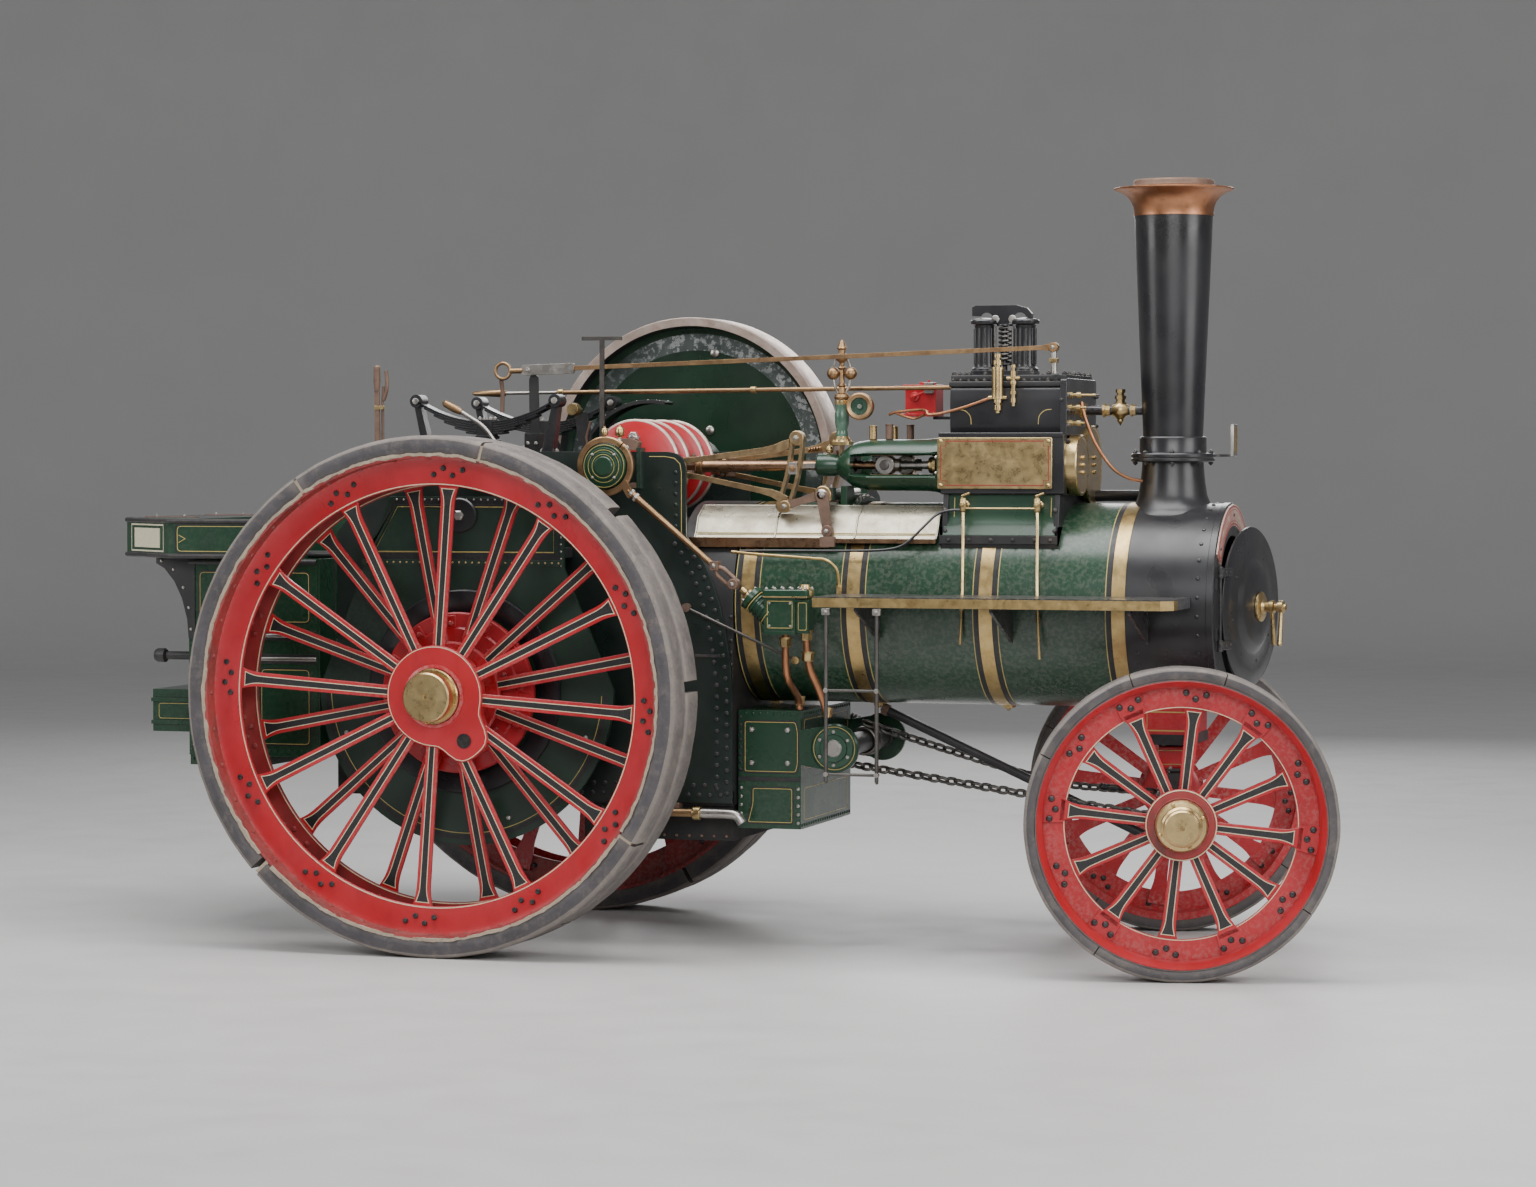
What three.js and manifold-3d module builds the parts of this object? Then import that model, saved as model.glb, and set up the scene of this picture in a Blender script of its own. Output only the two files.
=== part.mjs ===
// Steam traction engine with rubber-shod spoked wheels, in millimetres, +Z up.
// +X is the engine's front, +Y its left side. Heights are above the ground; lengths along the
// engine are measured from the rear axle while building, and the whole engine is then moved so
// that the origin lies on the ground under the middle of its bounding box.
import * as THREE from 'three';
import { mergeVertices } from 'three/addons/utils/BufferGeometryUtils.js';
import Module from 'manifold-3d';

const wasm = await Module();
wasm.setup();

// ---- driving dimensions ----------------------------------------------------------------
const MIDDLE_X = 1005.8;            // middle of the whole length, from the rear axle
const GAP = 0.3;                    // between pieces that touch
const PLAY = 5.5;                   // between pieces that move on each other

const WHEELBASE = 2837;
const STEER = THREE.MathUtils.degToRad(12.6);   // the front wheels stand turned to the left

const REAR = {
  name: 'rear', radius: 1050, rubber: 75, centre: 915, width: 311, axle: 75,
  ringInner: 850, ringDepth: 15, ringFaces: [66, -103], rimThick: 15,
  spokes: 12, spokeTurn: -4, spokeThick: 13, spokeHalf: 29, footHalf: 44, footReach: 70,
  hubFlange: 213, hubBarrel: 125, hubFace: 66, hubBack: -206, hubInner: -113,
  cap: [[113, 31], [100, 92]], segments: 30,
};
const FRONT = {
  name: 'front', radius: 604, rubber: 46, centre: 845, width: 200, axle: 35,
  ringInner: 445, ringDepth: 14, ringFaces: [12], rimThick: 30,
  spokes: 6, spokeTurn: -6.5, spokeThick: 12, spokeHalf: 26, footHalf: 40, footReach: 60,
  hubFlange: 145, hubBarrel: 130, hubFace: 85, hubBack: -50, hubInner: -25,
  cap: [[100, 45], [80, 130]], segments: 24,
};

const DRUM = { r: 330, back: -225, thick: 50 };   // winding drum flange on each rear hub
const BOILER = { z: 1412, r: 414, back: 1090, front: 2695 };
const SMOKEBOX = { front: 3050, wall: 14, plate: 14, opening: 285 };
const DOOR = { r: 320, hinge: [3081, -345], open: 10 };
const FIREBOX = { back: 380, bottom: 587, half: 418, crankPit: 830 };
const HORN = { inner: 430, thick: 14, back: -650, bottom: 600, top: 2035 };
const CRANK = { x: 603, z: 1976, shaft: 40, disc: 195, pin: 36, throw: 120 };
const FLYWHEEL = { r: 640, inner: 480, outer: 690, rim: 38, web: 22 };
const CYLINDER = { back: 1930, front: 2440, half: 310, z: 1980 };
const CHIMNEY = { x: 2820, flange: 2010, tubeTop: 2985, top: 3131 };
const TENDER = { back: -1280, half: 605, plate: 12, floor: 800, tankTop: 1200, sideTop: 1590 };

// ---- finishes ---------------------------------------------------------------------------
const paint = (color, roughness, metalness) =>
  new THREE.MeshStandardMaterial({ color, roughness, metalness });
const GREEN = paint(0x1f4a2c, 0.45, 0);
const BLACK = paint(0x1c1c1f, 0.45, 0);
const RED = paint(0xb0262a, 0.5, 0);
const RUBBER = paint(0x4b4a55, 0.85, 0);
const BRASS = paint(0xb59a5a, 0.35, 1);
const STEEL = paint(0x8e8c88, 0.4, 1);
const BRONZE = paint(0x8f6d47, 0.45, 1);
const COPPER = paint(0x9a5b34, 0.4, 1);
const TIN = paint(0xb9b6a4, 0.45, 1);

// ---- solids -----------------------------------------------------------------------------
function signedVolume(positions, index) {
  const a = new THREE.Vector3();
  const b = new THREE.Vector3();
  const c = new THREE.Vector3();
  let total = 0;
  for (let i = 0; i < index.length; i += 3) {
    a.fromArray(positions, 3 * index[i]);
    b.fromArray(positions, 3 * index[i + 1]);
    c.fromArray(positions, 3 * index[i + 2]);
    total += a.dot(b.cross(c)) / 6;
  }
  return total;
}

// One closed body with merged vertices and its faces pointing out.
function toSolid(geometry) {
  const bare = geometry.index ? geometry.toNonIndexed() : geometry.clone();
  bare.deleteAttribute('normal');
  bare.deleteAttribute('uv');
  const merged = mergeVertices(bare, 1e-3);
  const positions = merged.attributes.position.array;
  const index = Array.from(merged.index.array);
  const kept = [];
  const inward = signedVolume(positions, index) < 0;
  for (let i = 0; i < index.length; i += 3) {
    const [a, b, c] = [index[i], index[i + 1], index[i + 2]];
    if (a === b || b === c || c === a) continue;
    kept.push(a, ...(inward ? [c, b] : [b, c]));
  }
  return new wasm.Manifold(new wasm.Mesh({
    numProp: 3, vertProperties: new Float32Array(positions), triVerts: new Uint32Array(kept),
  }));
}

function toGeometry(solid) {
  const mesh = solid.getMesh();
  const geometry = new THREE.BufferGeometry();
  geometry.setAttribute('position', new THREE.BufferAttribute(new Float32Array(mesh.vertProperties), 3));
  geometry.setIndex(new THREE.BufferAttribute(new Uint32Array(mesh.triVerts), 1));
  geometry.computeVertexNormals();
  return geometry;
}

const join = (pieces) => pieces.map(toSolid).reduce((sum, solid) => sum.add(solid));
const carve = (body, tools) => tools.map(toSolid).reduce((rest, tool) => rest.subtract(tool), body);

// ---- shapes -----------------------------------------------------------------------------
function box(x0, x1, y0, y1, z0, z1) {
  const geometry = new THREE.BoxGeometry(x1 - x0, y1 - y0, z1 - z0);
  return geometry.translate((x0 + x1) / 2, (y0 + y1) / 2, (z0 + z1) / 2);
}

// A round bar between two points.
function bar(from, to, radius, sides = 12, endRadius = radius) {
  const start = new THREE.Vector3(...from);
  const along = new THREE.Vector3(...to).sub(start);
  const geometry = new THREE.CylinderGeometry(endRadius, radius, along.length(), sides);
  geometry.rotateY(Math.PI / sides);
  geometry.translate(0, along.length() / 2, 0);
  const turn = new THREE.Quaternion().setFromUnitVectors(
    new THREE.Vector3(0, 1, 0), along.clone().normalize());
  return geometry.applyQuaternion(turn).translate(...from);
}

// A profile of [radius, distance] pairs turned about an axis: 'x', 'y' or 'z'.
// The facets are tangent to the stated radius, so a round piece stands on a flat of its rim.
function turned(profile, axis, sides) {
  const swell = 1 / Math.cos(Math.PI / sides);
  const points = profile.map(([r, h]) => new THREE.Vector2(r * swell, h));
  const closed = profile[0][0] > 0;
  if (closed) points.push(points[0].clone());
  const geometry = new THREE.LatheGeometry(points, sides, Math.PI / sides);
  if (axis === 'x') geometry.rotateZ(-Math.PI / 2);
  if (axis === 'z') geometry.rotateX(Math.PI / 2);
  return geometry;
}

// A flat outline in the X-Z plane, from y0 to y1.
function plate(outline, y0, y1) {
  const shape = outline instanceof THREE.Shape
    ? outline
    : new THREE.Shape(outline.map(([x, z]) => new THREE.Vector2(x, z)));
  const geometry = new THREE.ExtrudeGeometry(shape, { depth: y1 - y0, bevelEnabled: false, curveSegments: 8 });
  return geometry.rotateX(Math.PI / 2).translate(0, y1, 0);
}

// An outline in the Y-Z plane, from x0 to x1.
function crossPlate(outline, x0, x1) {
  const shape = new THREE.Shape(outline.map(([y, z]) => new THREE.Vector2(y, z)));
  const geometry = new THREE.ExtrudeGeometry(shape, { depth: x1 - x0, bevelEnabled: false });
  return geometry.rotateX(Math.PI / 2).rotateZ(Math.PI / 2).translate(x0, 0, 0);
}

// A round pipe along a smooth route of [x, y, z] points.
function pipe(route, radius, steps = 14, sides = 6) {
  const section = new THREE.Shape();
  for (let i = 0; i < sides; i += 1) {
    const angle = (2 * Math.PI * i) / sides;
    const point = [radius * Math.cos(angle), radius * Math.sin(angle)];
    if (i === 0) section.moveTo(...point);
    else section.lineTo(...point);
  }
  section.closePath();
  const path = new THREE.CatmullRomCurve3(route.map((p) => new THREE.Vector3(...p)));
  return new THREE.ExtrudeGeometry(section, { steps, bevelEnabled: false, extrudePath: path });
}

function arcPoints(cx, cz, radius, fromDeg, toDeg, count) {
  return Array.from({ length: count + 1 }, (_, i) => {
    const angle = THREE.MathUtils.degToRad(fromDeg + ((toDeg - fromDeg) * i) / count);
    return [cx + radius * Math.cos(angle), cz + radius * Math.sin(angle)];
  });
}

// ---- the scene graph --------------------------------------------------------------------
const engine = new THREE.Group();
engine.position.x = -MIDDLE_X;

function add(name, solid, material, parent = engine) {
  const body = solid instanceof THREE.BufferGeometry ? toSolid(solid) : solid;
  const mesh = new THREE.Mesh(toGeometry(body), material.clone());
  mesh.name = name;
  parent.add(mesh);
  return mesh;
}

const SIDES = [['right', -1], ['left', 1]];

// A cylinder about the boiler's axis, for cutting saddles.
const boilerCutter = (radius, x0, x1) =>
  turned([[0, x0], [radius, x0], [radius, x1], [0, x1]], 'x', 32).translate(0, 0, BOILER.z);

// ---- wheels -----------------------------------------------------------------------------
// A wheel is built about its own centre with +Y pointing out of the engine for the left side;
// the right wheel is the same wheel turned half round about Z.
function spoke(spec, angleDeg, y0) {
  const root = spec.hubFlange - 25;
  const foot = spec.ringInner + spec.footReach;
  const neck = spec.ringInner - spec.footHalf * 1.6;
  const outline = [
    [root, -spec.spokeHalf], [neck, -spec.spokeHalf], [foot, -spec.footHalf],
    [foot, spec.footHalf], [neck, spec.spokeHalf], [root, spec.spokeHalf],
  ];
  return plate(outline, y0, y0 + spec.spokeThick)
    .rotateY(-THREE.MathUtils.degToRad(angleDeg));
}

function buildWheel(spec, side, parent) {
  const n = spec.segments;
  const half = spec.width / 2;
  const seat = spec.radius - spec.rubber;
  const bore = spec.axle + PLAY;

  const tread = [[seat, -half], [spec.radius, -half], [spec.radius, half], [seat, half]];
  add(`${spec.name}_tyre_${side}`, turned(tread, 'y', n), RUBBER, parent);

  const rimHalf = half - 5;
  const band = turned([[seat - spec.rimThick, -rimHalf], [seat - GAP, -rimHalf],
    [seat - GAP, rimHalf], [seat - spec.rimThick, rimHalf]], 'y', n);
  const rings = spec.ringFaces.map((face) => turned([[spec.ringInner, face - spec.ringDepth],
    [seat - spec.rimThick + 2, face - spec.ringDepth], [seat - spec.rimThick + 2, face],
    [spec.ringInner, face]], 'y', n));

  const outerFace = spec.ringFaces[0];
  const behind = (face) => face - spec.ringDepth - spec.spokeThick + 1;
  const spokes = [];
  for (let i = 0; i < spec.spokes; i += 1) {
    const angle = spec.spokeTurn + (i * 360) / spec.spokes;
    const between = angle + 180 / spec.spokes;
    if (spec === REAR) {
      spokes.push(spoke(spec, angle, behind(outerFace)));
      spokes.push(spoke(spec, between, behind(spec.ringFaces[1])));
    } else {
      spokes.push(spoke(spec, angle, outerFace - 1));
      spokes.push(spoke(spec, between, behind(outerFace)));
    }
  }
  const collar = (r0, r1, y0, y1) => turned([[r0, y0], [r1, y0], [r1, y1], [r0, y1]], 'y', 16);
  const hub = [
    collar(bore, spec.hubBarrel, spec.hubBack, spec.hubFace),
    collar(spec.hubBarrel - 5, spec.hubFlange, spec.hubFace - 45, spec.hubFace),
    collar(spec.hubBarrel - 5, spec.hubFlange, spec.hubInner - 25, spec.hubInner),
  ];
  if (spec === REAR) hub.push(collar(spec.hubBarrel - 5, DRUM.r, DRUM.back, DRUM.back + DRUM.thick));
  add(`${spec.name}_wheel_${side}`, join([band, ...rings, ...hub, ...spokes]), RED, parent);

  const [[flangeR, flangeY], [capR, capY]] = spec.cap;
  const base = spec.hubFace + GAP;
  const cap = turned([[0, base], [flangeR, base], [flangeR, spec.hubFace + flangeY],
    [capR, spec.hubFace + flangeY], [capR, spec.hubFace + capY], [0, spec.hubFace + capY]], 'y', 14);
  add(`${spec.name}_hub_cap_${side}`, cap, BRASS, parent);
}

function wheelGroup(spec, sign, parent, x) {
  const group = new THREE.Group();
  group.position.set(x, sign * spec.centre, spec.radius);
  if (sign < 0) group.scale.y = -1;
  parent.add(group);
  return group;
}

for (const [side, sign] of SIDES) buildWheel(REAR, side, wheelGroup(REAR, sign, engine, 0));

const rearAxleReach = REAR.centre + REAR.hubFace - PLAY;
add('rear_axle', bar([0, -rearAxleReach, REAR.radius], [0, rearAxleReach, REAR.radius], REAR.axle, 16), STEEL);

// ---- steered front axle -----------------------------------------------------------------
const frontAxle = new THREE.Group();
frontAxle.position.x = WHEELBASE;
frontAxle.rotation.z = STEER;
engine.add(frontAxle);
for (const [side, sign] of SIDES) buildWheel(FRONT, side, wheelGroup(FRONT, sign, frontAxle, 0));

const AXLE = { z: FRONT.radius, beam: 38, beamEnd: 745, reach: FRONT.centre + FRONT.hubFace - PLAY };
const SPRING_TOP = 850;
add('front_axle_beam', join([
  box(-AXLE.beam, AXLE.beam, -AXLE.beamEnd, AXLE.beamEnd, AXLE.z - AXLE.beam, AXLE.z + AXLE.beam),
  bar([0, -AXLE.reach, AXLE.z], [0, AXLE.reach, AXLE.z], FRONT.axle, 12),
  bar([0, 0, 490], [0, 0, AXLE.z], 24, 12),
  box(-60, 60, -630, -560, AXLE.z - 55, AXLE.z + 50),
  box(-60, 60, 560, 630, AXLE.z - 55, AXLE.z + 50),
]), BLACK, frontAxle);
const springFoot = AXLE.z + AXLE.beam + GAP;
const axleLeaves = [[-430, 760], [0, 700 - 20], [430, 760], [430, 775], [250, 790], [120, 808], [-120, 808],
  [-250, 790], [-430, 775]];
add('front_axle_spring', join([
  crossPlate(axleLeaves, -35, 35),
  box(-45, 45, -445, -400, springFoot, 782),
  box(-45, 45, 400, 445, springFoot, 782),
  box(-75, 75, -110, 110, 790, SPRING_TOP),
]), RED, frontAxle);

// ---- boiler, firebox, smokebox ----------------------------------------------------------
add('boiler_barrel', boilerCutter(BOILER.r, BOILER.back + GAP, BOILER.front), GREEN);

const fireboxSection = [
  [-FIREBOX.half, FIREBOX.bottom], [FIREBOX.half, FIREBOX.bottom],
  ...arcPoints(0, BOILER.z, FIREBOX.half, 0, 180, 20),
];
add('firebox', carve(join([
  crossPlate(fireboxSection, FIREBOX.back, BOILER.back),
  box(430, 1080, -400, 400, 440, FIREBOX.bottom + 2),
]), [box(FIREBOX.back - 5, FIREBOX.crankPit, -400, 400, CRANK.z - CRANK.disc - 15, 1900)]), BLACK);

const smokeInner = BOILER.r - SMOKEBOX.wall;
const smokeShell = turned([
  [smokeInner, BOILER.front + GAP], [BOILER.r, BOILER.front + GAP],
  [BOILER.r, SMOKEBOX.front + SMOKEBOX.plate], [SMOKEBOX.opening, SMOKEBOX.front + SMOKEBOX.plate],
  [SMOKEBOX.opening, SMOKEBOX.front], [smokeInner, SMOKEBOX.front]], 'x', 32).translate(0, 0, BOILER.z);
const flueCutter = bar([CHIMNEY.x, 0, BOILER.z], [CHIMNEY.x, 0, BOILER.z + 600], 100, 20);
const perch = carve(toSolid(box(2740, 2930, -170, 170, 862, 1080)), [boilerCutter(BOILER.r - 2, 2600, 3080)]);
add('smokebox', carve(toSolid(smokeShell), [flueCutter]).add(perch), BLACK);

const doorGroup = new THREE.Group();
doorGroup.position.set(DOOR.hinge[0], DOOR.hinge[1], BOILER.z);
doorGroup.rotation.z = -THREE.MathUtils.degToRad(DOOR.open);
engine.add(doorGroup);
const doorCentre = -DOOR.hinge[1];
add('smokebox_door', join([
  turned([[0, -11], [DOOR.r, -11], [DOOR.r, 1], [180, 12], [150, 34], [0, 40]], 'x', 32)
    .translate(0, doorCentre, 0),
  box(-9, 9, -9, 120, 120, 165),
  box(-9, 9, -9, 120, -165, -120),
]), BLACK, doorGroup);
add('door_handles', join([
  turned([[0, 40 + GAP], [58, 40 + GAP], [58, 52], [22, 58], [18, 150], [0, 150]], 'x', 16)
    .translate(0, doorCentre, 0),
  bar([92, doorCentre + 4, 0], [92, doorCentre + 22, -150], 11, 8),
  bar([132, doorCentre - 4, 0], [132, doorCentre - 20, -150], 11, 8),
]), BRASS, doorGroup);

// ---- chimney ----------------------------------------------------------------------------
add('chimney_base', carve(toSolid(turned([
  [108, 1760], [175, 1760], [157, 1800], [140, 1840], [128, 1900], [124, CHIMNEY.flange - 16],
  [169, CHIMNEY.flange - 16], [169, CHIMNEY.flange], [108, CHIMNEY.flange],
], 'z', 16).translate(CHIMNEY.x, 0, 0)), [boilerCutter(BOILER.r + GAP, 2600, 3080)]), BLACK);
const tube = turned([
  [108, CHIMNEY.flange + GAP], [169, CHIMNEY.flange + GAP], [169, CHIMNEY.flange + 18],
  [134, CHIMNEY.flange + 20], [134, 2096], [120, 2098], [158, CHIMNEY.tubeTop],
  [146, CHIMNEY.tubeTop], [108, 2098],
], 'z', 16).translate(CHIMNEY.x, 0, 0);
add('chimney_barrel', join([
  tube,
  box(2980, 3075, -30, 30, CHIMNEY.flange + 4, CHIMNEY.flange + 16),
  box(3063, 3075, -45, 45, CHIMNEY.flange + 4, CHIMNEY.flange + 135),
]), BLACK);
add('chimney_cap', turned([
  [146, CHIMNEY.tubeTop + GAP], [161, CHIMNEY.tubeTop + GAP], [166, 3030], [190, 3070], [240, 3090],
  [240, 3097], [180, 3106], [162, 3110], [162, CHIMNEY.top], [150, CHIMNEY.top],
], 'z', 16).translate(CHIMNEY.x, 0, 0), COPPER);
// ---- cylinders --------------------------------------------------------------------------
const cover = (r, y, face) => turned([[0, CYLINDER.front - 2], [r, CYLINDER.front - 2], [r, face], [0, face]],
  'x', 24).translate(0, y, CYLINDER.z);
add('cylinder_block', carve(join([
  cover(123, -170, 2485),
  cover(163, 142, 2462),
  box(1917, 2390, -CYLINDER.half - 9, -CYLINDER.half + 2, 1884, 2093),
  box(1675, 1822, 20, 150, 2180, 2322),
  box(1800, 1952, 60, 110, 2165, 2182),
  box(CYLINDER.back, CYLINDER.front, -CYLINDER.half, CYLINDER.half + 20, 1850, 2110),
  crossPlate([[-245, 2100], [-245, 2260], [-200, 2345], [220, 2345], [265, 2260], [265, 2100]], 1948, 2436),
  crossPlate([[-345, 1660], [-345, 1700], [-290, 1730], [-290, 1870], [290, 1870], [290, 1730],
    [345, 1700], [345, 1660]], 1935, 2420),
]), [boilerCutter(BOILER.r + GAP, 1800, 2600)]), BLACK);
add('safety_valves', join([
  box(1985, 2257, -55, 55, 2345 + GAP, 2368),
  bar([2035, 0, 2360], [2035, 0, 2583], 46, 12),
  bar([2207, 0, 2360], [2207, 0, 2583], 46, 12),
  plate([[1990, 2575], [2140, 2550], [2250, 2575], [2240, 2625], [2000, 2635]], -14, 14),
]), BLACK);
const pipeReach = CHIMNEY.x - 128;
add('steam_pipe', join([
  bar([2436 + GAP, 0, 2203], [pipeReach, 0, 2203], 21, 10),
  turned([[0, 2565], [34, 2575], [34, 2620], [0, 2630]], 'x', 10).translate(0, 0, 2203),
]), BLACK);

// ---- rods and valve gear ----------------------------------------------------------------
const GUIDE = { y: 165, start: 1390, yoke: 1520, collar: 52, wide: 118 };
const guides = SIDES.map(([, sign]) => turned([[0, GUIDE.start], [GUIDE.collar, GUIDE.start], [GUIDE.collar, 1470],
  [GUIDE.wide, 1600], [GUIDE.wide, CYLINDER.back - GAP], [0, CYLINDER.back - GAP]], 'x', 16)
  .translate(0, sign * GUIDE.y, CYLINDER.z));
add('motion_frame', carve(join([
  ...guides,
  box(1478, 1508, -200, 330, 1700, 1850),
  box(1478, 1508, -165, 165, 1790, CYLINDER.z),
]), [
  box(GUIDE.yoke, CYLINDER.back - 30, -400, 400, CYLINDER.z - 48, CYLINDER.z + 48),
  boilerCutter(BOILER.r + GAP, 1400, 1600),
]), GREEN);
for (const [side, sign] of SIDES) {
  const y = sign * GUIDE.y;
  add(`connecting_rod_${side}`, bar([CRANK.x + CRANK.disc + 12, y, CRANK.z],
    [GUIDE.start - GAP, y, CYLINDER.z], 34, 10, 24), BRONZE);
}
const linkGear = (y) => [
  plate([[812, 1978], [1290, 2052], [1290, 2094], [812, 2018]], y - 20, y),
  plate([[812, 1930], [1290, 1838], [1290, 1868], [812, 1972]], y, y + 20),
  plate([[1262, 1800], [1300, 1800], [1330, 2105], [1285, 2105]], y - 30, y + 40),
];
add('valve_gear', join([
  ...linkGear(-292), ...linkGear(292),
  bar([1435, -345, 1858], [1435, 345, 1858], 24, 10),
  plate([[1280, 1790], [1440, 1835], [1450, 1880], [1290, 1815]], -330, -310),
  plate([[1280, 1790], [1440, 1835], [1450, 1880], [1290, 1815]], 310, 330),
  plate([[1415, 1860], [1450, 1716], [1480, 1716], [1460, 1865]], -345, -325),
]), BRONZE);
const GOVERNOR_X = 1474;
add('governor', join([
  box(GOVERNOR_X - 37, GOVERNOR_X + 43, -205, -125, 2060, 2092),
  bar([GOVERNOR_X, -165, 2085], [GOVERNOR_X, -165, 2300], 22, 10, 16),
  bar([GOVERNOR_X, -165, 2290], [GOVERNOR_X, -165, 2490], 26, 10, 16),
  new THREE.SphereGeometry(26, 10, 8).translate(GOVERNOR_X - 37, -165, 2357),
  new THREE.SphereGeometry(26, 10, 8).translate(GOVERNOR_X + 37, -165, 2357),
  box(GOVERNOR_X - 37, GOVERNOR_X + 37, -172, -158, 2350, 2364),
]), BRASS);
add('splash_tray', join([
  crossPlate([[-352, 1680], [-330, 1700], [-300, 1762], [-215, 1812], [-205, 1806], [-290, 1755],
    [-318, 1695], [-340, 1680]], 895, 1925),
  box(700, 1925, -372, -350, 1644, 1686),
]), TIN);

// ---- crankshaft and flywheel ------------------------------------------------------------
const crankGroup = new THREE.Group();
crankGroup.position.set(CRANK.x, 0, CRANK.z);
engine.add(crankGroup);
const WEB = 34;
const disc = (y) => turned([[0, y - WEB / 2], [CRANK.disc, y - WEB / 2], [CRANK.disc, y + WEB / 2],
  [0, y + WEB / 2]], 'y', 16);
add('crankshaft', join([
  bar([0, -622, 0], [0, -228, 0], CRANK.shaft, 12),
  bar([0, -108, 0], [0, 108, 0], CRANK.shaft, 12),
  bar([0, 228, 0], [0, FLYWHEEL.outer + 20, 0], CRANK.shaft, 12),
  ...[-235, -100, 100, 235].map(disc),
  bar([0, -235, CRANK.throw], [0, -100, CRANK.throw], CRANK.pin, 10),
  bar([CRANK.throw, 100, 0], [CRANK.throw, 235, 0], CRANK.pin, 10),
  turned([[0, -632], [94, -632], [94, -588], [0, -588]], 'y', 20),
]), RED, crankGroup);
const wheelRim = FLYWHEEL.r - FLYWHEEL.rim;
const webMid = (FLYWHEEL.inner + FLYWHEEL.outer) / 2;
add('flywheel', turned([
  [CRANK.shaft + 2, FLYWHEEL.inner], [95, FLYWHEEL.inner], [95, webMid - FLYWHEEL.web / 2],
  [wheelRim, webMid - FLYWHEEL.web / 2], [wheelRim, FLYWHEEL.inner], [FLYWHEEL.r, FLYWHEEL.inner],
  [FLYWHEEL.r, FLYWHEEL.outer], [wheelRim, FLYWHEEL.outer], [wheelRim, webMid + FLYWHEEL.web / 2],
  [95, webMid + FLYWHEEL.web / 2], [95, FLYWHEEL.outer], [CRANK.shaft + 2, FLYWHEEL.outer],
], 'y', 28), GREEN, crankGroup);

// ---- hornplates, bearings, springs ------------------------------------------------------
const hornOutline = new THREE.Shape();
hornOutline.moveTo(HORN.back, HORN.bottom);
hornOutline.lineTo(1088, HORN.bottom);
hornOutline.lineTo(1088, 1080);
hornOutline.quadraticCurveTo(1060, 1500, 892, 1690);
hornOutline.lineTo(892, 1955);
hornOutline.quadraticCurveTo(892, HORN.top, 800, HORN.top);
hornOutline.lineTo(-360, HORN.top);
hornOutline.lineTo(HORN.back, 1700);
const NOTCH = { half: 100, bottom: 1880 };
for (const [side, sign] of SIDES) {
  const y0 = sign < 0 ? -HORN.inner - HORN.thick : HORN.inner;
  const y1 = y0 + HORN.thick;
  const cheek = sign < 0 ? [-462, -405] : [405, 462];
  const pieces = [plate(hornOutline, y0, y1), box(CRANK.x - 100, CRANK.x + 100, ...cheek, 1880, 2085)];
  if (sign < 0) {
    pieces.push(box(517, 537, -444, -430, 2030, 2500), box(441, 613, -444, -430, 2492, 2508));
  }
  add(`hornplate_${side}`, carve(join(pieces), [
    bar([CRANK.x, y0 - 40, CRANK.z], [CRANK.x, y1 + 40, CRANK.z], CRANK.shaft + PLAY, 16),
    bar([0, y0 - 5, REAR.radius], [0, y1 + 5, REAR.radius], REAR.axle + 4, 16),
  ]), GREEN);
  const s0 = sign * 350 - 38;
  const shelf = sign < 0 ? [-429.7, -310] : [310, 429.7];
  const leaves = [[-345, 2262], [-290, 2262], [0, 2175], [265, 2262], [320, 2262], [300, 2225],
    [150, 2140], [40, 2092], [-40, 2092], [-170, 2140], [-325, 2225]];
  add(`rear_spring_${side}`, join([
    plate(leaves, s0, s0 + 76),
    plate([[-330, 2240], [-300, 2240], [-250, 2030], [-290, 2030]], s0 + 8, s0 + 68),
    plate([[275, 2240], [305, 2240], [290, 2030], [235, 2030]], s0 + 8, s0 + 68),
    box(-340, 330, ...shelf, 2000, 2035),
  ]), BLACK);
}
const GUARD_HOLE = 150;
add('gear_guard', carve(join([
  turned([[0, -640], [645, -640], [645, -614], [0, -614]], 'y', 40).translate(0, 0, 1062),
  plate([[-645, 1062], [645, 1062], [430, 1560], [430, 1850], [-330, 1850]], -640, -614),
  turned([[0, -656], [72, -656], [72, -638], [0, -638]], 'y', 16).translate(-17, 0, 1774),
  bar([-17, -620, 1774], [-17, -444.3, 1774], 50, 14),
]), [bar([0, -700, REAR.radius], [0, -600, REAR.radius], GUARD_HOLE, 20)]), GREEN);
add('crank_guard', plate([
  ...arcPoints(520, 1930, 325, 172, 78, 12), ...arcPoints(520, 1930, 317, 78, 172, 12),
], 180, 305), GREEN);

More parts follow.
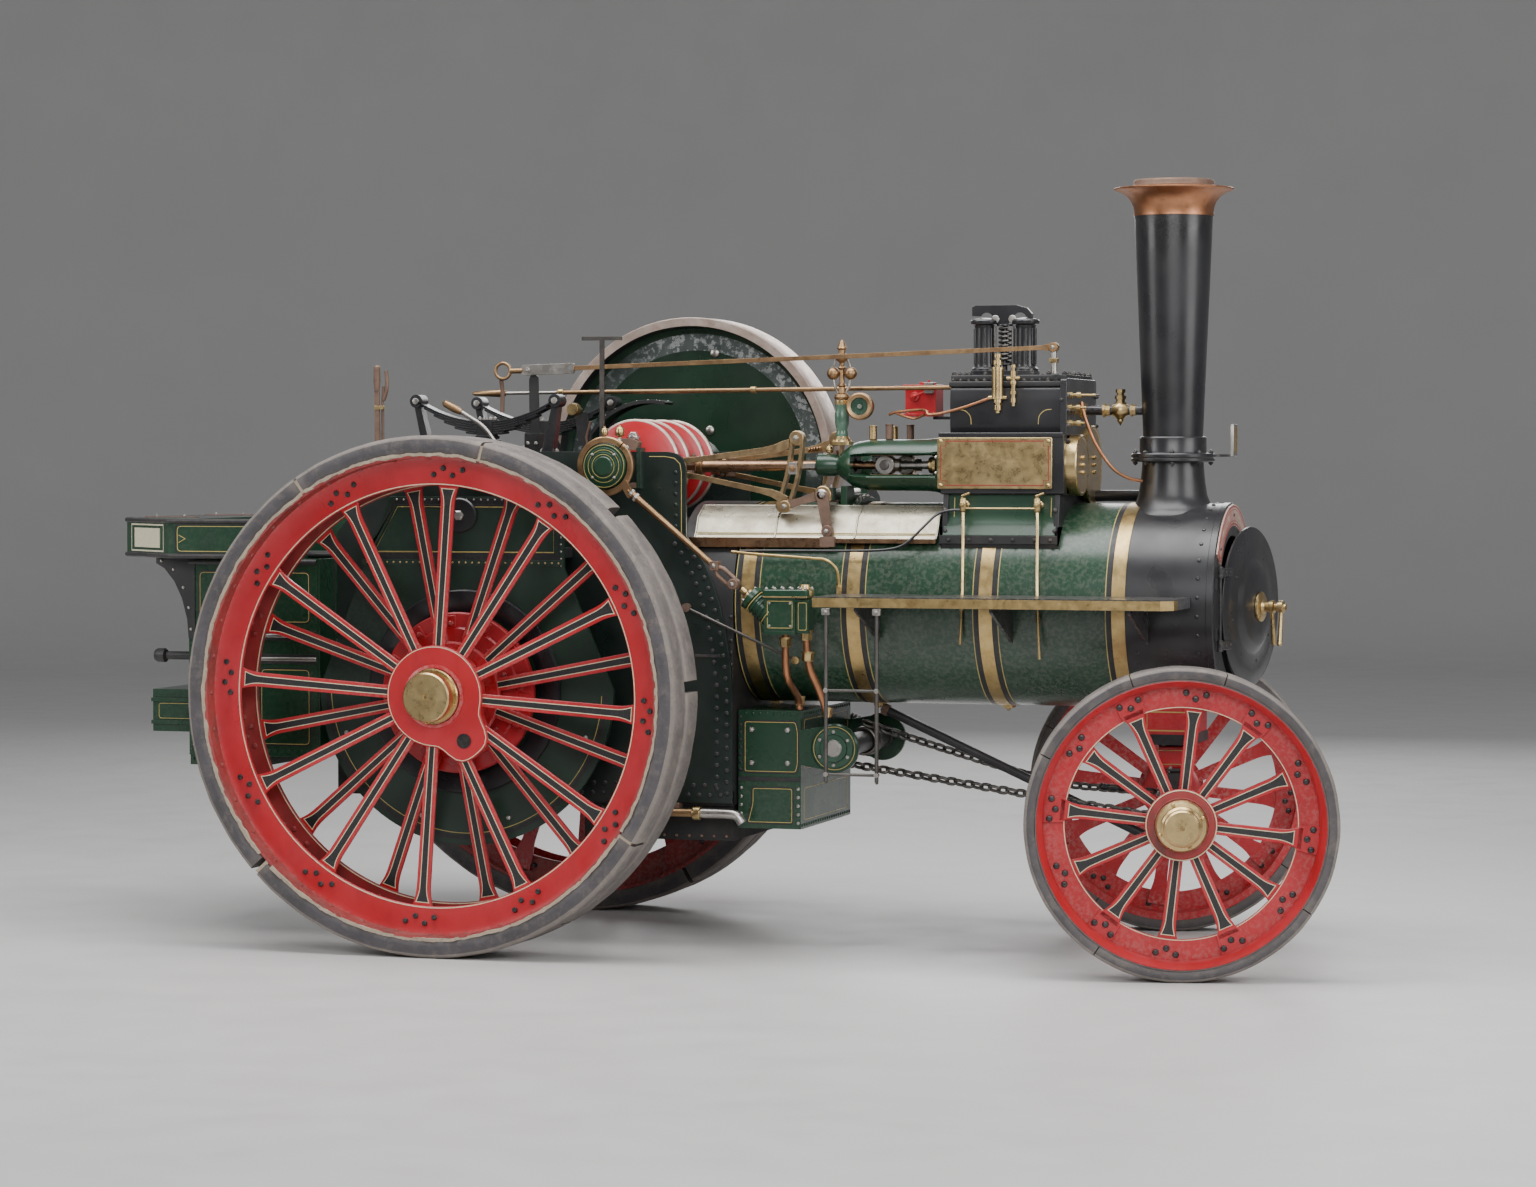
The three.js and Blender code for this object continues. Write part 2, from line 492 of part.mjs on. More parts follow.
// ---- footplate and tender ---------------------------------------------------------------
const T = TENDER;
const COLUMN_X = -665;
add('footplate', box(-900 + GAP, FIREBOX.back - GAP, -HORN.inner + GAP, HORN.inner - GAP, T.floor, T.floor + 20), BLACK);
add('tender_tank', join([
  box(T.back, -900, -T.half, T.half, 720, T.tankTop),
  box(-1550, T.back + 2, -350, 350, 835, 1020),
  bar([-1480, -450, 1170], [T.back + 5, -450, 1170], 18, 10),
  bar([-1490, -450, 1170], [-1430, -450, 1170], 30, 10),
]), GREEN);
const wall = T.half + GAP;
const outside = T.half + T.plate;
add('tender_sides', join([
  box(T.back, COLUMN_X, -outside, -wall, 760, T.sideTop),
  box(T.back, COLUMN_X, wall, outside, 760, T.sideTop),
  box(T.back, T.back + T.plate, -wall - 2, wall + 2, T.tankTop + GAP, T.sideTop),
  box(COLUMN_X, COLUMN_X + 10, -outside, -HORN.inner - HORN.thick - GAP, T.floor, T.sideTop),
  box(COLUMN_X, COLUMN_X + 10, HORN.inner + HORN.thick + GAP, outside, T.floor, T.sideTop),
]), GREEN);
const lockerOutline = new THREE.Shape([
  [-1621, -450], [-1296, -722], [-860, -722], [-860, -T.half], [T.back + 30, -T.half],
  [T.back + 30, T.half], [-860, T.half], [-860, 722], [-1296, 722], [-1621, 450],
].map(([x, y]) => new THREE.Vector2(x, y)));
const locker = new THREE.ExtrudeGeometry(lockerOutline, { depth: 165, bevelEnabled: false });
add('tender_locker', locker.translate(0, 0, T.sideTop + GAP), GREEN);
add('reversing_lever', join([
  plate([[-510, 1300], [-470, 1300], [-485, 2401], [-505, 2401]], -385, -365),
  box(-560, -420, -400, -345, 1240, 1302),
]), STEEL);

// ---- controls on top --------------------------------------------------------------------
const ringHandle = turned([[26, -6], [40, -6], [40, 6], [26, 6]], 'y', 16).translate(17, -240, 2373);
add('regulator_rod', join([
  ringHandle,
  bar([52, -240, 2373], [2381, -240, 2454], 10, 8),
  bar([2381, -240, 2470], [2381, -240, 2345.4], 13, 8),
]), BRONZE);
add('control_rod', bar([-190, -60, 2282], [CYLINDER.back + 15, -60, 2298], 10, 8), BRONZE);

// ---- feed pump and its drive ------------------------------------------------------------
const PUMP_Y = -540;
add('feed_pump', join([
  box(1265, 1455, -600, -480, 1300, 1482),
  box(1300, 1400, -485, -416, 1350, 1450),
  bar([1300, -540, 1360], [1195, -540, 1450], 52, 12),
  pipe([[1346, PUMP_Y, 1310], [1346, PUMP_Y, 1180], [1352, -470, 1090], [1346, -342, 1020], [1346, -340, 982]], 15),
  pipe([[1434, PUMP_Y, 1310], [1440, PUMP_Y, 1200], [1470, -500, 1100], [1500, -460, 960]], 15),
]), GREEN);
add('pump_rod', join([
  turned([[94 + PLAY, -622], [122, -622], [122, -598], [94 + PLAY, -598]], 'y', 24)
    .translate(CRANK.x, 0, CRANK.z),
  bar([686, -610, 1894], [1160, -552, 1478], 17, 10),
]), BRASS);

// ---- belly tank, steering barrel, perch, ladder, boards ---------------------------------
add('belly_tank', join([
  box(1091, 1360, -370, 370, 493, 980),
  plate([[1350, 760], ...arcPoints(1503, 830, 102, -120, 120, 12), [1350, 900]], -370, -352),
  plate([[1350, 760], ...arcPoints(1503, 830, 102, -120, 120, 12), [1350, 900]], 352, 370),
  bar([1503, -355, 830], [1503, 355, 830], 58, 14),
]), GREEN);
const columnTop = new THREE.Vector3(-740, 457, 1840);
const columnFoot = new THREE.Vector3(1440, 457, 850);
const handWheel = join([
  turned([[160, -9], [180, -9], [180, 9], [160, 9]], 'y', 20),
  bar([-165, 0, 0], [165, 0, 0], 8, 6),
  bar([0, 0, -165], [0, 0, 165], 8, 6),
]);
add('steering_column', bar(columnFoot.toArray(), columnTop.toArray(), 10, 8), STEEL);
const wheelMesh = add('steering_hand_wheel', handWheel, STEEL);
wheelMesh.quaternion.setFromUnitVectors(new THREE.Vector3(0, 1, 0), columnTop.clone().sub(columnFoot).normalize());
wheelMesh.position.copy(columnTop).addScaledVector(columnTop.clone().sub(columnFoot).normalize(), 9.4);
add('perch_stay', bar([1600, 0, 975], [2790, 0, 440], 20, 10), BLACK);
for (const [side, sign] of SIDES) {
  const near = sign * 800;
  const boilerSide = sign * 425;
  add(`running_board_${side}`, box(1533, 2976, Math.min(near, boilerSide), Math.max(near, boilerSide), 1417, 1461), BLACK);
}
const rail = (x) => [bar([x, -812, 725], [x, -812, 1400], 8, 8), box(x - 8, x + 8, -820, -804, 1392, 1416)];
add('ladder', join([
  ...rail(1595), ...rail(1803),
  bar([1595, -812, 1092], [1803, -812, 1092], 7, 8),
  bar([1595, -812, 760], [1803, -812, 760], 7, 8),
]), STEEL);

// ---- steering chains --------------------------------------------------------------------
const lug = (sign) => new THREE.Vector3(0, sign * 595, AXLE.z).applyAxisAngle(new THREE.Vector3(0, 0, 1), STEER)
  .add(new THREE.Vector3(WHEELBASE - 70, 0, 0)).toArray();
add('steering_chain_right', pipe([[1503, -200, 757], lug(-1)], 14, 6), STEEL);
add('steering_chain_left', pipe([[1503, 60, 909], [2240, 380, 655], lug(1)], 14, 12), STEEL);

export default engine;
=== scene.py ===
"""Steam traction engine: the looks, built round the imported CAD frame. Metres, +X front, +Y left, +Z up.

Lengths along the engine are measured from the rear axle while a piece is built; piece() then moves
the mesh into the row frame. Each piece gathers its shapes in a Kit, and each shape names its finish.
"""

import math

import bmesh
import bpy
from mathutils import Matrix, Vector, noise


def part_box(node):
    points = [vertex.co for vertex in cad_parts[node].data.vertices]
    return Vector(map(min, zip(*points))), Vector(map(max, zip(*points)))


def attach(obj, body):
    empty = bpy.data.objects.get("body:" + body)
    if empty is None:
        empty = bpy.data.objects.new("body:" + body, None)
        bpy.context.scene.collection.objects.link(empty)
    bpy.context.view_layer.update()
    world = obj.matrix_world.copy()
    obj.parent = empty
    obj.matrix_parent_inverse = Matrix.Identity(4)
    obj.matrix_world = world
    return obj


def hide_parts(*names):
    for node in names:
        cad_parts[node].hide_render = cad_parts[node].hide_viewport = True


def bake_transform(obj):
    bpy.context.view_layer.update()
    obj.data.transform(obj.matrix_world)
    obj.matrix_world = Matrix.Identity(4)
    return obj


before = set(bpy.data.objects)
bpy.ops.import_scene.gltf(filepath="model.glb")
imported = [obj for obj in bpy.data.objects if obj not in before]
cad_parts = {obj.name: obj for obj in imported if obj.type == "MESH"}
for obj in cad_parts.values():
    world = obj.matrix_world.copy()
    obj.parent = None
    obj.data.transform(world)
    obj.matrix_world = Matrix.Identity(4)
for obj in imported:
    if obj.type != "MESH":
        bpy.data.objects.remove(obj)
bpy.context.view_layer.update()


def middle(node):
    """Middle of a CAD node's box."""
    low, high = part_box(node)
    return (low + high) / 2


# ---- driving dimensions ---------------------------------------------------------------------
AXLE_X = middle("rear_axle").x                     # rear axle in the row frame
FRONT_X = middle("front_axle_beam").x - AXLE_X     # wheelbase
BOILER_Z = middle("boiler_barrel").z
BOILER_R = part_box("boiler_barrel")[1].z - BOILER_Z
CRANK_X, CRANK_Z = 0.603, middle("crankshaft").z
CYLINDER_Z = 1.980
STEER = math.radians(12.6)
DOOR_OPEN = math.radians(10)
CHIMNEY_X = middle("chimney_cap").x - AXLE_X
SIDES = (("right", -1), ("left", 1))


# ---- shapes ---------------------------------------------------------------------------------
def arc(cx, cy, radius, start, end, count):
    """Points of an arc, angles in degrees."""
    steps = [math.radians(start + (end - start) * i / count) for i in range(count + 1)]
    return [(cx + radius * math.cos(a), cy + radius * math.sin(a)) for a in steps]


def smooth_path(points, per_span=6, closed=False):
    """A Catmull-Rom curve through the points."""
    p = [Vector(q) for q in points]
    n = len(p)
    spans = n if closed else n - 1
    path = []
    for i in range(spans):
        a = p[(i - 1) % n] if closed else p[max(i - 1, 0)]
        b, c = p[i], p[(i + 1) % n]
        d = p[(i + 2) % n] if closed else p[min(i + 2, n - 1)]
        for k in range(per_span):
            t = k / per_span
            path.append(0.5 * (2 * b + (c - a) * t + (2 * a - 5 * b + 4 * c - d) * t * t
                               + (3 * b - a - 3 * c + d) * t ** 3))
    if not closed:
        path.append(p[-1])
    return path


def rounded(outline, radius, count=4):
    """The outline with its corners rounded."""
    result = []
    n = len(outline)
    for i in range(n):
        before, corner, after = (Vector(outline[(i + k) % n]) for k in (-1, 0, 1))
        to_before, to_after = before - corner, after - corner
        reach = min(radius, to_before.length * 0.45, to_after.length * 0.45)
        start = corner + to_before.normalized() * reach
        end = corner + to_after.normalized() * reach
        for k in range(count + 1):
            t = k / count
            result.append(tuple((1 - t) ** 2 * start + 2 * t * (1 - t) * corner + t * t * end))
    return result


def rectangle(x0, x1, z0, z1):
    return [(x0, z0), (x1, z0), (x1, z1), (x0, z1)]


PLANES = {
    "xz": lambda a, b, depth: (a, depth, b),
    "yz": lambda a, b, depth: (depth, a, b),
    "xy": lambda a, b, depth: (a, b, depth),
}


class Kit:
    """The closed shapes of one piece, gathered in one mesh."""

    def __init__(self):
        self.mesh = bmesh.new()
        self.finishes = []
        self.turn = Matrix.Identity(4)

    def add(self, points, faces, finish):
        """Adds one closed shape. The finish is one material, or a list with one for each face."""
        each = finish if isinstance(finish, list) else [finish] * len(faces)
        verts = [self.mesh.verts.new(self.turn @ Vector(p)) for p in points]
        for face, material in zip(faces, each):
            if material not in self.finishes:
                self.finishes.append(material)
            made = self.mesh.faces.new([verts[i] for i in face])
            made.material_index = self.finishes.index(material)

    def roughen(self, amount, scale, seed=0):
        """Moves every point a little, as wear and rough casting do."""
        for vert in self.mesh.verts:
            offset = noise.noise_vector(vert.co * scale + Vector((seed, 0, 0)))
            vert.co += offset * amount

    def box(self, x0, x1, y0, y1, z0, z1, finish):
        self.prism(rectangle(x0, x1, z0, z1), y0, y1, finish)

    def prism(self, outline, start, end, finish, plane="xz", bevel=0.0):
        """A flat outline given a thickness. With bevel, the edges of the end face are chamfered."""
        place = PLANES[plane]
        n = len(outline)
        rings = [(outline, start), (outline, end)]
        if bevel:
            step = bevel if end > start else -bevel
            rings = [(outline, start), (outline, end - step), (inset(outline, bevel), end)]
        points = [place(a, b, depth) for ring, depth in rings for a, b in ring]
        faces = [list(range(n)), list(range(len(points) - n, len(points)))]
        for r in range(len(rings) - 1):
            faces += [[r * n + i, r * n + (i + 1) % n, (r + 1) * n + (i + 1) % n, (r + 1) * n + i]
                      for i in range(n)]
        self.add(points, faces, finish)

    def lathe(self, profile, finish, centre=(0, 0, 0), axis="x", sides=48, start=0, sweep=360):
        """A profile of (radius, distance) pairs turned about an axis. It closes on the axis or on itself."""
        whole = abs(sweep) >= 360
        count = sides if whole else sides + 1
        points, rings = [], []
        for radius, along in profile:
            ring = []
            for i in range(1 if radius < 1e-6 else count):
                a = math.radians(start + sweep * i / sides)
                c, s = radius * math.cos(a), radius * math.sin(a)
                spot = {"x": (along, c, s), "y": (c, along, s), "z": (c, s, along)}[axis]
                ring.append(len(points))
                points.append(tuple(Vector(spot) + Vector(centre)))
            rings.append(ring)
        pairs = list(zip(rings, rings[1:]))
        if len(rings[0]) > 1 or len(rings[-1]) > 1:
            pairs.append((rings[-1], rings[0]))
        each = finish if isinstance(finish, list) else [finish] * len(pairs)
        faces, coats = [], []
        for (a, b), coat in zip(pairs, each):
            for i in range(sides):
                j = (i + 1) % count if whole else i + 1
                corners = [a[i % len(a)], a[j % len(a)], b[j % len(b)], b[i % len(b)]]
                face = list(dict.fromkeys(corners))
                if len(face) > 2:
                    faces.append(face)
                    coats.append(coat)
        if not whole:
            faces += [[ring[0] for ring in rings], [ring[-1] for ring in rings]]
            coats += [each[0], each[0]]
        self.add(points, faces, coats)

    def tube(self, path, radius, finish, sides=10, closed=False, flat=1.0):
        """A bar of round or oval section along a path. The radius may be a list, one for each point."""
        path = [Vector(p) for p in path]
        n = len(path)
        radii = radius if isinstance(radius, (list, tuple)) else [radius] * n
        ways = []
        for i in range(n):
            before = path[i - 1] if closed or i else path[i]
            after = path[(i + 1) % n] if closed or i < n - 1 else path[i]
            ways.append((after - before).normalized())
        side = ways[0].orthogonal().normalized()
        points = []
        for i, way in enumerate(ways):
            side = (side - way * side.dot(way)).normalized()
            up = way.cross(side)
            for k in range(sides):
                a = 2 * math.pi * k / sides
                points.append(path[i] + radii[i] * (side * math.cos(a) + up * math.sin(a) * flat))
        faces = []
        for i in range(n if closed else n - 1):
            j = (i + 1) % n
            faces += [[i * sides + k, i * sides + (k + 1) % sides, j * sides + (k + 1) % sides,
                       j * sides + k]
                      for k in range(sides)]
        if not closed:
            faces += [list(range(sides)), list(range((n - 1) * sides, n * sides))]
        self.add(points, faces, finish)

    def stack(self, spot, way, profile, finish, sides=8):
        """A small turned shape, such as a rivet head, standing on a spot and pointing along way."""
        base = Matrix.Translation(Vector(spot)) @ Vector(way).to_track_quat("Z", "Y").to_matrix().to_4x4()
        kept = self.turn
        self.turn = kept @ base
        self.lathe([(0, profile[0][1]), *profile], finish, axis="z", sides=sides)
        self.turn = kept

    def rivet(self, spot, way, radius, finish):
        profile = [(radius, -0.001), (radius, radius * 0.15), (radius * 0.75, radius * 0.5),
                   (0, radius * 0.7)]
        self.stack(spot, way, profile, finish)

    def bolt(self, spot, way, radius, finish):
        """A hexagon nut with the end of its stud."""
        self.stack(spot, way, [(radius, -0.001), (radius, radius * 0.75), (radius * 0.8, radius * 0.95),
                               (0, radius * 0.95)], finish, sides=6)
        self.stack(spot, way, [(radius * 0.5, 0), (radius * 0.5, radius * 1.35), (0, radius * 1.5)], finish)

    def rivets(self, start, end, count, way, radius, finish):
        start, end = Vector(start), Vector(end)
        for i in range(count):
            self.rivet(start.lerp(end, i / max(count - 1, 1)), way, radius, finish)

    def strip(self, path, way, width, finish, thick=0.0008, closed=False):
        """A painted line: a thin band along a path on a surface whose outward direction is way."""
        path = [Vector(p) for p in path]
        way = Vector(way).normalized()
        n = len(path)
        points = []
        for i in range(n):
            before = path[i - 1] if closed or i else path[i]
            after = path[(i + 1) % n] if closed or i < n - 1 else path[i]
            across = (after - before).cross(way).normalized() * width / 2
            if closed or 0 < i < n - 1:
                turn = (path[i] - before).normalized().dot((after - path[i]).normalized())
                across /= max(math.sqrt((1 + turn) / 2), 0.5)
            low, high = path[i] - way * 0.001, path[i] + way * thick
            points += [low - across, low + across, high + across, high - across]
        faces = []
        for i in range(n if closed else n - 1):
            j = (i + 1) % n
            faces += [[4 * i + k, 4 * i + (k + 1) % 4, 4 * j + (k + 1) % 4, 4 * j + k] for k in range(4)]
        if not closed:
            faces += [[0, 1, 2, 3], [4 * n - 4, 4 * n - 3, 4 * n - 2, 4 * n - 1]]
        self.add(points, faces, finish)

    def frame_line(self, outline, depth, way, width, finish, plane="xz", thick=0.0008):
        """A closed painted line round a flat outline."""
        place = PLANES[plane]
        self.strip([place(a, b, depth) for a, b in outline], way, width, finish, thick, closed=True)


def inset(outline, distance):
    """The outline moved in by a distance."""
    n = len(outline)
    area = sum(outline[i][0] * outline[(i + 1) % n][1] - outline[(i + 1) % n][0] * outline[i][1]
               for i in range(n))
    sign = 1 if area > 0 else -1
    result = []
    for i in range(n):
        p, q, r = (Vector(outline[(i + k) % n]) for k in (-1, 0, 1))
        a, b = (q - p), (r - q)
        a = a.normalized() if a.length > 1e-9 else b.normalized()
        b = b.normalized() if b.length > 1e-9 else a
        na, nb = Vector((-a.y, a.x)) * sign, Vector((-b.y, b.x)) * sign
        mid = na + nb
        mid = mid.normalized() if mid.length > 1e-6 else na
        result.append(tuple(q + mid * distance / max(mid.dot(na), 0.45)))
    return result


def piece(name, body, kit, replaces=(), bevel=0.0, sharp=35, turn=None):
    """Makes the object of a kit, lets it ride on a body and stand for CAD nodes."""
    bm = kit.mesh
    if turn is not None:
        bm.transform(turn)
    bm.transform(Matrix.Translation((AXLE_X, 0, 0)))
    bmesh.ops.recalc_face_normals(bm, faces=bm.faces)
    mesh = bpy.data.meshes.new(name)
    bm.to_mesh(mesh)
    bm.free()
    for finish in kit.finishes:
        mesh.materials.append(finish)
    mesh.polygons.foreach_set("use_smooth", [True] * len(mesh.polygons))
    mesh.set_sharp_from_angle(angle=math.radians(sharp))
    obj = bpy.data.objects.new(name, mesh)
    bpy.context.scene.collection.objects.link(obj)
    if bevel:
        edge = obj.modifiers.new("rounded edges", "BEVEL")
        edge.width = bevel
        edge.segments = 2
        edge.limit_method = "ANGLE"
        edge.angle_limit = math.radians(40)
        edge.harden_normals = True
    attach(obj, body)
    if replaces:
        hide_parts(*replaces)
    return obj


# ---- finishes -------------------------------------------------------------------------------
class Finish:
    """Wires up one procedural material."""

    def __init__(self, name, metal=0.0, coat=0.0, coat_rough=0.2):
        self.material = bpy.data.materials.new(name)
        self.material.use_nodes = True
        self.tree = self.material.node_tree
        self.shader = self.tree.nodes["Principled BSDF"]
        self.shader.inputs["Metallic"].default_value = metal
        self.shader.inputs["Coat Weight"].default_value = coat
        self.shader.inputs["Coat Roughness"].default_value = coat_rough
        self.place = self.tree.nodes.new("ShaderNodeTexCoord").outputs["Object"]
        self.geometry = self.tree.nodes.new("ShaderNodeNewGeometry")

    def plug(self, value, socket):
        if isinstance(value, bpy.types.NodeSocket):
            self.tree.links.new(value, socket)
        elif isinstance(value, tuple):
            socket.default_value = (*value, 1.0)
        else:
            socket.default_value = value

    def noise(self, scale, detail=4.0, rough=0.6, stretch=(1, 1, 1)):
        mapping = self.tree.nodes.new("ShaderNodeMapping")
        mapping.inputs["Scale"].default_value = stretch
        self.plug(self.place, mapping.inputs["Vector"])
        node = self.tree.nodes.new("ShaderNodeTexNoise")
        self.plug(mapping.outputs["Vector"], node.inputs["Vector"])
        node.inputs["Scale"].default_value = scale
        node.inputs["Detail"].default_value = detail
        node.inputs["Roughness"].default_value = rough
        return node.outputs["Fac"]

    def cells(self, scale, feature="DISTANCE_TO_EDGE"):
        node = self.tree.nodes.new("ShaderNodeTexVoronoi")
        node.feature = feature
        node.inputs["Scale"].default_value = scale
        self.plug(self.place, node.inputs["Vector"])
        return node.outputs["Distance"]

    def span(self, value, low, high, out_low=0.0, out_high=1.0):
        node = self.tree.nodes.new("ShaderNodeMapRange")
        self.plug(value, node.inputs["Value"])
        for key, number in zip(("From Min", "From Max", "To Min", "To Max"),
                               (low, high, out_low, out_high)):
            node.inputs[key].default_value = number
        return node.outputs["Result"]

    def times(self, a, b, operation="MULTIPLY"):
        node = self.tree.nodes.new("ShaderNodeMath")
        node.operation = operation
        node.use_clamp = True
        self.plug(a, node.inputs[0])
        self.plug(b, node.inputs[1])
        return node.outputs[0]

    def blend(self, share, a, b):
        node = self.tree.nodes.new("ShaderNodeMix")
        node.data_type = "RGBA"
        self.plug(share, node.inputs[0])
        self.plug(a, node.inputs[6])
        self.plug(b, node.inputs[7])
        return node.outputs[2]

    def edges(self, low=0.56, high=0.66):
        """High on the outer edges of the mesh, where paint wears off."""
        return self.span(self.geometry.outputs["Pointiness"], low, high)

    def hollows(self, low=0.47, high=0.41):
        """High in inner corners: paint() darkens them with it as painted shade, metal() lays its stain
        there.
        """
        return self.span(self.geometry.outputs["Pointiness"], low, high)

    def facing_up(self, low=0.3, high=1.0):
        node = self.tree.nodes.new("ShaderNodeSeparateXYZ")
        self.plug(self.geometry.outputs["Normal"], node.inputs[0])
        return self.span(node.outputs["Z"], low, high)

    def bumps(self, height, strength, distance=0.002):
        node = self.tree.nodes.new("ShaderNodeBump")
        node.inputs["Strength"].default_value = strength
        node.inputs["Distance"].default_value = distance
        self.plug(height, node.inputs["Height"])
        self.plug(node.outputs["Normal"], self.shader.inputs["Normal"])

    def done(self, colour, roughness):
        self.plug(colour, self.shader.inputs["Base Color"])
        self.plug(roughness, self.shader.inputs["Roughness"])
        return self.material


def paint(name, colour, faded, dirt_and_shade, chip, gloss=(0.28, 0.5), dirty=0.35, chips=0.71, coat=0.3, dust=0.03,
          grain=0.25):
    """Old brushed paint: it fades in patches, takes dirt streaks, is darkened in its inner corners as
    painted shade and is chipped along its edges.
    """
    f = Finish(name, coat=coat, coat_rough=0.25)
    broad = f.noise(2.2, 5, 0.65)
    fine = f.noise(38, 7, 0.7)
    base = f.blend(f.span(broad, 0.4, 0.66), colour, faded)
    streaks = f.span(f.noise(9, 6, 0.7, (1, 1, 0.35)), 0.5, 0.72, 0, dirty)
    base = f.blend(streaks, base, dirt_and_shade)
    # inner corners take the dirt colour at 75 %: painted shade, with real grime in it for the black paints,
    # whose dirt colour is paler
    base = f.blend(f.times(f.hollows(), 0.75), base, dirt_and_shade)
    lost = f.times(f.span(fine, chips, chips + 0.03), f.span(broad, 0.45, 0.6))
    worn = f.times(f.edges(), f.span(f.noise(60, 5), 0.45, 0.6))
    chipped = f.times(lost, worn, "ADD")
    base = f.blend(f.times(chipped, 0.8), base, chip)
    base = f.blend(f.times(f.facing_up(), f.span(f.noise(12, 4), 0.3, 0.7, 0, dust)), base,
                   (0.45, 0.42, 0.38))
    f.bumps(f.blend(0.7, fine, f.noise(5, 2)), grain * 0.3)
    return f.done(base, f.span(f.noise(5, 3, 0.5), 0.3, 0.7, *gloss))


def metal(name, colour, tarnish, stain, rough=(0.22, 0.42), stained=0.5, grain=0.15, shine=1.0, scale=1.0):
    """Bare metal with a tarnish in patches and stains in its corners."""
    f = Finish(name, metal=shine)
    cloudy = f.noise(11 * scale, 7, 0.7)
    base = f.blend(f.span(cloudy, 0.38, 0.68), colour, tarnish)
    base = f.blend(f.span(f.noise(34 * scale, 6, 0.75), 0.56, 0.72, 0, stained), base, stain)
    base = f.blend(f.times(f.hollows(), 0.8), base, stain)
    scratched = f.noise(150, 3, 0.8, (0.15, 1, 1))
    f.bumps(f.blend(0.4, scratched, f.noise(60, 5)), grain, 0.001)
    return f.done(base, f.span(f.noise(26 * scale, 5, 0.7), 0.3, 0.7, *rough))


def rubber(name, colour, pale, dust):
    """Old solid rubber: blue-grey sides, rubbed pale, with fine cracks."""
    f = Finish(name)
    base = f.blend(f.span(f.noise(6, 6, 0.7), 0.35, 0.7), colour, pale)
    base = f.blend(f.span(f.noise(18, 7, 0.75), 0.5, 0.72, 0, 0.7), base, dust)
    cracks = f.span(f.cells(46), 0.0, 0.05, 1.0, 0.0)
    cracks = f.times(cracks, f.span(f.noise(5, 3), 0.48, 0.62))
    base = f.blend(f.times(cracks, 0.5), base, (0.02, 0.018, 0.02))
    base = f.blend(f.times(f.edges(0.515, 0.56), 0.45), base, dust)
    f.bumps(f.blend(f.times(cracks, 0.8), f.noise(24, 8, 0.75), (0.0, 0.0, 0.0)), 0.55, 0.006)
    return f.done(base, f.span(f.noise(30, 4), 0.3, 0.7, 0.55, 0.85))


def plain_line(name, colour, dark, roughness=0.45):
    """Thin lining paint, rubbed through here and there."""
    f = Finish(name, coat=0.2)
    base = f.blend(f.span(f.noise(90, 5, 0.7), 0.5, 0.75, 0, 0.6), colour, dark)
    f.bumps(f.noise(120, 3), 0.1, 0.0005)
    return f.done(base, f.span(f.noise(40, 3), 0.3, 0.7, roughness - 0.1, roughness + 0.15))


GREEN = paint("green gloss paint", (0.008, 0.042, 0.019), (0.011, 0.050, 0.024), (0.006, 0.012, 0.008),
              (0.16, 0.17, 0.13), gloss=(0.24, 0.34), grain=0.06)
GREEN_DARK = paint("dark green paint", (0.005, 0.022, 0.012), (0.009, 0.034, 0.019), (0.005, 0.008, 0.006),
                   (0.14, 0.15, 0.12), gloss=(0.3, 0.55))
GREEN_WORN = paint("rubbed green paint", (0.014, 0.060, 0.032), (0.05, 0.12, 0.075), (0.010, 0.016, 0.012),
                   (0.34, 0.36, 0.33), chips=0.60, dirty=0.5)
BLACK = paint("black enamel", (0.010, 0.010, 0.012), (0.019, 0.019, 0.022), (0.030, 0.026, 0.022),
              (0.11, 0.10, 0.09), gloss=(0.22, 0.45), dust=0.04)
SATIN_BLACK = paint("black iron paint", (0.013, 0.013, 0.015), (0.026, 0.025, 0.026), (0.055, 0.045, 0.036),
                    (0.14, 0.12, 0.10), gloss=(0.4, 0.65), coat=0.1, dirty=0.5, dust=0.08, grain=0.5)
# real soot for the smokebox and chimney insides and the ash pan; on the rear hubs it is also the painted
# shade of a pin hole
SOOT_AND_HOLE_SHADE = paint("sooty iron and hole shade", (0.008, 0.008, 0.008), (0.014, 0.013, 0.012), (0.03, 0.025, 0.02),
             (0.06, 0.05, 0.04), gloss=(0.6, 0.85), coat=0.0, grain=0.6)
RED = paint("red gloss paint", (0.44, 0.010, 0.016), (0.50, 0.026, 0.036), (0.10, 0.010, 0.012),
            (0.42, 0.20, 0.18), gloss=(0.25, 0.45), dirty=0.25, dust=0.05)
RED_DIRTY = paint("dirty red paint", (0.26, 0.016, 0.018), (0.34, 0.050, 0.046), (0.050, 0.026, 0.020),
                  (0.22, 0.14, 0.12), gloss=(0.4, 0.7), dirty=0.8, coat=0.1, dust=0.15, grain=0.6)
CREAM_LINE = plain_line("cream lining", (0.72, 0.62, 0.42), (0.30, 0.18, 0.10))
YELLOW_LINE = plain_line("yellow lining", (0.50, 0.38, 0.12), (0.12, 0.12, 0.05))
BLACK_LINE = plain_line("black lining", (0.012, 0.012, 0.013), (0.05, 0.045, 0.04))
RED_LINE = plain_line("red border paint", (0.30, 0.03, 0.02), (0.12, 0.06, 0.03))
RUBBER_SIDE = rubber("rubber side", (0.034, 0.033, 0.042), (0.068, 0.064, 0.078), (0.17, 0.145, 0.125))
RUBBER_TREAD = rubber("rubber tread", (0.115, 0.102, 0.100), (0.20, 0.176, 0.165), (0.29, 0.245, 0.205))
BRASS = metal("old brass", (0.62, 0.47, 0.23), (0.48, 0.34, 0.16), (0.16, 0.10, 0.05))
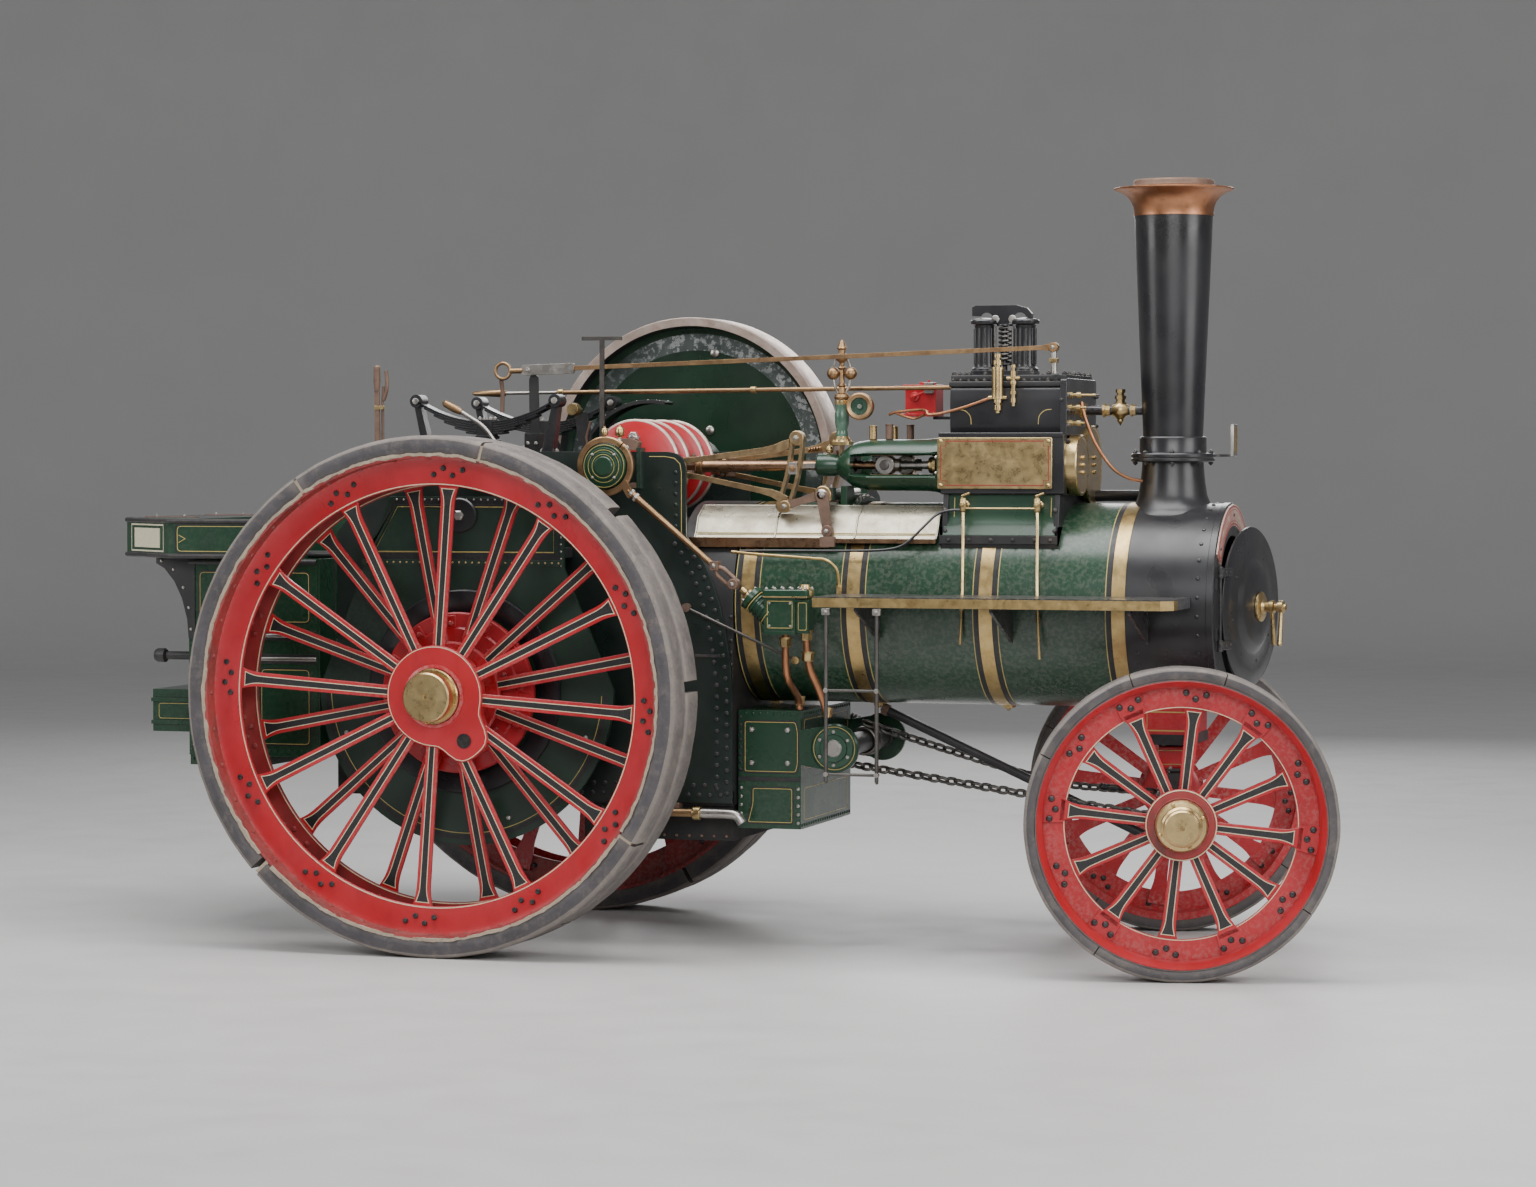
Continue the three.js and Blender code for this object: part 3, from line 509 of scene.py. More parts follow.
BRASS_BAND = metal("brass band", (0.60, 0.44, 0.20), (0.42, 0.29, 0.12), (0.14, 0.09, 0.04), (0.25, 0.45))
BRONZE = metal("brown bronze", (0.42, 0.27, 0.14), (0.27, 0.16, 0.09), (0.09, 0.05, 0.03), (0.3, 0.5))
COPPER = metal("dull copper", (0.50, 0.23, 0.12), (0.36, 0.17, 0.09), (0.12, 0.07, 0.05), (0.28, 0.5))
STEEL = metal("bright steel", (0.52, 0.50, 0.47), (0.36, 0.33, 0.30), (0.14, 0.09, 0.06), (0.25, 0.45))
OILY_STEEL = metal("oily steel", (0.15, 0.14, 0.13), (0.09, 0.085, 0.08), (0.05, 0.035, 0.025),
                   (0.35, 0.55))
BROWN_IRON = metal("brown iron", (0.23, 0.15, 0.11), (0.14, 0.09, 0.07), (0.06, 0.035, 0.025), (0.45, 0.7),
                   shine=0.6)
TIN = metal("stained tinned sheet", (0.44, 0.41, 0.33), (0.27, 0.24, 0.18), (0.10, 0.075, 0.045),
            (0.2, 0.42), shine=0.75, scale=0.5)
PALE_RIM = metal("turned iron rim", (0.60, 0.50, 0.44), (0.48, 0.36, 0.30), (0.25, 0.17, 0.13), (0.3, 0.5),
                 shine=0.8)
PACKING = plain_line("felt packing", (0.38, 0.31, 0.23), (0.10, 0.075, 0.06), 0.9)
NOTICE = plain_line("cream plate", (0.62, 0.58, 0.42), (0.40, 0.35, 0.22), 0.5)


# ---- wheels ---------------------------------------------------------------------------------
# A wheel is built about its own centre, Y pointing out of the engine; wheel_place() puts it on its axle.
REAR = {
    "end": "rear", "radius": 1.05, "seat": 0.975, "half": 0.1555, "ring": 0.850, "faces": (0.066, -0.103),
    "deep": 0.015, "spokes": 12, "turn": -4, "half_root": 0.026, "half_neck": 0.029, "half_foot": 0.044,
    "root": 0.165, "thick": 0.013, "inlay": 0.0135, "sides": 192,
}
FRONT = {
    "end": "front", "radius": 0.604, "seat": 0.558, "half": 0.100, "ring": 0.445, "faces": (0.012,),
    "deep": 0.014, "spokes": 6, "turn": -6.5, "half_root": 0.024, "half_neck": 0.0265, "half_foot": 0.040,
    "root": 0.115, "thick": 0.012, "inlay": 0.0115, "sides": 144,
}


def polar(radius, degrees, out):
    a = math.radians(degrees)
    return (radius * math.cos(a), out, radius * math.sin(a))


def wheel_place(spec, sign):
    tyre = f"{spec['end']}_tyre_{'left' if sign > 0 else 'right'}"
    mirror = Matrix.Diagonal((1, sign, 1, 1))
    spot = middle(tyre) - Vector((AXLE_X, 0, 0))
    steer = STEER if spec["end"] == "front" else 0.0
    return Matrix.Translation(spot) @ Matrix.Rotation(steer, 4, "Z") @ mirror


def spoke_outline(spec, foot):
    """Half-widths along a spoke: straight, then flaring into its foot."""
    neck = spec["ring"] - spec["half_foot"] * 2.0
    upper = [(spec["root"], spec["half_root"])]
    for i in range(7):
        t = i / 6
        a = neck + (spec["ring"] + 0.004 - neck) * t
        upper.append((a, spec["half_neck"] + (spec["half_foot"] - spec["half_neck"]) * t ** 2.4))
    upper.append((foot, spec["half_foot"] + 0.004))
    return upper + [(a, -b) for a, b in reversed(upper)]


def inlay_outline(spec, margin):
    """The painted inlay of a spoke, which flares and stops short of the ring."""
    neck = spec["ring"] - spec["half_foot"] * 2.0
    end = spec["ring"] - 0.006 - margin * 0.4
    upper = [(spec["root"], spec["half_root"] - margin)]
    for i in range(7):
        t = i / 6
        flare = spec["half_neck"] + (spec["half_foot"] - spec["half_neck"]) * t ** 2.2
        upper.append((neck + (end - neck) * t, flare - margin))
    return upper + [(a, -b) for a, b in reversed(upper)]


def turned_outline(outline, degrees):
    c, s = math.cos(math.radians(degrees)), math.sin(math.radians(degrees))
    return [(a * c - b * s, a * s + b * c) for a, b in outline]


def add_spoke(kit, spec, degrees, face, foot, coat):
    """A flat spoke with its front at face, a black inlay and a cream line round it."""
    body = turned_outline(spoke_outline(spec, foot), degrees)
    kit.prism(body, face - spec["thick"], face, coat, bevel=0.0022)
    line = turned_outline(inlay_outline(spec, spec["inlay"]), degrees)
    kit.prism(line, face - 0.004, face + 0.0005, CREAM_LINE)
    fill = turned_outline(inset(inlay_outline(spec, spec["inlay"]), 0.0032), degrees)
    kit.prism(fill, face - 0.003, face + 0.0009, BLACK_LINE)


def add_ring(kit, spec, face, coat):
    """The flat riveted ring inside the rim, with a cream line along its inner edge."""
    back = face - spec["deep"]
    inner, outer = spec["ring"], spec["seat"] - 0.012
    kit.lathe([(inner, back), (inner, face - 0.003), (inner + 0.003, face), (outer - 0.03, face),
               (outer, face + 0.012), (outer, back)], coat, axis="y", sides=spec["sides"])
    kit.lathe([(inner + 0.003, face - 0.001), (inner + 0.003, face + 0.0007),
               (inner + 0.007, face + 0.0007),
               (inner + 0.007, face - 0.001)], CREAM_LINE, axis="y", sides=spec["sides"])


def rear_wheel(side, sign):
    spec, body = REAR, f"rear_wheel_{side}"
    place = wheel_place(spec, sign)
    outer_face, inner_face = spec["faces"]
    seat, half = spec["seat"], spec["half"]

    rim = Kit()
    rim.lathe([(seat - 0.015, -half + 0.005), (seat - 0.0005, -half + 0.005), (seat - 0.0005, half - 0.006),
               (seat - 0.004, half - 0.003), (seat - 0.015, half - 0.006)],
              RED_DIRTY, axis="y", sides=spec["sides"])
    add_ring(rim, spec, outer_face, RED)
    add_ring(rim, spec, inner_face, RED_DIRTY)
    for i in range(spec["spokes"]):
        angle = spec["turn"] + 30 * i
        for k in range(4):
            radius = (0.919, 0.893)[k % 2]
            rim.rivet(polar(radius, angle - 3.9 + 2.6 * k, outer_face), (0, 1, 0), 0.0125, BLACK)
            rim.rivet(polar(radius, angle + 15 - 3.9 + 2.6 * k, inner_face), (0, 1, 0), 0.0125, RED_DIRTY)
            back = polar(radius, angle + 15 - 3.9 + 2.6 * k, inner_face - spec["deep"])
            rim.rivet(back, (0, -1, 0), 0.0125, BLACK)
    for i in range(40):
        for out in (0.108, -0.13, 0.02, -0.04):
            spot = polar(seat - 0.015, 9 * i + (4.5 if out < 0 else 0), out)
            rim.rivet(spot, (-spot[0], 0, -spot[2]), 0.010, RED_DIRTY)
    piece(f"rear_rim_{side}", body, rim, [f"rear_wheel_{side}"], turn=place)

    spokes = Kit()
    for i in range(spec["spokes"]):
        angle = spec["turn"] + 30 * i
        add_spoke(spokes, spec, angle, outer_face - spec["deep"] + 0.001, spec["ring"] + 0.07, RED)
        add_spoke(spokes, spec, angle + 15, inner_face - spec["deep"] + 0.001, spec["ring"] + 0.07, RED)
    piece(f"rear_spokes_{side}", body, spokes, turn=place)

    rear_hub(side, body, place)
    rear_rubber(side, body, place)


def lobed_circle(radius, lobe_angle, lobe_reach, lobe_radius, count=72):
    """A round outline with one rounded ear blended into it."""
    outline = []
    for i in range(count):
        angle = 360 * i / count
        away = abs((angle - lobe_angle + 180) % 360 - 180)
        ear = math.exp(-(away / lobe_radius) ** 4)
        a = math.radians(angle)
        r = radius + (lobe_reach - radius) * ear
        outline.append((r * math.cos(a), r * math.sin(a)))
    return outline


def rear_hub(side, body, place):
    hub = Kit()
    face = REAR["faces"][0]
    disc = lobed_circle(0.205, -52, 0.298, 25)
    hub.prism(disc, face - 0.045, face, RED, bevel=0.004)
    hub.frame_line(inset(disc, 0.006), face, (0, 1, 0), 0.003, CREAM_LINE)
    hub.lathe([(0.112, face - 0.01), (0.130, face - 0.01), (0.128, face + 0.006), (0.115, face + 0.010)],
              RED, axis="y", sides=64)
    # a near-black disc on the hub's ear stands in for the pin hole there: painted shade
    hub.lathe([(0, face - 0.003), (0.030, face - 0.003), (0.030, face + 0.004), (0, face + 0.004)], SOOT_AND_HOLE_SHADE,
              centre=(0.232 * math.cos(math.radians(-50)) - 0.02, 0, 0.232 * math.sin(math.radians(-50))),
              axis="y", sides=32)
    hub.lathe([(0.080, -0.206), (0.125, -0.206), (0.130, -0.12), (0.122, 0), (0.130, 0.03), (0.080, 0.03)],
              RED, axis="y", sides=48)
    hub.lathe([(0.12, -0.138), (0.205, -0.138), (0.213, -0.131), (0.213, -0.119), (0.205, -0.113),
               (0.12, -0.113)], RED, axis="y", sides=64)
    # the winding drum's flange: two steps, a ring of raised pads and bolts
    hub.lathe([(0.12, -0.225), (0.325, -0.225), (0.330, -0.219), (0.330, -0.196), (0.324, -0.190),
               (0.27, -0.188),
               (0.262, -0.178), (0.20, -0.176), (0.12, -0.15)], RED, axis="y", sides=96)
    for i in range(12):
        angle = 30 * i + 8
        pad = turned_outline([(0.262, -0.034), (0.318, -0.040), (0.318, 0.040), (0.262, 0.034)], angle)
        hub.prism(rounded(pad, 0.01, 3), -0.195, -0.179, RED, bevel=0.003)
        hub.bolt(polar(0.284, angle - 3.5, -0.18), (0, 1, 0), 0.012, RED)
        hub.bolt(polar(0.225, angle + 12, -0.178), (0, 1, 0), 0.011, RED)
    piece(f"rear_hub_{side}", body, hub, turn=place)

    cap = Kit()
    cap.lathe([(0, face + 0.0003), (0.113, face + 0.0003), (0.113, face + 0.026), (0.109, face + 0.031),
               (0.101, face + 0.031), (0.100, face + 0.086), (0.094, face + 0.092), (0.012, face + 0.0915),
               (0.009, face + 0.087), (0, face + 0.087)], BRASS, axis="y", sides=72)
    for angle in (82, -18, 202, -100):
        cap.stack(polar(0.1065, angle, face + 0.031), (0, 1, 0),
                  [(0.0045, -0.001), (0.0045, 0.010), (0, 0.012)],
                  BRASS)
    piece(f"rear_cap_{side}", body, cap, [f"rear_hub_cap_{side}"], turn=place)


def tread_profile(seat, radius, low, high, round_off):
    """Rubber section from its inner edge round the tread to its outer edge, with the finish of each span."""
    r, d = radius, round_off
    profile = [(seat, low + 0.002), (seat + 0.03, low), (r - d * 0.9, low + 0.001),
               (r - d * 0.3, low + d * 0.35),
               (r, low + d * 1.2), (r, (low + high) / 2), (r, high - d * 1.6),
               (r - d * 0.25, high - d * 0.55),
               (r - d, high - 0.001), (seat + 0.03, high), (seat + 0.006, high - 0.002),
               (seat, high - 0.010)]
    coats = [RUBBER_SIDE] * 2 + [RUBBER_TREAD] * 6 + [RUBBER_SIDE] * 4
    return profile, coats


def rubber_arc(kit, profile, coats, start, end, step=1.6):
    sides = max(4, round((end - start) / step))
    kit.lathe(profile, coats, axis="y", sides=sides, start=start, sweep=end - start)


def rear_rubber(side, body, place):
    spec = REAR
    tyre = Kit()
    near, coats = tread_profile(spec["seat"], spec["radius"], 0.006, spec["half"] - 0.001, 0.016)
    joints = (-137, -33, 76.5, 123)
    ends = (joints[1], joints[2], joints[3], joints[0] + 360)
    gaps = (1.6, 0.35, 0.35, 0.45)
    for start, end, gap in zip(joints, ends, gaps):
        rubber_arc(tyre, near, coats, start + gap, end - 0.35)
    far, coats = tread_profile(spec["seat"], spec["radius"], -spec["half"] + 0.001, -0.006, 0.014)
    for start, end in ((4, 44), (46.5, 128), (129, 214), (215, 299), (300, 361.5)):
        rubber_arc(tyre, far, coats, start, end)
    tyre.roughen(0.0022, 13, seed=sign_seed(side))
    piece(f"rear_rubber_{side}", body, tyre, [f"rear_tyre_{side}"], sharp=50, turn=place)

    packing = Kit()
    for start, end in ((-134, -34), (-32, 76), (77, 122.5), (123.5, 221.5)):
        packing.lathe([(spec["seat"] - 0.010, spec["half"] - 0.008),
                       (spec["seat"] + 0.004, spec["half"] - 0.008),
                       (spec["seat"] + 0.006, spec["half"] - 0.0005),
                       (spec["seat"] - 0.006, spec["half"] - 0.001)],
                      PACKING, axis="y", sides=120, start=start, sweep=end - start)
    packing.roughen(0.0050, 24, seed=3)
    packing.roughen(0.0025, 70, seed=5)
    for angle, width in ((-33.4, 1.2), (76.5, 1.1), (123, 1.2), (-135.6, 0.8)):
        block = turned_outline([(0.973, -0.010 * width), (1.036, -0.012 * width), (1.034, 0.012 * width),
                                (0.973, 0.010 * width)], angle)
        packing.prism(block, 0.012, spec["half"] - 0.004, PACKING)
    piece(f"rear_packing_{side}", body, packing, turn=place)


def sign_seed(side):
    """Where a side's roughness starts in the noise, so that the two sides' tyres differ."""
    return 11 if side == "right" else 29


def front_wheel(side, sign):
    spec, body = FRONT, f"front_wheel_{side}"
    place = wheel_place(spec, sign)
    face, seat, half = spec["faces"][0], spec["seat"], spec["half"]

    rim = Kit()
    rim.lathe([(seat - 0.030, -half + 0.005), (seat - 0.0005, -half + 0.005), (seat - 0.0005, half - 0.006),
               (seat - 0.006, half - 0.004), (seat - 0.014, half - 0.016), (seat - 0.026, half - 0.030),
               (seat - 0.030, half - 0.060)], RED, axis="y", sides=spec["sides"])
    inner, outer = spec["ring"], seat - 0.026
    rim.lathe([(inner, face - 0.014), (inner, face - 0.002), (inner + 0.002, face), (outer, face),
               (outer, face - 0.014)], RED, axis="y", sides=spec["sides"])
    rim.lathe([(inner + 0.002, face - 0.001), (inner + 0.002, face + 0.0007),
               (inner + 0.0055, face + 0.0007),
               (inner + 0.0055, face - 0.001)], CREAM_LINE, axis="y", sides=spec["sides"])
    for i in range(6):
        angle = spec["turn"] + 60 * i
        plate = turned_outline([(0.447, -0.048), (0.531, -0.058), (0.531, 0.058), (0.447, 0.048)], angle)
        rim.prism(rounded(plate, 0.006, 2), face - 0.001, face + 0.011, RED, bevel=0.002)
        for foot, out in ((angle, face + 0.011), (angle + 30, face)):
            for turn, radius in ((-4.4, 0.505), (0, 0.484), (4.4, 0.505)):
                rim.rivet(polar(radius, foot + turn, out), (0, 1, 0), 0.0135, BLACK)
                rim.rivet(polar(radius, foot + turn, face - 0.014), (0, -1, 0), 0.0125, BLACK)
    piece(f"front_rim_{side}", body, rim, [f"front_wheel_{side}"], turn=place)

    spokes = Kit()
    for i in range(6):
        angle = spec["turn"] + 60 * i
        add_spoke(spokes, spec, angle, face + 0.011, spec["ring"] + 0.022, RED)
        add_spoke(spokes, spec, angle + 30, face - spec["deep"] + 0.001, spec["ring"] + 0.055, RED)
    piece(f"front_spokes_{side}", body, spokes, turn=place)

    hub = Kit()
    hub.lathe([(0.041, -0.050), (0.100, -0.050), (0.118, -0.040), (0.122, 0.02), (0.128, 0.04),
               (0.138, 0.048),
               (0.138, 0.070), (0.131, 0.078), (0.128, 0.082), (0.104, 0.085), (0.041, 0.085)],
              [RED] * 7 + [RED_DIRTY] * 4, axis="y", sides=72)
    hub.lathe([(0.1315, 0.078), (0.1335, 0.0815), (0.1365, 0.079), (0.135, 0.075)], CREAM_LINE, axis="y",
              sides=72)
    hub.lathe([(0.10, 0.083), (0.104, 0.0875), (0.108, 0.083)], RED_DIRTY, axis="y", sides=72)
    piece(f"front_hub_{side}", body, hub, turn=place)

    cap = Kit()
    base = 0.0853
    cap.lathe([(0, base), (0.100, base), (0.100, base + 0.036), (0.094, base + 0.044),
               (0.080, base + 0.046),
               (0.078, base + 0.078), (0.070, base + 0.086), (0.068, base + 0.122), (0.062, base + 0.128),
               (0.010, base + 0.1285), (0.008, base + 0.124), (0, base + 0.124)], BRASS, axis="y", sides=64)
    for angle in (112, 22, 292, 202):
        cap.bolt(polar(0.088, angle, base + 0.044), (0, 1, 0), 0.0085, BRASS)
    piece(f"front_cap_{side}", body, cap, [f"front_hub_cap_{side}"], turn=place)

    tyre = Kit()
    profile, coats = tread_profile(seat, spec["radius"], -half, half, 0.012)
    for start, end in ((-34, 73), (73.4, 109), (109.4, 153), (153.4, 236), (236.4, 325.6)):
        rubber_arc(tyre, profile, coats, start, end, step=2.4)
    tyre.roughen(0.0015, 16, seed=sign_seed(side))
    tyre.lathe([(seat - 0.003, half - 0.008), (seat + 0.003, half - 0.008), (seat + 0.002, half - 0.003),
                (seat - 0.002, half - 0.003)], RUBBER_SIDE, axis="y", sides=96)
    piece(f"front_rubber_{side}", body, tyre, [f"front_tyre_{side}"], sharp=50, turn=place)


for side, sign in SIDES:
    rear_wheel(side, sign)
    front_wheel(side, sign)


# ---- boiler, smokebox, chimney --------------------------------------------------------------
BARREL_BACK, BARREL_FRONT = 1.090, 2.695
SMOKEBOX_FRONT = 3.064
AXIS = (0, 0, BOILER_Z)


def ring(kit, x0, x1, radius, proud, finish, centre=AXIS, sides=128):
    """A thin band round a cylinder whose axis is X."""
    kit.lathe([(radius - 0.002, x0), (radius + proud, x0), (radius + proud, x1), (radius - 0.002, x1)],
              finish, centre=centre, sides=sides)


def band(kit, x0, x1):
    """A brass cladding band with black edges, each with a yellow line outside it."""
    ring(kit, x0, x1, BOILER_R, 0.0028, BRASS_BAND)
    ring(kit, x0 - 0.020, x0 - 0.001, BOILER_R, 0.0010, BLACK_LINE)
    ring(kit, x1 + 0.001, x1 + 0.020, BOILER_R, 0.0010, BLACK_LINE)
    ring(kit, x0 - 0.026, x0 - 0.0225, BOILER_R, 0.0008, YELLOW_LINE)
    ring(kit, x1 + 0.0225, x1 + 0.026, BOILER_R, 0.0008, YELLOW_LINE)


def boiler():
    kit = Kit()
    kit.lathe([(0, BARREL_BACK + 0.0005), (BOILER_R, BARREL_BACK + 0.0005), (BOILER_R, BARREL_FRONT),
               (0, BARREL_FRONT)], GREEN, centre=AXIS, sides=128)
    for x in (1.118, 1.565, 2.115):
        band(kit, x, x + 0.054)
    ring(kit, 2.637, 2.656, BOILER_R, 0.0010, BLACK_LINE)
    ring(kit, 2.631, 2.6345, BOILER_R, 0.0008, YELLOW_LINE)
    ring(kit, 2.657, 2.711, BOILER_R, 0.0030, BRASS_BAND)
    for x in (1.145, 1.592, 2.142, 2.684):
        kit.box(x - 0.020, x + 0.020, -0.030, 0.030, BOILER_Z - BOILER_R - 0.012,
                BOILER_Z - BOILER_R + 0.004, BRASS)
        kit.bolt((x, -0.015, BOILER_Z - BOILER_R - 0.010), (0, 0, -1), 0.010, BRASS)
    piece("boiler_cladding", "chassis", kit, ["boiler_barrel"])


def smokebox():
    kit = Kit()
    wall = 0.014
    kit.lathe([(BOILER_R - wall, BARREL_FRONT + 0.016), (BOILER_R, BARREL_FRONT + 0.016),
               (BOILER_R, 3.034), (BOILER_R + 0.003, 3.036), (BOILER_R + 0.003, SMOKEBOX_FRONT - 0.004),
               (BOILER_R - 0.002, SMOKEBOX_FRONT), (0.285, SMOKEBOX_FRONT), (0.285, 3.050),
               (BOILER_R - wall, 3.050)], [BLACK] * 7 + [SOOT_AND_HOLE_SHADE] * 2, centre=AXIS, sides=128)
    for i in range(34):
        a = math.radians(360 * i / 34 + 4)
        way = (0, math.cos(a), math.sin(a))
        spot = (3.000, BOILER_R * way[1], BOILER_Z + BOILER_R * way[2])
        kit.rivet(spot, way, 0.0085, BLACK)
    for i in range(9):
        a = math.radians(205 + 8 * i)
        way = (0, math.cos(a), math.sin(a))
        kit.rivet((2.755, BOILER_R * way[1], BOILER_Z + BOILER_R * way[2]), way, 0.0075, BLACK)
    # the blank arc plate above the door, pale with a worn red border
    sector = arc(0, BOILER_Z, 0.410, 32, 148, 40) + arc(0, BOILER_Z, 0.325, 148, 32, 40)
    kit.prism(sector, SMOKEBOX_FRONT - 0.001, SMOKEBOX_FRONT + 0.006, ARC_PLATE, plane="yz")
    kit.frame_line(inset(sector, 0.008), SMOKEBOX_FRONT + 0.006, (1, 0, 0), 0.005, RED_LINE, plane="yz")
    kit.frame_line(inset(sector, 0.020), SMOKEBOX_FRONT + 0.006, (1, 0, 0), 0.0022, RED_LINE, plane="yz")
    for angle in (40, 90, 140):
        a = math.radians(angle)
        kit.rivet((SMOKEBOX_FRONT + 0.006, 0.368 * math.cos(a), BOILER_Z + 0.368 * math.sin(a)), (1, 0, 0),
                  0.007, BLACK)
    # hinge brackets and the hinge pin
    for low in (-0.125, 0.075):
        kit.box(3.063, 3.074, -0.372, -0.318, BOILER_Z + low, BOILER_Z + low + 0.045, BLACK)
    kit.tube([(3.081, -0.345, BOILER_Z - 0.17), (3.081, -0.345, BOILER_Z + 0.17)], 0.0055, BLACK)
    # the perch block below
    kit.box(2.740, 2.930, -0.170, 0.170, 0.862, 1.060, RED)
    kit.box(2.736, 2.934, -0.174, 0.174, 0.858, 0.900, BLACK)
    kit.frame_line(rectangle(2.752, 2.918, 0.915, 0.990), -0.1702, (0, -1, 0), 0.004, YELLOW_LINE)
    for x in (2.765, 2.905):
        kit.bolt((x, -0.174, 0.879), (0, -1, 0), 0.012, BLACK)
    piece("smokebox_shell", "chassis", kit, ["smokebox"], bevel=0.0015, sharp=30)


def smokebox_door():
    turn = (Matrix.Translation((3.081, -0.345, BOILER_Z)) @ Matrix.Rotation(-DOOR_OPEN, 4, "Z"))
    centre = (0, 0.345, 0)
    kit = Kit()
    kit.lathe([(0, -0.011), (0.316, -0.011), (0.320, -0.007), (0.320, -0.001), (0.316, 0.002),
               (0.255, 0.006),
               (0.196, 0.010), (0.186, 0.014), (0.166, 0.027), (0.150, 0.033), (0.10, 0.037), (0, 0.040)],
              BLACK, centre=centre, sides=96)
    for i in range(8):
        spot = polar(0.225, 45 * i + 12, 0)
        kit.rivet((0.0075, 0.345 + spot[0], spot[2]), (1, 0, 0), 0.006, BLACK)
    for low, high in ((-0.168, -0.122), (0.122, 0.168)):
        kit.lathe([(0.0115, low), (0.0115, high), (0.0058, high), (0.0058, low)], BLACK, axis="z", sides=20)
        kit.prism(rounded(rectangle(0.008, 0.120, low + 0.006, high - 0.006), 0.012), 0.002, 0.009, BLACK,
                  plane="yz", bevel=0.002)
        for y in (0.045, 0.095):
            kit.rivet((0.009, y, (low + high) / 2), (1, 0, 0), 0.006, BLACK)
    piece("smokebox_door_plate", "smokebox_door", kit, ["smokebox_door"], turn=turn)

    brass = Kit()
    brass.lathe([(0, 0.0403), (0.060, 0.0403), (0.060, 0.047), (0.052, 0.052), (0.030, 0.055),
                 (0.021, 0.064),
                 (0.021, 0.078), (0.026, 0.082), (0.026, 0.100), (0.016, 0.104), (0.016, 0.118),
                 (0.025, 0.121),
                 (0.025, 0.139), (0.013, 0.143), (0.012, 0.150), (0, 0.150)], BRASS, centre=centre,
                sides=40)
    for x, far in ((0.091, 0.022), (0.130, -0.020)):
        path = [(x, 0.345, 0.012), (x, 0.345 + far * 0.3, -0.050), (x, 0.345 + far, -0.150)]
        brass.tube(path, [0.0075, 0.0085, 0.0105], BRASS, sides=14)
        brass.stack((x, 0.345 + far, -0.150), (0, 0, -1), [(0.0105, 0), (0.009, 0.004), (0, 0.006)], BRASS)
    for i in range(3):
        spot = polar(0.051, 120 * i + 30, 0)
        brass.rivet((0.050, 0.345 + spot[0], spot[2]), (1, 0, 0), 0.004, BRASS)
    piece("door_brass_handles", "smokebox_door", brass, ["door_handles"], turn=turn)


def chimney():
    x = CHIMNEY_X
    base = Kit()
    base.lathe([(0.106, 1.770), (0.196, 1.776), (0.192, 1.786), (0.172, 1.802), (0.152, 1.826),
                (0.139, 1.860),
                (0.131, 1.910), (0.126, 1.960), (0.124, 1.992), (0.166, 1.994), (0.169, 1.998),
                (0.169, 2.007),
                (0.166, 2.0098), (0.106, 2.0098)], BLACK, centre=(x, 0, 0), axis="z", sides=80)
    for i in range(8):
        spot = polar(0.152, 45 * i + 10, 0)
        base.bolt((x + spot[0], spot[2], 1.994), (0, 0, -1), 0.010, BLACK)
    piece("chimney_saddle", "chassis", base, ["chimney_base"])

    tube = Kit()
    tube.lathe([(0.110, 2.0103), (0.166, 2.0103), (0.169, 2.014), (0.169, 2.024), (0.166, 2.028),
                (0.137, 2.030),
                (0.135, 2.034), (0.135, 2.090), (0.132, 2.095), (0.121, 2.097), (0.158, 2.984),
                (0.146, 2.984),
                (0.110, 2.098)], [BLACK] * 11 + [SOOT_AND_HOLE_SHADE] * 2, centre=(x, 0, 0), axis="z", sides=80)
    for i in range(8):
        spot = polar(0.152, 45 * i + 10, 0)
        tube.bolt((x + spot[0], spot[2], 2.028), (0, 0, 1), 0.010, BLACK)
    tube.box(2.978, 3.066, -0.026, 0.026, 2.014, 2.024, BLACK)
    tube.prism(rounded(rectangle(-0.045, 0.045, 2.016, 2.145), 0.004, 2), 3.064, 3.075, STEEL, plane="yz",
               bevel=0.002)
    tube.prism(rectangle(-0.034, 0.034, 2.030, 2.132), 3.070, 3.0758, OILY_STEEL, plane="yz")
    for y in (-0.020, -0.004, 0.012, 0.028):
        tube.box(3.070, 3.0765, y - 0.003, y + 0.003, 2.030, 2.132, BRASS)
    piece("chimney_tube", "chassis", tube, ["chimney_barrel"], sharp=30)

    cap = Kit()
    cap.lathe([(0.146, 2.9843), (0.160, 2.9843), (0.1605, 3.000), (0.1635, 3.020), (0.171, 3.042),
               (0.186, 3.062),
               (0.208, 3.078), (0.234, 3.088), (0.240, 3.0915), (0.241, 3.095), (0.238, 3.098),
               (0.200, 3.102),
               (0.166, 3.107), (0.163, 3.112), (0.163, 3.122), (0.160, 3.129), (0.155, 3.131),
               (0.150, 3.127),
               (0.149, 3.10)], [COPPER] * 12 + [BROWN_IRON] * 7, centre=(x, 0, 0), axis="z", sides=96)
    cap.lathe([(0.1595, 2.986), (0.1625, 2.986), (0.1625, 2.992), (0.1595, 2.992)], COPPER,
              centre=(x, 0, 0),
              axis="z", sides=80)
    piece("chimney_copper_cap", "chassis", cap, ["chimney_cap"], sharp=45)


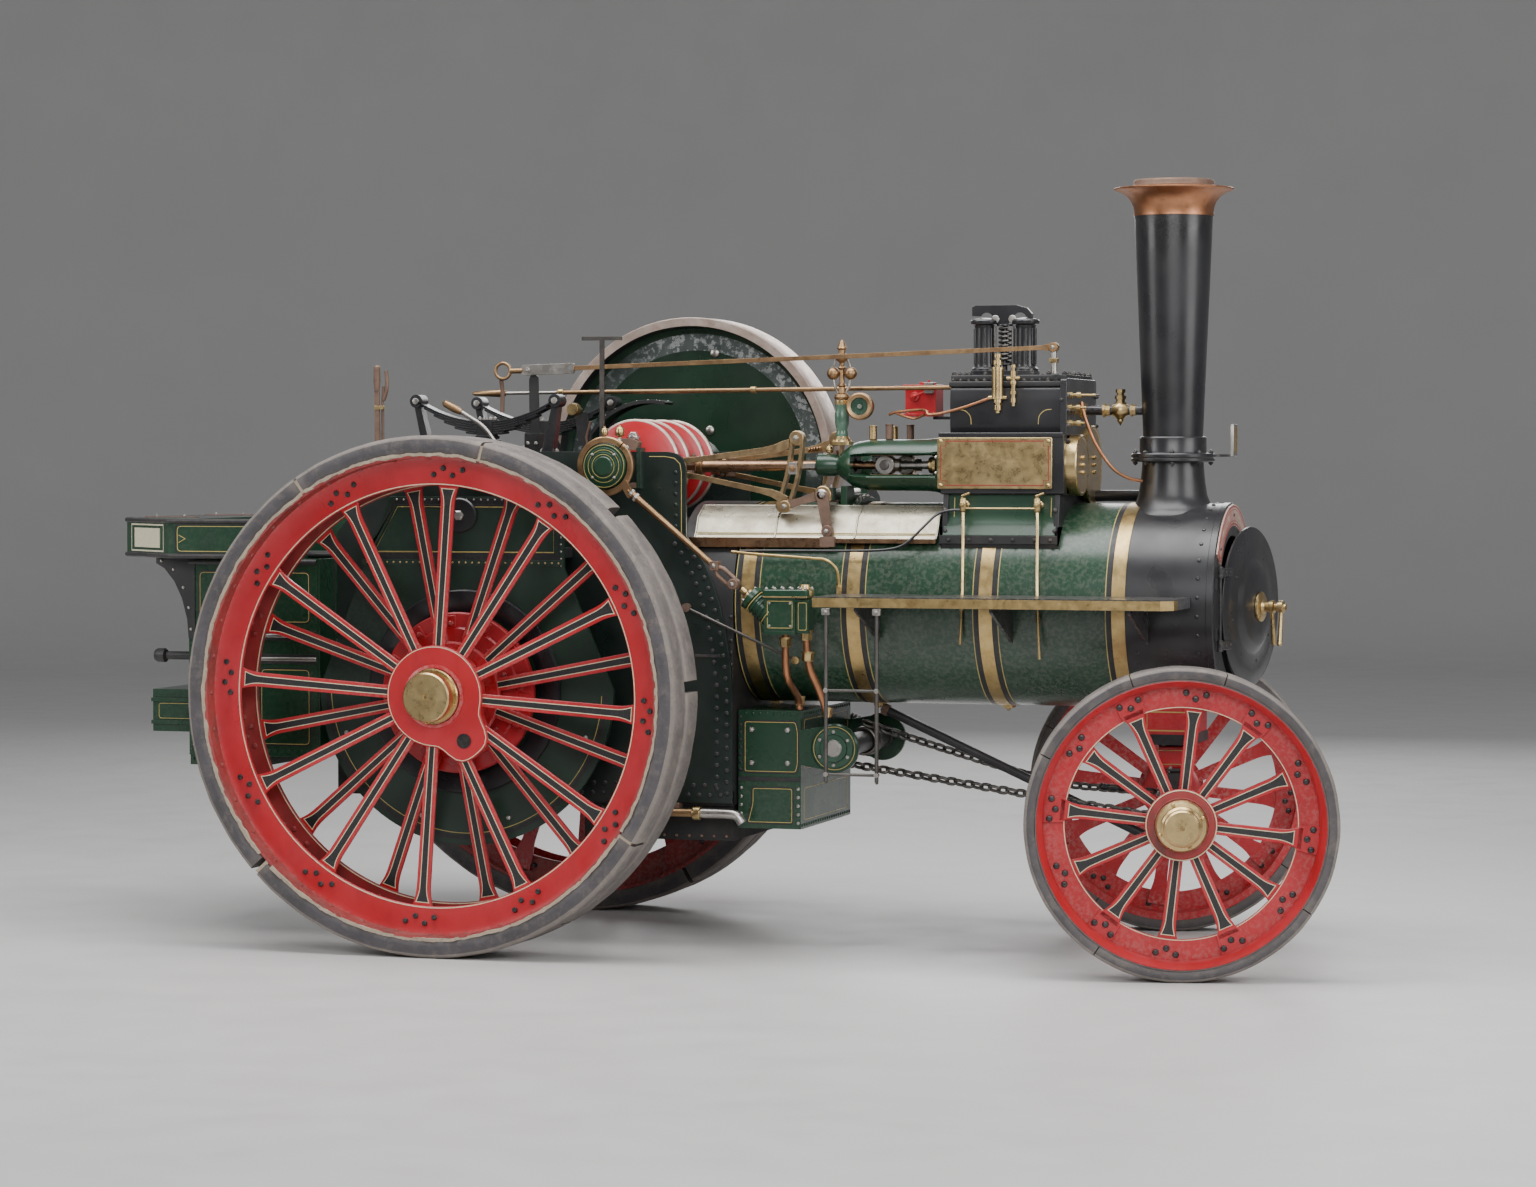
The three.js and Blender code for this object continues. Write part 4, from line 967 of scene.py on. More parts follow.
def running_boards():
    for side, sign in SIDES:
        kit = Kit()
        y_in, y_out, cut = sign * 0.425, sign * 0.799, 0.045
        outline = [(1.534, y_in), (1.534, y_out), (2.976 - cut, y_out), (2.976, y_out - sign * cut),
                   (2.976, y_in)]
        kit.prism(outline, 1.419, 1.458, BOARD, plane="xy")
        kit.prism(outline, 1.458, 1.461, BLACK, plane="xy")
        edge = [(1.534, y_out), (2.976 - cut, y_out), (2.976, y_out - sign * cut),
                (2.976, y_out - sign * 0.12)]
        kit.strip([(a, b, 1.4385) for a, b in edge[:2]], (0, sign, 0), 0.037, BRASS_BAND, thick=0.0012)
        kit.strip([(a, b, 1.4385) for a, b in edge[1:3]], (1, sign, 0), 0.037, BRASS_BAND, thick=0.0012)
        kit.strip([(a, b, 1.4385) for a, b in edge[2:]], (1, 0, 0), 0.037, BRASS_BAND, thick=0.0012)
        for x in (1.70, 2.25, 2.80):
            kit.prism([(sign * 0.410, 1.419), (sign * 0.76, 1.419), (sign * 0.76, 1.405),
                       (sign * 0.412, 1.27)],
                      x - 0.006, x + 0.006, BLACK, plane="yz")
        piece(f"running_board_top_{side}", "chassis", kit, [f"running_board_{side}"])


ARC_PLATE = paint("worn arc plate", (0.52, 0.42, 0.34), (0.42, 0.20, 0.17), (0.30, 0.08, 0.07),
                  (0.60, 0.52, 0.44),
                  chips=0.55, dirty=0.7)
BOARD = paint("dark board", (0.030, 0.034, 0.045), (0.050, 0.050, 0.060), (0.045, 0.036, 0.028),
              (0.12, 0.10, 0.08),
              gloss=(0.45, 0.7), dust=0.25)
boiler()
smokebox()
smokebox_door()
chimney()
running_boards()


# ---- cylinders and their fittings -----------------------------------------------------------
def saddle_section(half, top, reach):
    """The foot under the cylinders: it spreads over the boiler's round top. Points of (y, z)."""
    left = [(-half, top), (-half - 0.004, top - 0.08), (-half - 0.035, top - 0.13), (-reach, 1.700),
            (-reach, 1.662)]
    under = [(-0.26, 1.70), (0.26, 1.70)]
    return left + under + [(-y, z) for y, z in reversed(left)]


def cylinder_block():
    kit = Kit()
    back, front = 1.930, 2.440
    # valve chest with its ledge, and the rounded upper casing with its bolted lid
    kit.prism(rounded([(-0.310, 1.862), (-0.310, 2.104), (0.330, 2.104), (0.330, 1.862)], 0.012), back,
              front, BLACK,
              plane="yz")
    kit.prism(rounded([(-0.317, 2.092), (-0.317, 2.112), (0.336, 2.112), (0.336, 2.092)], 0.006), 1.922,
              2.436,
              BLACK, plane="yz")
    casing = [(-0.235, 2.10), (-0.246, 2.135), (-0.246, 2.255), (-0.236, 2.300), (0.256, 2.300),
              (0.266, 2.255),
              (0.266, 2.135), (0.255, 2.10)]
    kit.prism(rounded(casing, 0.03), 1.952, 2.430, BLACK, plane="yz")
    kit.prism(rounded([(-0.240, 2.296), (-0.240, 2.320), (0.260, 2.320), (0.260, 2.296)], 0.006, 2), 1.946,
              2.434,
              SATIN_BLACK, plane="yz")
    kit.prism(rounded([(-0.228, 2.319), (-0.228, 2.345), (0.248, 2.345), (0.248, 2.319)], 0.006, 2), 1.952,
              2.430,
              SATIN_BLACK, plane="yz")
    kit.prism(rounded([(-0.262, 1.86), (-0.262, 2.330), (0.282, 2.330), (0.282, 1.86)], 0.02), 2.412, 2.440,
              BLACK,
              plane="yz")
    foot = saddle_section(0.286, 1.870, 0.345)
    kit.prism(foot, 1.945, 2.412, GREEN, plane="yz")
    kit.prism(saddle_section(0.290, 1.700, 0.352), 1.936, 2.424, SATIN_BLACK, plane="yz")
    for x in (1.940, 2.400):
        kit.prism(rounded([(-0.330, 1.70), (-0.300, 1.870), (0.300, 1.870), (0.330, 1.70)], 0.01), x,
                  x + 0.022,
                  SATIN_BLACK, plane="yz")
    piece("cylinder_casting", "chassis", kit, ["cylinder_block"], bevel=0.005, sharp=30)


def plate_with_border(kit, x0, x1, z0, z1, y):
    """The blank brass plate, its screws and its thin red border with cut-in corners."""
    kit.prism(rounded(rectangle(x0, x1, z0, z1), 0.006, 2), y + 0.007, y, BRASS, bevel=0.0015)
    m, n = 0.014, 0.020
    border = [(x0 + m + n, z0 + m), (x1 - m - n, z0 + m), (x1 - m - n, z0 + m + n), (x1 - m, z0 + m + n),
              (x1 - m, z1 - m - n), (x1 - m - n, z1 - m - n), (x1 - m - n, z1 - m), (x0 + m + n, z1 - m),
              (x0 + m + n, z1 - m - n), (x0 + m, z1 - m - n), (x0 + m, z0 + m + n),
              (x0 + m + n, z0 + m + n)]
    kit.frame_line(border, y, (0, -1, 0), 0.0032, RED_LINE, thick=0.0005)
    for x in (x0 + 0.014, x1 - 0.014):
        for z in (z0 + 0.014, z1 - 0.014):
            kit.stack((x, y, z), (0, -1, 0), [(0.008, 0), (0.008, 0.005), (0.005, 0.008), (0, 0.009)],
                      BRASS)


def cylinder_brass():
    kit = Kit()
    plate_with_border(kit, 1.918, 2.392, 1.885, 2.091, -0.3185)
    for radius, y, face in ((0.123, -0.170, 2.485), (0.163, 0.142, 2.462)):
        centre = (0, y, CYLINDER_Z)
        kit.lathe([(0, 2.439), (radius, 2.439), (radius, face - 0.004), (radius - 0.004, face),
                   (radius - 0.012, face),
                   (radius - 0.014, face - 0.0015), (0, face - 0.001)], [BRASS] * 4 + [PALE_BRASS] * 3,
                  centre=centre, sides=80)
        for dz in (0.030, 0.0, -0.030):
            kit.bolt((face - 0.001, y, CYLINDER_Z + dz), (1, 0, 0), 0.009, BRASS)
    piece("cylinder_brass", "chassis", kit)


def block_details():
    """Bolts, painted lining and the drain cocks on the cylinder block."""
    kit = Kit()
    for i in range(15):
        x = 1.962 + i * (2.420 - 1.962) / 14
        for y in (-0.236, 0.256):
            kit.bolt((x, y + (0.006 if y < 0 else -0.006), 2.320), (0, 0, 1), 0.0085, SATIN_BLACK)
        if i % 2 == 0:
            kit.bolt((x, -0.215, 2.345), (0, 0, 1), 0.010, SATIN_BLACK)
            kit.bolt((x, 0.235, 2.345), (0, 0, 1), 0.010, SATIN_BLACK)
    for y in (-0.13, -0.04, 0.05, 0.14):
        for x in (1.965, 2.418):
            kit.bolt((x, y, 2.345), (0, 0, 1), 0.010, SATIN_BLACK)
    for z in (1.90, 1.96, 2.02, 2.08, 2.14, 2.20, 2.26):
        for y in (-0.252, 0.270):
            kit.bolt((2.440, y, z), (1, 0, 0), 0.009, SATIN_BLACK)
    for x in (1.956, 2.408):
        for z in (1.715, 1.80):
            kit.bolt((x, -0.330, z), (0, -1, 0.3), 0.010, SATIN_BLACK)
    for x in (1.975, 2.060, 2.150, 2.240, 2.330, 2.395):
        kit.bolt((x, -0.3525, 1.680), (0, -1, 0), 0.008, SATIN_BLACK)
    # lining on the casing's round corners and on the green foot
    for x, way in ((1.985, 1), (2.375, -1)):
        curl = [(x + way * 0.002, 2.205), (x + way * 0.030, 2.200), (x + way * 0.052, 2.178),
                (x + way * 0.056, 2.145)]
        kit.strip(smooth_path([(a, -0.2465, b) for a, b in curl]), (0, -1, 0), 0.0028, YELLOW_LINE)
    front = [(1.985, 1.850), (1.985, 1.745), (2.012, 1.722), (2.355, 1.722), (2.385, 1.745), (2.385, 1.850)]
    kit.strip([(a, -0.2905 - 0.02 * max(0, (1.80 - b) / 0.08), b) for a, b in front], (0, -1, 0.15), 0.0028,
              YELLOW_LINE)
    piece("cylinder_bolts_and_lining", "chassis", kit)

    taps = Kit()
    for x, run in ((2.033, ((2.045, -0.395, 1.62), (2.050, -0.425, 1.45), (2.043, -0.428, 1.262))),
                   (2.339, ((2.352, -0.400, 1.62), (2.362, -0.440, 1.45), (2.370, -0.432, 1.208)))):
        taps.stack((x, -0.292, 1.822), (0, -1, 0), [(0.016, 0), (0.016, 0.014), (0.011, 0.018),
                                                    (0.011, 0.055),
                                                   (0, 0.056)], BRASS, sides=12)
        taps.stack((x, -0.345, 1.850), (0, 0, -1), [(0.010, 0), (0.014, 0.008), (0.014, 0.050),
                                                    (0.008, 0.060),
                                                   (0, 0.062)], BRASS, sides=12)
        taps.tube([(x - 0.004, -0.350, 1.856), (x + 0.030, -0.356, 1.868)], 0.005, BRASS)
        taps.bolt((x, -0.358, 1.822), (0, -1, 0), 0.011, BRASS)
        taps.tube(smooth_path([(x, -0.345, 1.80), (x + 0.004, -0.360, 1.74), *run]), 0.0062, BRASS,
                  sides=10)
    taps.tube([(2.033, -0.352, 1.806), (2.339, -0.352, 1.806)], 0.004, BRASS)
    for x, z in ((2.050, 1.40), (2.362, 1.36)):
        taps.stack((x, -0.432, z), (0, 0, 1), [(0.010, 0), (0.010, 0.016), (0, 0.017)], BRASS)
    piece("drain_cocks", "chassis", taps)


def stacked(kit, spot, way, spans, finish, sides=18):
    """A turned fitting from (radius, length) spans, one on the other."""
    profile, at = [], 0.0
    for radius, length in spans:
        profile += [(radius, at), (radius, at + length)]
        at += length
    kit.stack(spot, way, profile + [(0, at)], finish, sides=sides)


def block_fittings():
    kit = Kit()
    # displacement lubricator and the small valve beside it
    stacked(kit, (2.158, -0.275, 2.190), (0, 0, 1), [(0.008, 0.012), (0.015, 0.020), (0.011, 0.010),
                                                     (0.017, 0.016),
            (0.026, 0.008), (0.024, 0.110), (0.027, 0.008), (0.012, 0.010), (0.019, 0.018), (0.010, 0.012),
            (0.015, 0.014)], BRASS)
    kit.tube([(2.158, -0.250, 2.225), (2.158, -0.225, 2.225)], 0.012, BRASS)
    kit.tube([(2.120, -0.275, 2.252), (2.195, -0.275, 2.252)], 0.007, BRASS)
    stacked(kit, (2.222, -0.272, 2.218), (0, 0, 1), [(0.006, 0.014), (0.011, 0.018), (0.008, 0.016),
                                                     (0.013, 0.012),
            (0.009, 0.028), (0.014, 0.014), (0.008, 0.016), (0.012, 0.022), (0.007, 0.014), (0.010, 0.012)],
            BRASS)
    kit.tube([(2.222, -0.272, 2.345), (2.222, -0.235, 2.345)], 0.007, BRASS)
    kit.tube([(2.195, -0.275, 2.330), (2.249, -0.275, 2.330)], 0.006, BRASS)
    # steam pipe valve between block and chimney
    for x, spans in ((2.4403, [(0.034, 0.010), (0.026, 0.014)]), (2.532, [(0.028, 0.010), (0.024, 0.020)]),
                     (2.646, [(0.026, 0.008), (0.023, 0.014)])):
        stacked(kit, (x, 0, 2.203), (1, 0, 0), spans, BRASS, sides=8)
    kit.lathe([(0, -0.036), (0.020, -0.034), (0.032, -0.014), (0.036, 0), (0.032, 0.014), (0.020, 0.034),
               (0, 0.036)],
              BRASS, centre=(2.603, 0, 2.203), sides=24)
    stacked(kit, (2.603, 0, 2.220), (0, 0, 1), [(0.026, 0.014), (0.018, 0.014), (0.023, 0.014),
                                                (0.015, 0.012),
            (0.020, 0.014)], BRASS, sides=6)
    kit.stack((2.603, 0, 2.186), (0, 0, -1), [(0.028, 0), (0.022, 0.012), (0.013, 0.020), (0.013, 0.028),
                                              (0, 0.046)],
              BRASS, sides=16)
    # relief cocks on the block's front corner
    for y, z, reach in ((-0.200, 2.262, 0.120), (-0.205, 2.212, 0.045), (-0.20, 2.150, 0.03)):
        stacked(kit, (2.440, y, z), (1, 0, 0), [(0.014, 0.010), (0.008, 0.018), (0.012, 0.016),
                                                (0.005, reach * 0.5)],
                BRASS)
    kit.tube([(2.440, -0.200, 2.262), (2.560, -0.200, 2.262)], 0.0045, OILY_STEEL)
    piece("brass_fittings", "chassis", kit, ["steam_pipe"])

    black = Kit()
    black.tube([(2.436, 0, 2.203), (2.694, 0, 2.203)], 0.0205, BLACK, sides=20)
    black.tube(smooth_path([(2.41, 0.20, 1.850), (2.50, 0.19, 1.853), (2.66, 0.15, 1.853),
                            (2.72, 0.10, 1.848)]),
               0.024, BLACK, sides=16)
    black.stack((2.420, -0.262, 2.245), (0, -1, 0), [(0.006, 0), (0.006, 0.02), (0, 0.022)], BLACK)
    # the thin pipe that runs along the tray
    black.tube(smooth_path([(2.030, -0.335, 1.800), (1.984, -0.345, 1.799), (1.927, -0.352, 1.782),
                            (1.879, -0.372, 1.735), (1.811, -0.390, 1.668), (1.744, -0.395, 1.642),
                            (1.600, -0.398, 1.634), (1.250, -0.400, 1.632), (1.110, -0.402, 1.630)]),
               0.0055, BLACK)
    piece("black_pipes", "chassis", black)

    copper = Kit()
    copper.tube(smooth_path([(2.487, -0.200, 2.235), (2.493, -0.200, 2.200), (2.510, -0.195, 2.143),
                             (2.543, -0.180, 2.061), (2.603, -0.160, 1.971), (2.663, -0.140, 1.930),
                             (2.716, -0.110, 1.917)]), 0.0065, COPPER)
    copper.tube(smooth_path([(2.132, -0.275, 2.252), (2.02, -0.265, 2.215), (1.930, -0.255, 2.192),
                             (1.860, -0.230, 2.186), (1.845, -0.215, 2.200), (1.800, -0.180, 2.205),
                             (1.700, -0.150, 2.196), (1.668, -0.140, 2.186)]), 0.0058, COPPER)
    copper.tube(smooth_path([(1.835, -0.205, 2.186), (1.78, -0.17, 2.170), (1.70, -0.15, 2.192)]), 0.0052,
                COPPER)
    piece("copper_pipes", "chassis", copper)


def oil_box():
    """The red mechanical lubricator behind the block."""
    kit = Kit()
    kit.prism(rounded(rectangle(1.692, 1.822, 2.184, 2.306), 0.006, 2), 0.022, 0.150, RED, bevel=0.003)
    kit.box(1.680, 1.822, 0.018, 0.154, 2.300, 2.312, RED)
    kit.box(1.676, 1.822, 0.018, 0.154, 2.180, 2.192, RED)
    kit.box(1.745, 1.800, 0.050, 0.120, 2.310, 2.322, RED)
    kit.stack((1.735, 0.020, 2.262), (0, -1, 0), [(0.020, 0), (0.020, 0.008), (0.008, 0.012),
                                                  (0.008, 0.022),
                                                 (0, 0.024)], RED, sides=20)
    for x, z in ((1.702, 2.296), (1.812, 2.296), (1.702, 2.194), (1.812, 2.194)):
        kit.rivet((x, 0.0218, z), (0, -1, 0), 0.006, RED)
    kit.tube([(1.735, 0.0, 2.262), (1.795, -0.004, 2.285), (1.800, -0.004, 2.330)], 0.005, RED)
    kit.box(1.780, 1.818, -0.012, 0.020, 2.275, 2.320, STEEL)
    kit.box(1.800, 1.954, 0.062, 0.108, 2.168, 2.181, BLACK)
    piece("oil_box", "chassis", kit, bevel=0.002)


def safety_valves():
    kit = Kit()
    kit.prism(rounded(rectangle(1.985, 2.257, -0.055, 0.055), 0.02), 2.3453, 2.366, BLACK, plane="xy")
    for x in (2.035, 2.207):
        kit.lathe([(0, 2.360), (0.052, 2.360), (0.052, 2.374), (0.043, 2.382), (0.040, 2.40),
                   (0.040, 2.535),
                   (0.043, 2.552), (0.055, 2.556), (0.057, 2.562), (0.057, 2.570), (0.052, 2.576),
                   (0.030, 2.580),
                   (0.012, 2.583), (0, 2.583)], BLACK, centre=(x, 0, 0), axis="z", sides=40)
        for i in range(10):
            spot = polar(0.0405, 36 * i, 0)
            kit.tube([(x + spot[0], spot[2], 2.392), (x + spot[0], spot[2], 2.540)], 0.006, BLACK, sides=8)
    outline = ([(1.984, 2.590), (1.984, 2.626), (2.000, 2.634), (2.170, 2.634), (2.215, 2.622),
                (2.236, 2.598),
                (2.238, 2.578)] + arc(2.185, 2.574, 0.030, 0, 180, 8)[1:]
               + [(2.140, 2.560), (2.130, 2.548), (2.100, 2.548), (2.090, 2.560)]
               + arc(2.045, 2.574, 0.030, 0, 150, 8))
    kit.prism(outline, -0.012, 0.012, BLACK)
    kit.tube([(2.121, 0, 2.36), (2.121, 0, 2.56)], 0.010, BLACK)
    coil = [(2.121 + 0.024 * math.cos(0.9 * i), 0.024 * math.sin(0.9 * i),
             2.400 + 0.0026 * i) for i in range(56)]
    kit.tube(coil, 0.0055, OILY_STEEL, sides=8)
    kit.lathe([(0, 2.388), (0.034, 2.388), (0.034, 2.397), (0, 2.397)], BLACK, centre=(2.121, 0, 0),
              axis="z", sides=24)
    kit.lathe([(0, 2.548), (0.034, 2.548), (0.034, 2.556), (0, 2.556)], BLACK, centre=(2.121, 0, 0),
              axis="z", sides=24)
    for x in (2.083, 2.159):
        kit.tube([(x, -0.02, 2.366), (x, -0.02, 2.548)], 0.006, OILY_STEEL)
    kit.stack((2.083, -0.013, 2.576), (0, -1, 0), [(0.018, 0), (0.016, 0.003), (0, 0.004)], STEEL, sides=20)
    kit.stack((2.155, -0.013, 2.576), (0, -1, 0), [(0.018, 0), (0.016, 0.003), (0, 0.004)], STEEL, sides=20)
    piece("safety_valve_pair", "chassis", kit, ["safety_valves"], bevel=0.0015)


PALE_BRASS = metal("machined brass face", (0.66, 0.52, 0.32), (0.55, 0.41, 0.24), (0.30, 0.21, 0.12),
                   (0.25, 0.4))
cylinder_block()
cylinder_brass()
block_details()
block_fittings()
oil_box()
safety_valves()
# ---- crankshaft, flywheel and the gear cover ----------------------------------------------------
GUIDE_Y = 0.165        # each cylinder's centre line
ROD_Z = 1.976          # height of the rods at the crank
THROW = 0.120


def crank_disc(kit, y0, y1):
    """A round crank web: red face with a raised rim, turned bare on its edge."""
    profile = [(0.0, y0), (0.150, y0), (0.158, y0 + 0.004), (0.186, y0 + 0.004), (0.195, y0 + 0.010),
               (0.195, y1 - 0.010), (0.186, y1 - 0.004), (0.158, y1 - 0.004), (0.150, y1), (0.0, y1)]
    coats = [RED, RED, RED, PALE_RIM, PALE_RIM, PALE_RIM, RED, RED, RED]
    kit.lathe(profile, coats, (CRANK_X, 0, CRANK_Z), "y", 72)


def crankshaft():
    kit = Kit()
    for y in (-0.235, -0.100, 0.100, 0.235):
        crank_disc(kit, y - 0.017, y + 0.017)
    for y0, y1 in ((-0.626, -0.252), (-0.083, 0.083), (0.252, 0.702)):
        middle_y = (y0 + y1) / 2
        kit.lathe([(0, y0), (0.034, y0), (0.040, y0 + 0.006), (0.040, middle_y), (0.040, y1 - 0.006),
                   (0.034, y1), (0, y1)], OILY_STEEL, (CRANK_X, 0, CRANK_Z), "y", 40)
    for way, y0, y1 in (((0, 1), -0.235, -0.100), ((1, 0), 0.100, 0.235)):
        centre = (CRANK_X + THROW * way[0], 0, CRANK_Z + THROW * way[1])
        kit.lathe([(0, y0), (0.036, y0), (0.036, y1), (0, y1)], STEEL, centre, "y", 32)
        for y in (y0 - 0.018, y1 + 0.018):
            kit.bolt((centre[0], y, centre[2]), (0, -1 if y < -0.12 or 0 < y < 0.12 else 1, 0), 0.024,
                     STEEL)
    for y0, y1 in ((0.034, 0.070), (-0.070, -0.034)):
        kit.lathe([(0.041, y0), (0.074, y0), (0.074, y1), (0.041, y1)], BRONZE, (CRANK_X, 0, CRANK_Z), "y",
                  40)
        for spoke in range(4):
            a = math.radians(20 + 90 * spoke)
            kit.bolt((CRANK_X + 0.074 * math.cos(a), (y0 + y1) / 2, CRANK_Z + 0.074 * math.sin(a)),
                     (math.cos(a), 0, math.sin(a)), 0.009, STEEL)
    piece("crankshaft_webs", "crankshaft", kit, ("crankshaft",), bevel=0.002)
    cap = Kit()
    centre = (CRANK_X, 0, CRANK_Z)
    cap.lathe([(0.041, -0.588), (0.092, -0.588), (0.092, -0.624), (0.088, -0.632), (0.076, -0.632),
               (0.074, -0.636),
               (0.058, -0.636), (0.056, -0.641), (0.040, -0.641), (0.036, -0.646), (0, -0.646), (0, -0.626),
               (0.041, -0.626)], GREEN, centre, "y", 56)
    for radius, y in ((0.086, -0.632), (0.066, -0.636), (0.0475, -0.641)):
        ring_path = [(centre[0] + a, y, centre[2] + b) for a, b in arc(0, 0, radius, 0, 345, 44)]
        cap.strip(ring_path, (0, -1, 0), 0.0022, YELLOW_LINE, closed=True)
    for i in range(4):
        a = math.radians(45 + 90 * i)
        cap.bolt((centre[0] + 0.066 * math.cos(a), -0.636, centre[2] + 0.066 * math.sin(a)), (0, -1, 0),
                 0.007, STEEL)
    piece("pump_eccentric_cap", "crankshaft", cap, bevel=0.001)


def flywheel():
    kit = Kit()
    centre = (CRANK_X, 0, CRANK_Z)
    kit.lathe([(0.602, 0.482), (0.638, 0.480), (0.640, 0.486), (0.640, 0.684), (0.638, 0.690),
               (0.602, 0.688),
               (0.600, 0.600), (0.600, 0.570)],
              [PALE_RIM, PALE_RIM, PALE_RIM, PALE_RIM, PALE_RIM, FLY_DISC, FLY_DISC, SATIN_BLACK],
              centre, "y", 128)
    profile = [(0.042, 0.482), (0.090, 0.482), (0.096, 0.490), (0.104, 0.556), (0.120, 0.571),
               (0.560, 0.573),
               (0.586, 0.569), (0.601, 0.560), (0.601, 0.610), (0.586, 0.600), (0.560, 0.597),
               (0.120, 0.599),
               (0.104, 0.614), (0.096, 0.680), (0.090, 0.688), (0.042, 0.688)]
    kit.lathe(profile, FLY_DISC, centre, "y", 128)
    kit.lathe([(0.498, 0.5726), (0.575, 0.5712), (0.575, 0.580), (0.498, 0.580)], FLY_RING, centre, "y",
              128)
    kit.lathe([(0.498, 0.5974), (0.575, 0.5988), (0.575, 0.590), (0.498, 0.590)], FLY_RING, centre, "y",
              128)
    for radius, angle in ((0.495, 80), (0.165, 67.5), (0.495, 200), (0.165, 187.5), (0.495, 320),
                          (0.165, 307.5)):
        a = math.radians(angle)
        kit.stack((centre[0] + radius * math.cos(a), 0.5725, centre[2] + radius * math.sin(a)), (0, -1, 0),
                  [(0.020, -0.001), (0.020, 0.006), (0.013, 0.010), (0, 0.011)], STEEL, sides=20)
    kit.box(CRANK_X - 0.011, CRANK_X + 0.011, 0.470, 0.500, CRANK_Z + 0.038, CRANK_Z + 0.056, STEEL)
    piece("flywheel_disc", "crankshaft", kit, ("flywheel",), bevel=0.0015)


def gear_cover():
    """A thin curved sheet over the crank end of the gears, rubbed to bare metal, with its strap edges."""
    kit = Kit()
    outer, inner = arc(0.520, 1.930, 0.325, 172, 78, 40), arc(0.520, 1.930, 0.320, 78, 172, 40)
    kit.prism(outer + inner, 0.181, 0.304, RUBBED_SHEET)
    for y0, y1 in ((0.180, 0.188), (0.297, 0.305)):
        lip_out, lip_in = arc(0.520, 1.930, 0.327, 172.5, 77.5, 40), arc(0.520, 1.930, 0.311, 77.5, 172.5,
                                                                         40)
        kit.prism(lip_out + lip_in, y0, y1, SATIN_BLACK)
    for y in (0.184, 0.301):
        for a in range(82, 172, 9):
            spot = (0.520 + 0.326 * math.cos(math.radians(a)), y, 1.930 + 0.326 * math.sin(math.radians(a)))
            kit.rivet(spot, (math.cos(math.radians(a)), 0, math.sin(math.radians(a))), 0.004, STEEL)
    kit.tube([(0.245, 0.182, 2.035), (0.240, 0.170, 2.10), (0.262, 0.165, 2.165)], 0.006, BROWN_IRON,
             flat=0.6)
    kit.lathe([(0, 0.070), (0.025, 0.070), (0.028, 0.078), (0.028, 0.112), (0.025, 0.120), (0.010, 0.120),
               (0.010, 0.178), (0, 0.178)], BRASS, (0.212, 0, 2.215), "y", 28)
    kit.prism([(0.185, 2.205), (0.240, 2.205), (0.262, 2.090), (0.240, 2.060), (0.204, 2.060)], 0.176,
              0.186,
              SATIN_BLACK)
    piece("gear_cover_sheet", "chassis", kit, ("crank_guard",), bevel=0.0008)


# ---- rods and guides ----------------------------------------------------------------------------
def bar_shape(stations, half_y, finish_kit, finish, y):
    """A forged bar that lies along X: a list of (x, z, half height), given a half width in y."""
    top = [(x, z + half) for x, z, half in stations]
    low = [(x, z - half) for x, z, half in reversed(stations)]
    finish_kit.prism(top + low, y - half_y, y + half_y, finish)


def connecting_rod(side, sign):
    """The visible shank of one connecting rod, from behind the crank web to the crosshead."""
    kit = Kit()
    y = sign * GUIDE_Y
    shank = ((0.812, ROD_Z), (0.86, ROD_Z), (1.10, 1.978), (1.36, CYLINDER_Z), (1.386, CYLINDER_Z))
    radii = [0.028, 0.030, 0.025, 0.021, 0.021]
    kit.tube([(x, y, z) for x, z in shank], radii, ROD_BROWN, sides=28, flat=0.8)
    kit.box(0.812, 0.852, y - 0.034, y + 0.034, 1.938, 2.014, ROD_BROWN)
    for z in (1.944, 2.008):
        kit.bolt((0.852, y, z), (1, 0, 0), 0.010, STEEL)
        kit.bolt((0.833, y, z + math.copysign(0.006, z - ROD_Z)), (0, 0, math.copysign(1, z - ROD_Z)),
                 0.011, BROWN_IRON)
    kit.lathe([(0, 0.858), (0.036, 0.858), (0.036, 0.876), (0, 0.884)], BRONZE, (0, y, ROD_Z), "x", 28)
    piece(f"connecting_rod_shank_{side}", "chassis", kit, (f"connecting_rod_{side}",), bevel=0.002)


def oil_cup(kit, spot, scale=1.0, finish=None):
    """A brass oil cup with its lid, standing on a spot."""
    coat = finish or BRASS
    profile = [(0.006, -0.004), (0.006, 0.010), (0.016, 0.014), (0.018, 0.018), (0.018, 0.040),
               (0.014, 0.046),
               (0.006, 0.050), (0.006, 0.054), (0, 0.056)]
    kit.stack(spot, (0, 0, 1), [(r * scale, h * scale) for r, h in profile], coat, sides=20)


